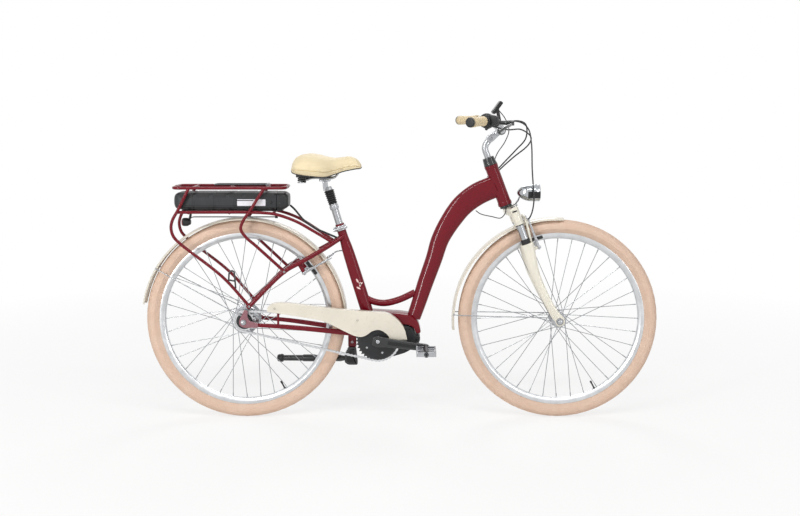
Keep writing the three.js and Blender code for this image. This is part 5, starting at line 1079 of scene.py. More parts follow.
def motor():
    """Two cast covers with a raised lip, a boss and screws, on a middle body."""
    piece = Piece("motor_covers")
    edge = rounded(edge_at(MOTOR_EDGE, from_bracket), 14, closed=True)
    piece.plate(inset(edge, 1.0), -33, 33, BLACK, 3)
    for side in SIDES:
        piece.plate(inset(edge, 3.4), *between(side, 30, 36), BLACK, 2.4)
        piece.plate(inset(edge, 0.6), *between(side, 24, 29), BLACK, 1.2)
        boss = at_y(BRACKET, side * 34)
        piece.collar([(12.4, 0), (29, 0), (29, 1), (26, 2), (19, 2), (16, 2.4), (12.4, 2.4)], boss,
                     Y * side, BLACK, 48, 0.5)
        for x, z in ((1.36, -0.06), (0.98, -0.42), (0.1, -0.56), (-0.26, -0.2), (0.62, 0.36), (1.12, 0.34)):
            piece.screw(from_bracket(x, z) + Y * side * 35, Y * side, 3.6, GLOSS, 1)
    piece.make("frame", "motor_housing", slot="black_plastic")


# Rear carrier, battery and tail light
REAR_LEG = [(-1.9, 4.74), (-2.29, 3.96), (-2.47, 3.64), (-2.53, 3.36), (-2.45, 3.05), (-2.19, 2.77), (-1.89, 2.53),
            (-0.72, 1.6)]
FRONT_LEG = [(0.75, 4.74), (0.21, 3.89), (0, 3.58), (-0.07, 3.31), (0.09, 3.04), (0.45, 2.72)]
LOW_RAIL = [(-2.27, 3.9, 1), (0.87, 3.87, 1), (1.32, 3.78, 0.98), (1.89, 3.56, 0.9), (2.45, 3.23, 0.75)]
CARRIER = {"rail_y": 66, "low_y": 60, "tube": 5.5, "bar": 4.5, "top": 476, "front": 151, "rear": -247, "low": 387}
BATTERY = {"rear": -248, "length": 364, "low": 397, "high": 459, "half": 50}
TAIL = {"ahead": -213, "rise": 349, "strap": -197}
LABEL_SPOT = at(-525.8, -49.7, 781.3)


def stay_point(side, share):
    route = curve(seat_stay(side), 20)
    run = run_of(route)
    return spots_at([share * run[-1]], run, route)[0]


def carrier():
    piece = Piece("carrier_tubes")
    c = CARRIER

    def spot(ahead, y, rise):
        return REAR + at(ahead, y, rise)

    for side in SIDES:
        y = side * c["rail_y"]
        piece.tube([spot(c["front"], 0, c["top"]), spot(c["front"], y, c["top"]), spot(c["rear"], y, c["top"]),
                    spot(c["rear"], 0, c["top"])], c["tube"], RED, 18, corner=26)
        low = [from_rear(x, z, side * share * c["low_y"]) for x, z, share in LOW_RAIL] + [stay_point(side, 0.1)]
        piece.tube(low, c["tube"], RED, 18)
        for legs, share in ((REAR_LEG, 0.98), (FRONT_LEG, 0.57)):
            foot = stay_point(side, share)
            piece.tube([from_rear(x, z, y) for x, z in legs] + [foot], c["tube"], RED, 18)
            piece.rod(foot - Y * side * 3, foot + Y * side * 9, 8.4, RED, 24, 1.2)
            piece.screw(foot + Y * side * 8.6, Y * side, 4.4, ALLOY)
        for x, z in (LOW_RAIL[0][:2], FRONT_LEG[1]):
            piece.rod(from_rear(x, z, side * c["low_y"]), from_rear(x, z, y), c["tube"] - 0.4, RED, 18)
        for x in (REAR_LEG[0][0], FRONT_LEG[0][0]):
            weld(piece, from_rear(x, 4.74, y), at(0.35, 0, 0.94), 5.2, thick=1.6)
    for ahead in (c["front"], c["rear"]):
        piece.rod(spot(ahead, -8, c["top"]), spot(ahead, 8, c["top"]), 6.3, RED, 20)
    for ahead in (-178, -48, 82):
        piece.rod(spot(ahead, -c["rail_y"], c["top"]), spot(ahead, c["rail_y"], c["top"]), c["bar"], RED, 16)
        for side in SIDES:
            weld(piece, spot(ahead, side * 60.5, c["top"]), Y, 4.2, thick=1.4)
    for ahead in (-193, -48, 107):
        piece.rod(spot(ahead, -c["low_y"], c["low"]), spot(ahead, c["low_y"], c["low"]), c["bar"], RED, 16)
    clip_foot = [(-0.52, 1.4), (-0.5, 1.76), (-0.42, 1.84), (-0.32, 1.8), (-0.27, 1.2)]
    piece.tube([from_rear(x, z, -c["rail_y"]) for x, z in clip_foot], 3, BLACK_METAL, 14, corner=6)
    piece.rod(from_rear(-0.5, 1.5, -c["rail_y"]), from_rear(-0.28, 1.46, -c["rail_y"]), 3, BLACK_METAL, 14)
    piece.make("frame", "rear_carrier", slot="frame_paint")


def carrier_clip():
    piece = Piece("spring_clip")
    hinge_spot = hinge("clip_lift")
    piece.tube([hinge_spot + at(0, -24, 0), hinge_spot + at(-190, -24, 0), hinge_spot + at(-190, 24, 0),
                hinge_spot + at(0, 24, 0)], 2.6, BLACK_METAL, 14, corner=16)
    piece.rod(hinge_spot - Y * 32, hinge_spot + Y * 32, 2.9, BLACK_METAL, 16)
    for side in SIDES:
        turns = [hinge_spot + at(math.cos(t) * 3.1, side * (12 + t * 0.55), math.sin(t) * 3.1)
                 for t in np.linspace(0, 6 * 2 * math.pi, 97)]
        piece.tube(turns, 0.9, SPOKE, 6, 1)
    piece.make("clip", "carrier_clip", slot="black_metal")


def battery_ring(x, wide, high):
    low, top, half = BATTERY["low"], BATTERY["high"], BATTERY["half"]
    centre = at(REAR[0] + x, 0, REAR[2] + (low + top) / 2)
    return box_ring(centre, Y, Z, half * wide, (top - low) / 2 * high, 13, 5)


def battery():
    """A moulded case with stepped grooves, a seam, a lock and a charge window."""
    piece = Piece("battery_case_shell")
    rear, length = BATTERY["rear"], BATTERY["length"]
    rows = [(0, 0.6, 0.44), (0.6, 0.7, 0.55), (2.4, 0.79, 0.66), (6, 0.87, 0.79), (13.5, 0.965, 0.94), (30, 1, 1)]
    for groove in (length * (k + 1) / 5 for k in range(4)):
        for run, size in ((-3.9, 1), (-3.2, 0.965), (3.2, 0.965), (3.9, 1)):
            rows.append((groove + run, (1 + size) / 2, size))
    rows += [(length - 3, 1, 1), (length - 1, 0.985, 0.98), (length, 0.965, 0.955)]
    piece.loft([battery_ring(rear + run, wide, high) for run, wide, high in sorted(rows)], CASE)
    middle = REAR[2] + (BATTERY["low"] + BATTERY["high"]) / 2

    def spot(run, y, rise):
        return at(REAR[0] + rear + run, y, middle + rise)

    for side in SIDES:
        y = side * (BATTERY["half"] - 0.7)
        piece.block(spot(length * 0.53, y, -16), X, Z, length * 0.41, 0.8, 0.9, GLOSS, 0.4, 0.3)
        piece.block(spot(length * 0.45, y, 3), X, Z, length * 0.33, 1.6, 1.5, CASE, 1, 0.5)
        for k in range(6):
            piece.block(spot(46 + k * (length - 74) / 5, y - side * 0.7, 20), X, Z, 24, 6.4, 2.6, BLACK, 3, 1.2)
    piece.block(LABEL_SPOT, X, Z, 50.2, 11.6, 0.6, LABEL, 2, 0.25)
    piece.turned([(0, -1), (6, -1), (6, 1), (4.6, 1.5), (0, 1.5)], spot(length - 18, -49.4, -4),
                 -Y, GLOSS, 28, 0.4)
    piece.block(spot(2.6, 0, 2), Y, Z, 22, 7, 1.6, GLOSS, 5, 0.6)
    piece.make("battery_pack", "battery", slot="battery_case")


def dock():
    piece = Piece("battery_dock_block")
    start = BATTERY["rear"] + BATTERY["length"] + 0.7
    rows = [(0, 0.95, 0.95), (1.5, 0.98, 0.99), (20, 0.98, 0.97), (30, 0.94, 0.89), (36, 0.88, 0.77), (40, 0.8, 0.66),
            (41, 0.72, 0.56)]
    piece.loft([battery_ring(start + run, wide, high) for run, wide, high in rows], BLACK)
    front, floor_low = REAR[0] + start, REAR[2] + CARRIER["low"] + CARRIER["bar"] + 0.3
    piece.block(at(front + 1 - 170, 0, floor_low + 1.7), X, Y, 170, 36, 1.7, BLACK, 4, 0.6)
    piece.block(at(front + 10, 0, floor_low + 3.6), X, Y, 10, 36, 3.3, BLACK, 3, 0.6)
    for side in SIDES:
        piece.screw(at(front + 14, side * 48, REAR[2] + 420), Y * side, 4, GLOSS, 1.2)
    piece.make("frame", "battery_dock", slot="black_plastic")


def tail_light():
    piece = Piece("tail_light_body")
    centre = REAR + at(TAIL["ahead"], 0, TAIL["rise"])
    piece.turned([(0, -12), (14.4, -12), (15, -6), (15, 4), (12, 10), (8.2, 16.6), (0, 17)], centre,
                 X, BLACK, 40, soft=1.6)
    piece.turned([(0, -16.8), (8, -16.4), (12.4, -14.6), (13.6, -11), (0, -11)], centre, X, RED_LENS, 40, soft=0.6)
    strap_top = REAR[2] + CARRIER["low"] - CARRIER["bar"] - 0.3
    spot = REAR[0] + TAIL["strap"]
    piece.tube([at(spot, 0, strap_top - 1.4), at(spot - 1, 0, strap_top - 12), at(spot - 6, 0, centre[2] + 8),
                centre + at(6, 0, 4)], 4.4, BLACK, 14)
    piece.block(at(spot, 0, strap_top - 2), X, Y, 8, 8, 1.7, BLACK, 2, 0.5)
    rise = centre[2] + 14
    piece.tube([at(spot, 0, rise), at(spot, 40, rise), at(REAR[0] + 102, 40, rise)], 2, SHEATH, 12, corner=10)
    piece.rod(at(REAR[0] + 101, 40, rise), at(REAR[0] + 111, 40, rise), 5, BLACK, 20, 1)
    piece.make("frame", "tail_light", slot="black_plastic")


# Fenders
FENDER = {"radius": 371, "wall": 1.6, "half": 29, "drop": 9}


def fender_strip(piece, centre, start, end):
    """A crowned strip with rolled edges, its ends rounded off."""
    steps = round(abs(end - start) * 0.9)
    rows = [(0, 0), (0.3, -0.3), (0.55, -1), (0.75, -2.3), (0.9, -4.2), (0.97, -6), (1, -7.6)]
    outer = [(-y, z) for y, z in rows[:0:-1]] + rows
    edge = [(0.99, -8.8), (0.95, -9), (0.925, -8.2), (0.93, -6.6)]
    inner = [(y * 0.945, z - FENDER["wall"]) for y, z in outer[::-1] if abs(y) < 0.96]
    section = outer + edge + inner + [(-y, z) for y, z in edge[::-1]]
    rings = []
    for i in range(steps + 1):
        share = i / steps
        angle = math.radians(start + (end - start) * share)
        from_end = min(share, 1 - share) * steps
        narrow = min(1.0, 0.62 + 0.38 * math.sqrt(min(from_end / 4, 1)))
        out = outward(angle)
        half = FENDER["half"] * narrow
        rings.append(np.array([centre + out * (FENDER["radius"] + z) + Y * y * half for y, z in section]))
    piece.loft(rings, CREAM_PLASTIC)


def fender_wire(piece, centre, angle, eyelet, side):
    out = outward(angle)
    edge = centre + out * (FENDER["radius"] - FENDER["drop"] * 0.6)
    near = edge + (eyelet - edge) * 0.03
    piece.tube([at_y(edge, side * 25), at_y(near, side * 31), eyelet], 1.9, SPOKE, 12, 6)
    piece.screw(at_y(edge, side * 27.6) - out * 1, Y * side, 4, ALLOY, 2)
    piece.rod(eyelet - Y * side * 1.5, eyelet + Y * side * 1.5, 4.4, SPOKE, 16, 0.5)


def fenders():
    piece = Piece("rear_fender_strip")
    centre = REAR + at(-5, 0, -4)
    fender_strip(piece, centre, 3, 171)
    for side in SIDES:
        fender_wire(piece, centre, math.radians(149), REAR + at(-3, side * 65.1, 18), side)
    piece.make("frame", "rear_fender", slot="cream_plastic")
    piece = Piece("front_fender_strip")
    centre = FRONT + at(-11, 0, -5)
    fender_strip(piece, centre, 85.5, 185.5)
    tab = math.atan2(FORK_UP[2], FORK_UP[0])
    crest = centre + outward(tab) * (FENDER["radius"] - 1.6) + FORK_AHEAD * 12
    piece.rod(crest, on_fork(61, 46), 4, ALLOY, 18)
    piece.screw(on_fork(62.5, 46), FORK_UP, 5, ALLOY, 1)
    for side in SIDES:
        fender_wire(piece, centre, math.radians(176.5), FRONT + at(-12, side * 46.9, 10), side)
    piece.make("lowers", "front_fender", slot="cream_plastic")


# Chaincase
CASE_TOP = [(-3.92, 1.02), (-3.9, 1.2), (-3.7, 1.32), (-3.33, 1.34), (-1.81, 1.17), (-0.6, 1.055), (0, 1.01),
            (0.26, 0.99), (0.52, 0.88), (0.76, 0.68), (0.94, 0.4), (1.04, 0.03)]
CASE_LOW = [(0.44, 0.02), (0.32, 0.22), (0.05, 0.375), (-0.2, 0.33), (-0.42, 0.18), (-0.6, 0.125), (-0.85, 0.17),
            (-1.16, 0.315), (-1.98, 0.7), (-2.4, 0.78), (-3.5, 0.965)]


def chaincase():
    """A pressed cover: a rounded shoulder along the top, and a turned rim over the chain."""
    piece = Piece("chaincase_cover")
    top = curve(edge_at(CASE_TOP, from_bracket), 6)
    low = curve(edge_at(CASE_LOW, from_bracket), 6)
    outline = np.vstack([top, low])
    piece.plate(outline, -69, -66.6, CREAM_PLASTIC, 0.9)
    rim = top[6:]
    square = ways_of(rim)[:, ::-1] * [1, -1]
    section = [(-68.9, 3.2), (-68.2, 1.2), (-66.6, 0.1), (-64, 0), (-46, 0), (-45, 0.5), (-45, 1.9), (-46, 2.4),
               (-63.6, 2.4), (-66, 2.9), (-67, 4)]
    rings = [np.array([at(spot[0] + way[0] * deep, y, spot[1] + way[1] * deep) for y, deep in section])
             for spot, way in zip(rim, square)]
    piece.loft(rings, CREAM_PLASTIC)
    for x, z in ((-3.66, 1.14), (-0.72, 0.72)):
        piece.screw(from_bracket(x, z) - Y * 68.4, -Y, 4.6, BLACK_METAL, 0.6)
    piece.make("frame", "chaincase", slot="cream_plastic")


# Kickstand
STAND = {"ahead": 366, "leg": 240}


def kickstand():
    base = Piece("stand_base")
    top, x = STAND_LOW - 0.3, REAR[0] + STAND["ahead"]
    low = top - 66
    outline = rounded([(x - 14, top - 28), (x - 14, low + 9), (x, low), (x + 34, low), (x + 34, low + 14),
                       (x + 28, top), (x, top)], 6, closed=True)
    base.plate(outline, STAND_Y - 13, STAND_Y + 13, BLACK_METAL, 2.2)
    base.plate(inset(outline, 8), STAND_Y - 13.4, STAND_Y + 12.8, GLOSS, 0.5)
    base.screw(at(x + 14, STAND_Y, low + 3.5), -Z, 6, ALLOY, 2)
    base.make("frame", "kickstand_base", slot="black_metal")
    leg = Piece("stand_leg_tube")
    start = hinge("kickstand_swing")
    folded = unit(at(-0.994, 0.108, -0.025))
    leg.turned([(0, -8.7), (4.4, -7.5), (7.5, -4.4), (8.7, 0), (7.5, 4.4), (4.4, 7.5), (0, 8.7)], start, Y,
               BLACK_METAL, 32, 1.2)
    leg.tube([start + folded * run for run in (0, 24, 60, 110, 170, STAND["leg"])], [7.2, 12.6, 12.2, 11.4, 11, 10.6],
             BLACK_METAL, 28)
    leg.collar([(7, 0), (12.8, 0), (13.2, 5), (13, 44), (11.4, 47), (7, 47)], start + folded * 118, folded,
               BLACK_METAL, 28, 1.4)
    foot = start + folded * STAND["leg"]
    leg.turned([(0, -5), (9, -5), (14.6, 0), (15, 7), (13.4, 9), (13.4, 12), (14, 14), (10.6, 20), (0, 20)], foot,
               folded, BLACK, 32, 1.2)
    leg.make("stand_leg", "kickstand_leg", slot="black_metal")


# Seat: clamp, post, bellows, rails and saddle
SEAT_TOP_X = on_seat(473)[0]
RAIL_Z = on_seat(473)[2] + 29
SEAT_SIZE = {"length": 246, "high": 83, "half": 105, "reach": 124}
SADDLE_ROWS = [(0, 0.45, 0.32, 0.5), (0.03, 0.72, 0.22, 0.74), (0.11, 0.93, 0.16, 0.93), (0.25, 1, 0.1, 1),
               (0.38, 0.96, 0.06, 0.95), (0.5, 0.87, 0.04, 0.78), (0.62, 0.83, 0.14, 0.52), (0.75, 0.87, 0.26, 0.36),
               (0.83, 0.89, 0.31, 0.3), (0.92, 0.8, 0.36, 0.26), (0.98, 0.62, 0.38, 0.2), (1, 0.5, 0.42, 0.12)]
SADDLE_SECTION = [(0, 1), (0.4, 0.97), (0.74, 0.84), (0.94, 0.62), (1, 0.36), (0.97, 0.1), (0.88, 0),
                  (0.5, 0.08), (0, 0.1)]


CLAMP_UP = 315


def seat_clamp():
    piece = Piece("seat_clamp_band")
    piece.band(16.9, 20.3, CLAMP_UP - 9, CLAMP_UP + 9, SEAT_FOOT, SEAT_UP, ALLOY, 44, 1.6)
    piece.block(on_seat(CLAMP_UP, -22.6), Y, SEAT_UP, 7, 8, 3.4, ALLOY, 2.5, 1)
    piece.rod(on_seat(CLAMP_UP, -22.4, 14), on_seat(CLAMP_UP, -22.4, -24), 3.4, ALLOY, 18)
    piece.turned([(0, 0), (6.4, 0), (6.4, 5), (5, 7), (0, 7)], on_seat(CLAMP_UP, -22.4, 8.5), Y, ALLOY, 24, 0.6)
    lever = [on_seat(CLAMP_UP, -27, -23), on_seat(CLAMP_UP + 0.5, -12, -25.2), on_seat(CLAMP_UP, 8, -24.6),
             on_seat(CLAMP_UP - 1, 26, -22)]
    route = curve(lever, 8)
    wide = graded(route, [0, 0.15, 0.7, 1], [3.6, 3.2, 4.4, 3.2])
    piece.loft([oval(p, u, v, 2.6 + w * 0.2, w, 20)
                for p, (u, v), w in zip(route, frames(route), wide)], ALLOY, soft=0.8)
    piece.make("frame", "seat_clamp", slot="bright_alloy")


def seat_post():
    piece = Piece("seat_post_tube")
    piece.collar([(11.9, 160), (13.5, 160), (13.5, 384), (15, 385), (15.9, 387), (15.9, 399), (15.2, 400),
                  (15.2, 402), (15.9, 403), (15.6, 405), (11.9, 405)], SEAT_FOOT, SEAT_UP, ALLOY, 48, soft=0.4)
    ridge = loose_mesh("ridge", lambda p: p.rod(at(15.8, 0, 0), at(15.8, 11, 0), 0.5, ALLOY, 6, 0.2))
    mesh = around(ridge, 36, ALLOY)
    piece.mesh(moved(mesh, on_seat(388), (SEAT_AHEAD, SEAT_UP, np.cross(SEAT_AHEAD, SEAT_UP))), ALLOY)
    piece.make("post", "seat_post", slot="bright_alloy")


def bellows():
    piece = Piece("post_bellows_ribs")
    low, high, ribs = 405.3, 456.2, 7
    outer = []
    for share in np.arange(ribs * 8 + 1) / (ribs * 8):
        wave = 0.5 - 0.5 * math.cos(share * ribs * 2 * math.pi)
        outer.append((13.8 + 2.4 * share - 0.7 + 3.2 * wave ** 0.7, low + (high - low) * share))
    piece.collar([(12, low)] + outer + [(12, high)], SEAT_FOOT, SEAT_UP, BELLOWS, 40)
    rubber = piece.make(None, "post_bellows", slot="bellows_rubber", sharp=60)
    tuple(on_seat(low + 3) * MM)
    tuple(on_seat(high - 3) * MM)
    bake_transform(rubber)


def seat_head():
    """The plunger, its two links, and the cradle whose bolt holds the rails."""
    piece = Piece("seat_head")
    piece.rod(on_seat(230), on_seat(462), 11.4, ALLOY, 36)
    piece.collar([(8, 456.6), (13.6, 456.6), (13.8, 460), (13.4, 466), (8, 466)], SEAT_FOOT, SEAT_UP, ALLOY, 40, 0.8)
    piece.block(on_seat(464, -3), Y, SEAT_AHEAD, 10, 15, 5, ALLOY, 4, 1.2)
    cradle = at(SEAT_TOP_X - 8, 0, RAIL_Z - 7)
    low, high = on_seat(464, -10), cradle - Z * 3
    for side in SIDES:
        rows = [(low, 7), (low * 0.7 + high * 0.3, 8), (low * 0.3 + high * 0.7, 8.4), (high, 9)]
        piece.loft([box_ring(at_y(spot, side * 14.5), Y, X, 4, wide, 2, 3) for spot, wide in rows], ALLOY, soft=0.6)
        piece.screw(on_seat(464, -3) + Y * side * 18, Y * side, 5, SPOKE, 2.4)
        piece.screw(cradle + Y * side * 28, Y * side, 6, SPOKE, 2.2)
    piece.block(cradle, X, Y, 19.6, 28.6, 4.2, ALLOY, 5, 1.2)
    piece.block(cradle + at(0, 0, 4), Y, X, 12, 20, 3, ALLOY, 3, 0.8)
    piece.rod(cradle - Y * 29, cradle + Y * 29, 4.2, SPOKE, 18)
    piece.make("saddle_unit", "seat_plunger", slot="bright_alloy")


SPRING = {"ahead": -78, "out": 58}


def rails():
    """Wire rails, a spring bridge and two coil springs under the saddle's plate."""
    piece = Piece("saddle_rails_and_springs")

    def x(ahead):
        return SEAT_TOP_X - 8 + ahead

    low, high, spring = RAIL_Z - 9, RAIL_Z + 11, x(SPRING["ahead"])
    for side in SIDES:
        piece.tube([at(x(50), side * 10, RAIL_Z + 20), at(x(36), side * 17.6, RAIL_Z + 3.5),
                    at(x(25.2), side * 22, RAIL_Z), at(x(-44.4), side * 22, RAIL_Z),
                    at(spring, side * 22, low)], 3.6, SPOKE, 16)
        turns = [at(spring + math.cos(t) * 12.4, side * SPRING["out"] + math.sin(t) * 12.4,
                    low + (high - low) * t / (6 * math.pi)) for t in np.linspace(0, 6 * math.pi, 73)]
        piece.tube(turns, 3.2, BLACK_METAL, 10, 1)
        piece.turned([(0, -2), (15, -2), (15.6, 0), (15, 1.8), (0, 1.8)],
                     at(spring, side * SPRING["out"], low - 3), Z, CHROME, 32, 0.4)
        piece.turned([(0, -4), (15.4, -4), (15.8, 0), (15, 1.4), (0, 1.4)],
                     at(spring, side * SPRING["out"], high - 1), Z, BLACK, 32, 0.4)
        piece.screw(at(spring, side * SPRING["out"], low - 3), -Z, 5, SPOKE)
    piece.rod(at(spring, -71, low), at(spring, 71, low), 3.8, BLACK_METAL, 18)
    piece.rod(at(x(50), -13.4, RAIL_Z + 20), at(x(50), 13.4, RAIL_Z + 20), 3.4, BLACK_METAL, 16)
    piece.block(at(x(-75), 0, high), X, Y, 23, 74, 5, BLACK, 9, 1.2)
    piece.block(at(x(-24), 0, high - 1), X, Y, 40, 48, 4, BLACK, 9, 1.2)
    piece.block(at(x(0), 0, RAIL_Z + 7.4), X, Y, 13, 29, 4, ALLOY, 4, 1)
    piece.make("saddle_unit", "saddle_rails", slot="black_metal")


def saddle_rings():
    rows = curve(SADDLE_ROWS, 8)
    half = curve(SADDLE_SECTION, 6)
    section = np.vstack([half, half[-2:0:-1] * [-1, 1]])
    rear = SEAT_TOP_X - SEAT_SIZE["reach"]
    base = RAIL_Z + 3
    rings = []
    for run, top, low, wide in rows:
        bottom, crown = base + SEAT_SIZE["high"] * low, base + SEAT_SIZE["high"] * top
        y, z = section[:, 0], section[:, 1].copy()
        z += 0.03 * np.exp(-((abs(y) - 0.5) / 0.22) ** 2) * (z > 0.5) * (wide > 0.6)
        x = np.full(len(y), rear + min(max(run, 0), 1) * SEAT_SIZE["length"])
        z = bottom + (crown - bottom) * np.minimum(z, 1)
        rings.append(np.column_stack([x, y * wide * SEAT_SIZE["half"], z]))
    return rings, len(half)


def stitches(piece, route, out, finish, gap=4.6):
    """Sewn thread along a line, every stitch a short rounded bead."""
    run = run_of(route)
    where = np.arange(gap, run[-1] - gap, gap)
    spots = spots_at(where, run, route)
    ways = spots_at(where + 1, run, route) - spots
    lift = spots_at(where, run, out)
    turns = [(0, -math.asin(max(-1, min(1, w[2] / np.linalg.norm(w)))), math.atan2(w[1], w[0])) for w in ways]
    bead = loose_mesh("bead", lambda p: p.rod(at(-1.6, 0, 0), at(1.6, 0, 0), 0.55, finish, 6, 0.4))
    piece.mesh(along_line(spots + lift * 0.3, turns, bead, finish), finish)


def saddle():
    """A crowned cover in two panels: the top, and a skirt that starts at a piped seam."""
    rings, count = saddle_rings()
    seam = round((count - 1) * 4.3 / 8)
    around_count = len(rings[0])
    marks = [seam, around_count - seam]
    middle = [ring.mean(axis=0) for ring in rings]
    outward = []
    for ring, spot in zip(rings, middle):
        row = []
        for mark in marks:
            way = unit((ring[mark] - spot) * at(0, 1, 1))
            row.append(way)
            ring[mark] = ring[mark] - way * 0.7
        outward.append(row)
    nose = [shrunk(rings[-1], 2.5), shrunk(rings[-1], 7)]
    rings = [shrunk(rings[0], 14) - X * 0.2, shrunk(rings[0], 5)] + rings + nose
    piece = Piece("saddle_cover")
    piece.loft(rings, SADDLE)
    for slot, mark in enumerate(marks):
        line = np.array([ring[mark] for ring in rings[2:-2]])
        out = np.array([row[slot] for row in outward])
        # The piping takes the darker leather, painted shade of the lower side
        piece.tube(line[1:-1] + out[1:-1] * 0.5, 1.0, SADDLE_SHADE, 8, 1)
        for shift in (-4, 4):
            near = np.array([ring[(mark + (1 if shift > 0 else -1)) % around_count] for ring in rings[2:-2]])
            way = near - line
            way /= np.maximum(np.linalg.norm(way, axis=1)[:, None], 1e-6)
            stitches(piece, (line + way * 3.4 + out * 0.9)[3:-3], out[3:-3], THREAD)
    return piece, rings


def finish_saddle():
    """Adds the hem's piping and makes the padded saddle."""
    piece, rings = saddle()
    count = len(rings[0])
    half = count // 2
    edge = round(half * 5.6 / 8)
    for mark in (edge, count - edge):
        line = np.array([ring[mark] for ring in rings[3:-3]])
        piece.tube(line - Z * 0.6, 2.0, BLACK, 10, 1)
    cover = piece.make("saddle_unit", "saddle", slot="saddle_leather", sharp=60)


# Fork
AXLE_DOWN = -float(np.dot(FRONT - HEAD, FORK_UP))
AXLE_AHEAD = float(np.dot(FRONT - HEAD, FORK_AHEAD))
CROWN_ROWS = [(-0.65, 0.24, 0.11, 0.17, 0.12), (-0.46, 0.27, 0.15, 0.16, 0.19), (0, 0.22, 0.14, 0.09, 0.25)]
LEG_ROWS = [(0, 0.2, 0.24, 0.17, 0.5), (0.3, 0.185, 0.225, 0.175, 0.505), (0.55, 0.15, 0.21, 0.175, 0.51),
            (1.1, 0.1, 0.18, 0.14, 0.525), (1.7, 0.13, 0.155, 0.11, 0.54), (2.42, 0.215, 0.15, 0.085, 0.555),
            (2.82, 0.3, 0.17, 0.06, 0.56)]
LOWERS_TOP, LEG_AHEAD, LEG_Y = 150, 19, 50


def on_leg(side, down):
    """A place on one fork leg's centre line."""
    return on_fork(down, LEG_AHEAD, side * LEG_Y)


def fork_crown():
    """A cast crown with a thin dark sheet on each end as painted shade of its slot, and bright stanchions under it.
    """
    piece = Piece("fork_crown_and_stanchions")
    rows = CROWN_ROWS + [(-y, *rest) for y, *rest in CROWN_ROWS[1::-1]]
    smooth = curve(rows, 8) * UNIT
    rings = [box_ring(on_fork(down, ahead, y), FORK_AHEAD, FORK_UP, deep, high, min(deep, high) * 0.75, 5)
             for y, down, high, ahead, deep in smooth]
    piece.loft(rings, CREAM, soft=2)
    piece.rod(on_fork(19, 0), on_fork(-158, 0), 14.1, SPOKE, 28)
    piece.collar([(14, 0.4), (21.8, 0.4), (22, 4), (22, 9), (14, 9)], HEAD, -FORK_UP, BLACK_METAL, 40, 0.6)
    for side in SIDES:
        piece.turned([(0, 0), (13, 0), (16.4, 3), (16.9, 8), (16.9, 61), (16.2, 65), (0, 65)], on_leg(side, 12),
                     -FORK_UP, CREAM, 40, 1.2)
        piece.rod(on_leg(side, 76), on_leg(side, 165), 13.9, CHROME, 44)
        piece.band(14, 15.4, 0, 3, on_leg(side, 77), -FORK_UP, BLACK, 40, 0.5)
        piece.turned([(0, -1), (8, -1), (8, 1.6), (5.2, 2), (4.8, 0.4), (0, 0.4)], on_leg(side, 12), FORK_UP,
                     BLACK_METAL, 28, 0.3)
        # A thin gloss-black sheet on the crown's end: painted shade standing for the slot
        piece.block(on_fork(26, 18, side * 66.3), FORK_AHEAD, FORK_UP, 8.6, 2.6, 0.9, GLOSS, 2.2, 0.3)
    piece.make("steering", "fork_crown", slot="cream_paint")


def fork_lowers():
    piece = Piece("fork_lower_legs")
    tips = [(AXLE_DOWN - LOWERS_TOP + down, AXLE_AHEAD + 1, deep, 6, 56)
            for down, deep in ((-6, 17.5), (8, 16.5), (14, 12.5), (17, 8))]
    for hand, side in HANDS:
        rows = [tuple(UNIT * value for value in row) for row in LEG_ROWS] + tips
        smooth = curve(rows, 6)
        rings = [oval(on_fork(LOWERS_TOP + down, ahead, side * y), FORK_AHEAD, Y, deep, wide, 36, 0.86)
                 for down, ahead, deep, wide, y in smooth]
        piece.loft(rings, CREAM, soft=1.2)
        piece.collar([(14.3, 0), (16.4, 0), (16.4, 4), (15.6, 5), (16.5, 6.4), (15.6, 8), (16.4, 9.6), (15.2, 13),
                      (14.6, 18.8), (14.3, 18.8)], on_leg(side, LOWERS_TOP + 1), FORK_UP, BELLOWS, 44, 0.5)
        pivot = hinge(f"front_arm_{hand}_swing")
        piece.rod(pivot - FORK_AHEAD * 19, pivot, 6, CREAM, 24, 0.6, end_radius=5.6)
        axle_spot = FRONT + Y * side * 62
        piece.band(5.6, 13, -0.5, 0.35, axle_spot, Y * side, SPOKE, 32, 0.2)
    right, left = ([on_fork(160, 36, side * 44), on_fork(76, 46, side * 41),
                    on_fork(57, 46, side * 17)] for side in SIDES)
    piece.tube(right + left[::-1], 5, CREAM, 20, corner=14)
    piece.make("lowers", "fork_lowers", slot="cream_paint")


# Brakes
STAY_LINE = unit(at(0.872, 0, 0.489))
PAD_RISE = 27.5


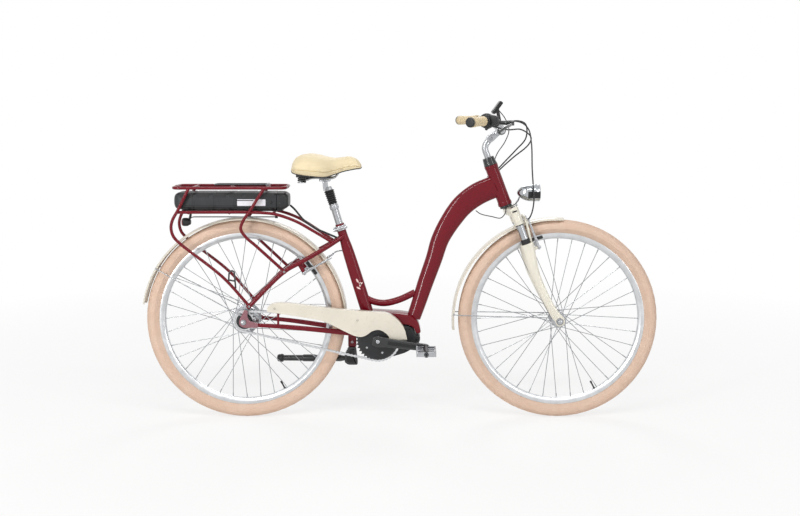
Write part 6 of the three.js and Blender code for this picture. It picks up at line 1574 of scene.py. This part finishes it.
def brake_arm(end, hand, side, up, out, centre):
    """A forged arm with its pad, spring wire and bolts."""
    piece = Piece(f"{end}_caliper_{hand}")
    pivot = hinge(f"{end}_arm_{hand}_swing")

    def spot(rise, y=pivot[1], proud=4.8):
        return at_y(pivot + up * rise + out * proud, y)

    rows = curve([(-9, 0.6), (-5, 1.05), (0, 1.3), (10, 1.2), (30, 1), (61, 0.85), (100, 0.75),
                  (110, 0.66), (112, 0.5)], 4)
    piece.loft([box_ring(spot(rise), out, Y, 4.5 * min(share, 1), 4.2 * share, 1.8, 3)
                for rise, share in rows], ALLOY, soft=0.5)
    piece.turned([(0, -4), (5.2, -4), (5.2, 5), (4, 6.4), (0, 6.4)], spot(0, proud=6.8), out, SPOKE, 6, 0.3)
    piece.rod(pivot, pivot + out * 12.6, 4.3, SPOKE, 20, 0.5)
    wire = [spot(2, pivot[1] + side * 5.4, 2), spot(30, pivot[1] + side * 6, 1.6), spot(60, pivot[1] + side * 5, 2),
            spot(66, pivot[1] + side * 1.5, 2.4)]
    piece.tube(wire, 0.9, SPOKE, 8, 6)
    radial = unit((spot(PAD_RISE, 0) - centre) * at(1, 0, 1))
    tangent = at(radial[2], 0, -radial[0])
    pad = spot(PAD_RISE, side * 18.55)
    rows = [(-28, 0.8), (-27, 0.94), (-24, 1), (0, 1), (24, 1), (27, 0.94), (28, 0.8)]
    piece.loft([box_ring(pad + tangent * run, Y, radial, 4.25 * size, 5.5 * size, 2, 3) for run, size in rows], BLACK)
    piece.rod(pad + Y * side * 3, spot(PAD_RISE), 3.4, SPOKE, 18)
    piece.turned([(0, 0), (6, 0), (6, 2.4), (4.6, 4.4), (0, 4.4)], spot(PAD_RISE, side * 28),
                 Y * side, ALLOY, 28, 0.4)
    piece.turned([(0, 0), (5.6, 0), (5.6, 4), (3, 5), (0, 5)], spot(PAD_RISE, side * 44.2), Y * side, SPOKE, 6, 0.3)
    piece.make(f"{end}_arm_{hand}", f"{end}_brake_arm_{hand}", slot="bright_alloy")


def brakes():
    for hand, side in HANDS:
        brake_arm("front", hand, side, FORK_UP, FORK_AHEAD, FRONT)
        brake_arm("rear", hand, side, STAY_LINE, along_joint("rear_arm_left_swing"), REAR)


# Cockpit
BAR_HALF, LEVER_SHARE = 305, 0.475
CLAMP_BOLT = unit(at(0.7, 0, -0.7))
LEVER_REACH = [(-0.08, 0.3, -0.04), (-0.3, 0.8, -0.12), (-0.55, 1.1, -0.26)]
STEM_PIVOT = on_fork(-226, 0) + at(24.1, 0, 26.1)
BAR_CENTRE = STEM_PIVOT + at(37, 0, 29)
BAR_ROWS = [(0, 0.15, 0), (-0.06, 0.262, 0.1), (-0.24, 0.426, 0.26), (-0.42, 0.525, 0.34), (-0.66, 0.656, 0.36),
            (-1.3, 1, 0.32)]


def bar_point(side, row):
    back, out, rise = row
    return BAR_CENTRE + at(back * UNIT, side * out * BAR_HALF, rise * UNIT)


def along_bar(side, share, row=4):
    """The place on one of the bar's straights at a share of its half width."""
    inner, end = bar_point(side, BAR_ROWS[row]), bar_point(side, BAR_ROWS[row + 1])
    return inner + (end - inner) * (share - BAR_ROWS[row][1]) / (BAR_ROWS[row + 1][1] - BAR_ROWS[row][1])


def stem():
    cap = Piece("headset_cap_rings")
    low, high = HEAD_LENGTH + 0.3, HEAD_LENGTH + 29
    cap.collar([(14.8, low), (24, low), (24.2, low + 4), (23.4, low + 6), (23.2, low + 7), (21.2, high - 4),
                (20, high), (12, high), (12, HEAD_LENGTH + 7), (14.8, HEAD_LENGTH + 7)], HEAD, FORK_UP,
               BLACK_METAL, 48, soft=0.7)
    cap.make("steering", "headset_cap", slot="black_metal")
    quill = Piece("stem_quill_tube")
    top = on_fork(-222, 0)
    route = rounded([on_fork(-30, 0), top, STEM_PIVOT], 26, steps=10)
    radii = graded(route, [0, 0.5, 0.8, 1], [10.8, 11.2, 11.2, 8.8])
    quill.loft([oval(spot, u, v, r if abs(u[1]) > 0.5 else 11.6, r if abs(v[1]) > 0.5 else 11.6, 36)
                for spot, (u, v), r in zip(route, frames(route), radii)], ALLOY, soft=0.6)
    quill.collar([(5.4, -8.9), (13.4, -8.9), (13.6, -8), (13.6, 8), (13.4, 8.9), (5.4, 8.9)],
                 STEM_PIVOT, Y, ALLOY, 44, 0.8)
    quill.make("steering", "stem_quill", slot="bright_alloy")
    arm = Piece("stem_arm_and_clamp")
    reach = BAR_CENTRE - STEM_PIVOT
    up = unit(np.cross(reach, Y))
    for side in SIDES:
        rows = [(-0.3, 6), (-0.26, 9), (-0.12, 12), (0.1, 12.8), (0.3, 12), (0.5, 11)]
        arm.loft([box_ring(STEM_PIVOT * at(1, 0, 1) + reach * share + Y * side * 12.5, Y, up, 3.1, high, 2, 3)
                  for share, high in rows], ALLOY, soft=0.6)
        arm.screw(STEM_PIVOT + Y * side * 16, Y * side, 7.4, SPOKE, 2.6)
    rows = [(0.36, 12.6, 10.6), (0.5, 15, 11), (0.7, 15.4, 11.4), (0.9, 16, 13), (1, 15, 14)]
    arm.loft([oval(STEM_PIVOT + reach * share, Y, up, wide, high, 36, 0.7)
              for share, wide, high in rows], ALLOY, soft=1)
    arm.collar([(11.4, -20), (15.6, -20), (17, -17), (17, 17), (15.6, 20), (11.4, 20)], BAR_CENTRE, Y, ALLOY, 48, 1.4)
    arm.rod(STEM_PIVOT - Y * 19, STEM_PIVOT + Y * 19, 4.9, SPOKE, 20)
    for side in SIDES:
        arm.screw(BAR_CENTRE + Y * side * 12 + CLAMP_BOLT * 14.6, CLAMP_BOLT, 3.6, SPOKE, 2.2)
    arm.make("steering", "stem_arm", slot="bright_alloy")


def handlebar():
    piece = Piece("handlebar_tube")
    right, left = ([bar_point(side, row) for row in BAR_ROWS] for side in SIDES)
    piece.tube(right[::-1] + [BAR_CENTRE] + left, 11, ALLOY, 32, 10)
    piece.make("steering", "handlebar", slot="bright_alloy")


def grip(hand, side):
    """Stitched leather over a shaped core, with a moulded end."""
    piece = Piece(f"grip_cover_{hand}")
    start, end = along_bar(side, 0.73 if side < 0 else 0.66), along_bar(side, 1)
    length = np.linalg.norm(end - start)
    profile = [(11.4, 0), (15.6, 0), (16.8, 2), (16.6, length * 0.12), (15.4, length * 0.3), (15.1, length * 0.45),
               (15.8, length * 0.62), (16.8, length * 0.8), (16.9, length - 3), (15.6, length - 0.6),
               (11.4, length - 0.6)]
    piece.collar(curve(profile, 3), start, end - start, GRIP, 48)
    for share in (0.03, 0.965):
        piece.collar([(12, -1.8), (16.9, -1.8), (17, 1.8), (12, 1.8)], start + (end - start) * share,
                     end - start, BLACK, 44, 0.8)
    piece.turned([(0, 0), (16.6, 0), (16.6, 3), (13.5, 5.4), (8, 6), (0, 6)], end - unit(end - start) * 0.2,
                 end - start, BLACK, 44, 1)
    towards = unit(end - start)
    under = unit(np.cross(towards, np.cross(towards, Z)))
    for way in (-0.22, 0.22):
        out = unit(under + np.cross(towards, under) * way)
        shares = np.linspace(0.08, 0.92, 30)
        radii = np.interp(shares * length, [a for _, a in profile[1:-1]], [r for r, _ in profile[1:-1]])
        line = np.array([start + towards * length * t + out * (r - 0.2) for t, r in zip(shares, radii)])
        stitches(piece, line, np.tile(out, (30, 1)), THREAD, 4)
    piece.make("steering", f"grip_{hand}", slot="grip_leather")


def grips():
    for hand, side in HANDS:
        grip(hand, side)


def shifter():
    axis = along_joint("shift_twist")
    start = along_bar(-1, 0.73)
    ring = Piece("twist_ring_ribs")
    ring.collar([(11.8, -0.4), (18.6, -0.4), (20.6, -3), (21, -12), (21.6, -14), (21.6, -14.9), (11.8, -14.9)], start,
                axis, BLACK, 48, 0.6)
    rib = loose_mesh("rib", lambda p: p.rod(at(20.6, 1.2, 0), at(20.6, 12.2, 0), 1.3, BLACK, 8, 0.5))
    mesh = around(rib, 22, BLACK)
    flat = unit(np.cross(axis, Z))
    ring.mesh(moved(mesh, start, (flat, -axis, np.cross(flat, -axis))), BLACK)
    ring.make("shift_ring", "twist_ring", slot="black_plastic")
    house = Piece("shifter_housing_shell")
    house.collar([(11.8, -15.4), (22.6, -15.4), (25.4, -18), (26, -26), (24.4, -35), (20, -39.6), (11.8, -40)], start,
                 axis, BLACK, 48, 1.2)
    flat = unit(at(-axis[2], 0, axis[0]))
    up = unit(np.cross(axis, flat))
    across = unit(np.cross(up, axis))
    rise = up if up[2] > 0 else -up
    middle = start - axis * 26.3
    rows = [(13, 19, 11.6), (24, 18.6, 11.2), (34, 15.6, 10), (39, 12.6, 8.4), (41, 8.4, 5.6)]
    house.loft([box_ring(middle + rise * high, across, axis, wide, deep, 4, 4)
                for high, wide, deep in rows], BLACK, soft=0.6)
    house.block(middle + rise * 30 - axis * 9.4, across, rise, 9, 5, 0.5, LABEL, 2, 0.2)
    house.make("steering", "shifter_housing", slot="black_plastic")


def levers():
    for hand, side in HANDS:
        place = along_bar(side, LEVER_SHARE, 2)
        tangent = unit(bar_point(side, BAR_ROWS[3]) - bar_point(side, BAR_ROWS[2]))
        pivot = hinge(f"lever_{hand}_pull")
        house = Piece(f"lever_bracket_{hand}")
        house.collar([(12, -5), (16.4, -5), (16.9, -2), (16.9, 2), (16.4, 5), (12, 5)], place, tangent,
                     BLACK_METAL, 40, 0.8)
        root, end = place + X * 12, pivot - X * 8.3
        rows = [(0, 0.95, 1), (0.2, 1, 0.98), (0.5, 0.96, 0.95), (0.75, 0.88, 0.92),
                (0.92, 0.58, 0.9), (1, 0.4, 0.88)]
        house.loft([box_ring(root + (end - root) * share, Y, Z, 9 * wide, 7 * high, 2.6, 4)
                    for share, wide, high in rows], BLACK_METAL, soft=0.4)
        house.screw(place - Z * 15 + X * 4, -Z, 3.4, SPOKE, 1.6)
        barrel = place + at(40, -side * 8.6, -1)
        house.turned([(0, 0), (3.8, 0), (3.8, 8), (2.9, 9), (2.9, 12), (0, 12)], barrel, -Y * side, SPOKE, 16, 0.4)
        house.make("steering", f"lever_housing_{hand}", slot="black_metal")
        blade = Piece(f"lever_blade_{hand}")
        bends = [at(back, side * out, rise) * UNIT for back, out, rise in LEVER_REACH]
        route = curve([pivot] + [pivot + bend for bend in bends], 10)
        high_row = graded(route, [0, 0.1, 0.5, 0.9, 1], [5.4, 4.6, 5.4, 4.4, 4])
        rings = []
        for spot, way, tall in zip(route, np.gradient(route, axis=0), high_row):
            square = unit(np.cross(way, Z))
            rings.append(oval(spot, square, unit(np.cross(square, way)), 3.0, tall, 24, 0.8))
        blade.loft(rings, BLACK_METAL, soft=0.8)
        blade.turned([(0, -7), (7.7, -7), (7.7, 7), (0, 7)], pivot, Z, BLACK_METAL, 32, 1.2)
        blade.screw(pivot + Z * 6.6, Z, 4, SPOKE, 0.5)
        blade.turned([(0, -6.2), (3.6, -5), (6, -2), (6.2, 0), (6, 2), (3.6, 5), (0, 6.2)],
                     route[-1], Y, BLACK_METAL, 28)
        blade.make(f"lever_{hand}", f"brake_lever_{hand}", slot="black_metal")


def display():
    piece = Piece("display_unit")
    tilt = math.radians(54)
    ahead = at(math.cos(tilt), 0, math.sin(tilt))
    up = at(-ahead[2], 0, ahead[0])
    centre = BAR_CENTRE + at(-14, 0, 81)
    rows = [(-1, 0.78, 0.6), (-0.96, 0.9, 0.86), (-0.86, 0.985, 0.98), (-0.4, 1, 1), (0.4, 1, 1), (0.86, 0.985, 0.98),
            (0.96, 0.9, 0.86), (1, 0.78, 0.6)]
    piece.loft([box_ring(centre + ahead * share * 26, Y, up, 31 * wide, 7 * high, 5, 5)
                for share, wide, high in rows], GLOSS)
    piece.block(centre + up * 6.7 + ahead * 3, Y, ahead, 24, 17, 0.35, GLOSS, 3, 0.15)
    for y in (-15, 0, 15):
        piece.turned([(0, -1), (4, -1), (4, 0.2), (3, 0.6), (0, 0.6)],
                     centre + up * 6.7 - ahead * 19.5 + Y * y, up, BLACK, 20)
    for side in SIDES:
        spot = BAR_CENTRE + Y * side * 27
        piece.collar([(11.3, -3), (14.6, -3), (14.9, 0), (14.6, 3), (11.3, 3)], spot, Y, BLACK, 40, 0.6)
        foot, head = spot + Z * 11, centre + Y * side * 27
        piece.loft([box_ring(foot + (head - foot) * t, Y, X, 2.9, 4 - 0.6 * math.sin(math.pi * t), 1.4)
                    for t in np.linspace(0, 1, 6)], BLACK)
        piece.screw(spot + at(10, 0, -10.5), CLAMP_BOLT, 2.4, SPOKE, 1.6)
    piece.make("steering", "display", slot="black_gloss")


LAMP_BACK = HEAD + at(41, 0, 43)
LAMP_STRIP = [(37, 30.2), (38, 30.8), (44, 31.3), (79, 31.5), (80.5, 31.2), (81.2, 30.8)]


def headlight():
    """A bright bullet shell, a rim, a fluted lens and a strap to the crown."""
    piece = Piece("headlight_shell")
    shape = [(0, 0), (3.6, 0.5), (8, 2.8), (13.6, 7.4), (19.2, 14), (24, 22), (27.6, 31), (29.8, 40), (30.8, 49),
             (30.9, 56), (30.9, 72), (30.2, 73), (30.2, 74.5), (30.9, 75.5), (30.6, 80), (29, 81.8),
             (26.8, 81.8), (26.4, 79), (0, 79)]
    piece.turned(shape, LAMP_BACK, X, CHROME, 72)
    piece.turned([(0, 78.6), (26.3, 78.6), (26.3, 79.6), (20, 80.8), (10, 81.6), (0, 81.9)],
                 LAMP_BACK, X, CLEAR_LENS, 56)
    ridge = loose_mesh("flute", lambda p: p.rod(at(9, 0, 0), at(24, 0, 0), 0.7, CLEAR_LENS, 6, 0.3))
    flutes = around(ridge, 24, CLEAR_LENS)
    piece.mesh(moved(flutes, LAMP_BACK + X * 80.6, (Z, X, Y)), CLEAR_LENS)
    for side in SIDES:
        bend = np.radians(np.linspace(-34, 12, 9))
        arc = [at(0, side * math.cos(a), math.sin(a)) for a in bend]
        piece.loft([[LAMP_BACK + X * run + way * radius for way in arc]
                    + [LAMP_BACK + X * run + way * 29.6 for way in arc[::-1]] for run, radius in LAMP_STRIP], GLOSS)
    rows = [(19, 36.5), (8.5, 36.5), (-8.5, 58.5), (-19, 62.5)]
    line = rounded([on_fork(down, ahead) for down, ahead in rows], 8, steps=5)
    piece.loft([box_ring(p, Y, v if abs(np.dot(u, Y)) > 0.5 else u, 8, 1.8, 1, 2)
                for p, (u, v) in zip(line, frames(line))], ALLOY, soft=0.5)
    piece.screw(on_fork(14, 38.4), FORK_AHEAD, 4.6, SPOKE, 1.8)
    piece.make("steering", "headlight", slot="chrome")


# Cables and hoses, as (ahead, left, up) from the head tube's lower end or from the rear axle
FRONT_BRAKE = [(-0.06, 1.24, 2.93), (0.2, 1.12, 2.98), (0.62, 0.8, 2.94), (0.86, 0.4, 2.7), (0.92, 0, 2.2),
               (0.92, -0.26, 1.3), (0.94, -0.42, 0.7), (0.95, -0.56, 0.2), (0.88, -0.62, -0.2), (0.79, -0.58, -0.42),
               (0.75, -0.46, -0.48)]
REAR_BRAKE = [(-0.06, -1.255, 2.93), (0.22, -1.12, 3.02), (0.6, -0.82, 2.9), (0.66, -0.5, 2.42), (0.36, 0.05, 1.95),
              (-0.02, 0.34, 1.5), (-0.46, 0.31, 1.02), (-0.72, 0.255, 0.66)]
SHIFT = [(-0.764, -1.888, 2.87), (-0.1, -1.5, 2.72), (0.4, -1.12, 2.72), (0.8, -0.7, 2.46), (0.78, -0.14, 2.14),
         (0.3, 0.42, 1.66), (-0.16, 0.43, 1.24), (-0.58, 0.35, 0.8), (-0.84, 0.255, 0.45)]
DISPLAY = [(-0.314, -0.197, 3.426), (-0.06, -0.24, 3.1), (0.1, -0.1, 2.7), (0, 0.26, 2.25), (-0.28, 0.34, 1.8),
           (-0.46, 0.33, 1.3), (-0.66, 0.25, 0.9)]
LIGHT = [(0.483, -0.1, 0.271), (0.42, -0.28, 0.16), (0.26, -0.33, 0.02), (0, -0.335, -0.08), (-0.04, -0.32, -0.28),
         (-0.19, -0.26, -0.45), (-0.5, -0.16, -0.41), (-0.9, -0.06, -0.32), (-1.06, 0, -0.21)]
BATTERY_LEAD = [(1.6, 0, 4.1), (1.76, 0, 3.95), (2.1, 0, 3.55), (2.5, 0, 3.27), (2.92, 0, 3.08), (3.33, 0, 2.9)]
NOODLE = [(3.68, 0.178, 2.34), (3.52, 0.44, 2.38), (3.3, 0.6, 2.36), (3.14, 0.57, 2.3), (3.1, 0.455, 2.27)]


def cable(name, node, points, centre, radius, bodies, finish=SHEATH, ferrules=True):
    """A sheathed cable, with a ferrule at each end when ferrules is set; held by a single body it rides with it, else
    it stays where it is made.
    """
    piece = Piece(name)
    route = piece.tube([centre + at(*point) * UNIT for point in points], radius, finish, 14, 12)
    if ferrules:
        for end, near in ((0, 3), (-1, -4)):
            way = unit(route[near] - route[end])
            piece.turned([(0, 0), (radius + 0.7, 0), (radius + 0.7, 7), (radius, 8), (0, 8)],
                         route[end], way, SPOKE, 18, 0.3)
    held = bodies[0] if len(bodies) == 1 else None
    hose = piece.make(held, node, slot="cable_sheath")
    if not held:
        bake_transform(hose)


def cables():
    cable("front_brake_hose", "front_brake_cable", FRONT_BRAKE, HEAD, 2.5, ("steering", "lowers"))
    cable("rear_brake_hose", "rear_brake_cable", REAR_BRAKE, HEAD, 2.5, ("steering", "frame"))
    cable("gear_hose", "shift_cable", SHIFT, HEAD, 2.5, ("steering", "frame"))
    cable("display_wire", "display_cable", DISPLAY, HEAD, 1.7, ("steering", "frame"), ferrules=False)
    cable("headlight_wire", "light_cable", LIGHT, HEAD, 1.7, ("steering", "frame"), ferrules=False)
    cable("battery_wire", "battery_lead", BATTERY_LEAD, REAR, 3.6, ("frame",), ferrules=False)
    cable("rear_brake_pipe", "rear_brake_noodle", NOODLE, REAR, 2.5, ("frame", "rear_arm_left"), ALLOY)


# Stage: pale floor, soft light and the photograph's view


def seen(tree):
    """1 where a ray comes from the camera, a mirror or glass, and 0 elsewhere."""
    path = tree.nodes.new("ShaderNodeLightPath")
    value = path.outputs["Is Camera Ray"]
    for ray in ("Is Glossy Ray", "Is Transmission Ray"):
        more = tree.nodes.new("ShaderNodeMath")
        more.operation = "MAXIMUM"
        tree.links.new(value, more.inputs[0])
        wire(tree, (path, ray, more, 1))
        value = more.outputs[0]
    return value


def backdrop():
    """A pale floor that the camera sees as white paper, with the object's soft shadow."""
    floor = Finish("floor_paper", Roughness=0.9, Specular_IOR_Level=0.1)
    floor.set(Base_Color=floor.mix(floor.noise(3, 2), tint("f1f1f0"), tint("f7f7f6")))
    away = floor.node("ShaderNodeVectorMath", {0: floor.place}, 1, operation="LENGTH")
    faded = floor.node("ShaderNodeMapRange",
                       {"Value": away, "From Min": 1.0, "From Max": 3.2, "To Min": 0.72, "To Max": 1.0})
    share = faded * Value(floor, seen(floor.tree))
    glow = floor.node("ShaderNodeEmission", {"Color": (1, 1, 1, 1), "Strength": 1.0})
    blend = floor.node("ShaderNodeMixShader", {0: share, 1: Value(floor, floor.shader.outputs[0]), 2: glow})
    floor.put(floor.tree.nodes["Material Output"].inputs["Surface"], blend)
    reach = 14
    mesh = bpy.data.meshes.new("floor")
    mesh.from_pydata([(-reach, -reach, 0), (reach, -reach, 0), (reach, reach, 0),
                      (-reach, reach, 0)], [], [(0, 1, 2, 3)])
    mesh.materials.append(floor.material)
    sheet = in_scene("floor", mesh)


def lamp(name, place, target, width, height, power):
    light = bpy.data.lights.new(name, "AREA")
    light.shape, light.size, light.size_y, light.energy = "RECTANGLE", width, height, power
    thing = in_scene(name, light)
    thing.location = place
    way = np.asarray(target, float) - np.asarray(place, float)
    thing.rotation_euler = (math.atan2(math.hypot(way[0], way[1]), -way[2]), 0, math.atan2(-way[0], way[1]))


def lights():
    lamp("key", (-2.3, -3.0, 1.7), (0, 0, 0.8), 0.26, 3.0, 52)
    lamp("fill", (2.9, -2.6, 1.6), (0, 0, 0.8), 0.3, 2.8, 20)
    lamp("top", (0, -1.7, 3.1), (0, 0, 0.6), 3.6, 0.24, 40)
    lamp("back", (0.4, 2.8, 3.0), (0, 0, 0.6), 1.6, 1.6, 36)
    world = bpy.data.worlds.new("studio")
    bpy.context.scene.world = world
    world.use_nodes = True
    tree = world.node_tree
    level = tree.nodes.new("ShaderNodeMapRange")
    tree.links.new(seen(tree), level.inputs["Value"])
    level.inputs["To Min"].default_value, level.inputs["To Max"].default_value = 0.42, 1.0
    tree.links.new(level.outputs[0], tree.nodes["Background"].inputs["Strength"])
    tree.nodes["Background"].inputs["Color"].default_value = (1, 1, 1, 1)
    bpy.context.scene.view_settings.view_transform = "Standard"


CAMERA = {"away": 3.572, "high": 1.1126, "pitch": 3.55}


def camera():
    lens = bpy.data.cameras.new("view")
    lens.lens, lens.sensor_width, lens.shift_y, lens.clip_end = 45, 36, -0.109, 60
    thing = in_scene("view", lens)
    thing.location = (0, -CAMERA["away"], CAMERA["high"])
    thing.rotation_euler = (math.radians(90 - CAMERA["pitch"]), 0, 0)
    bpy.context.scene.camera = thing


for part in (camera, cables, wheels, drive, main_frame, motor, carrier, carrier_clip, battery, dock, tail_light,
             fenders, chaincase, kickstand, seat_clamp, seat_post, bellows, seat_head, rails, finish_saddle,
             fork_crown, fork_lowers, brakes, stem, handlebar, grips, shifter, levers, display,
             headlight, backdrop, lights):
    part()
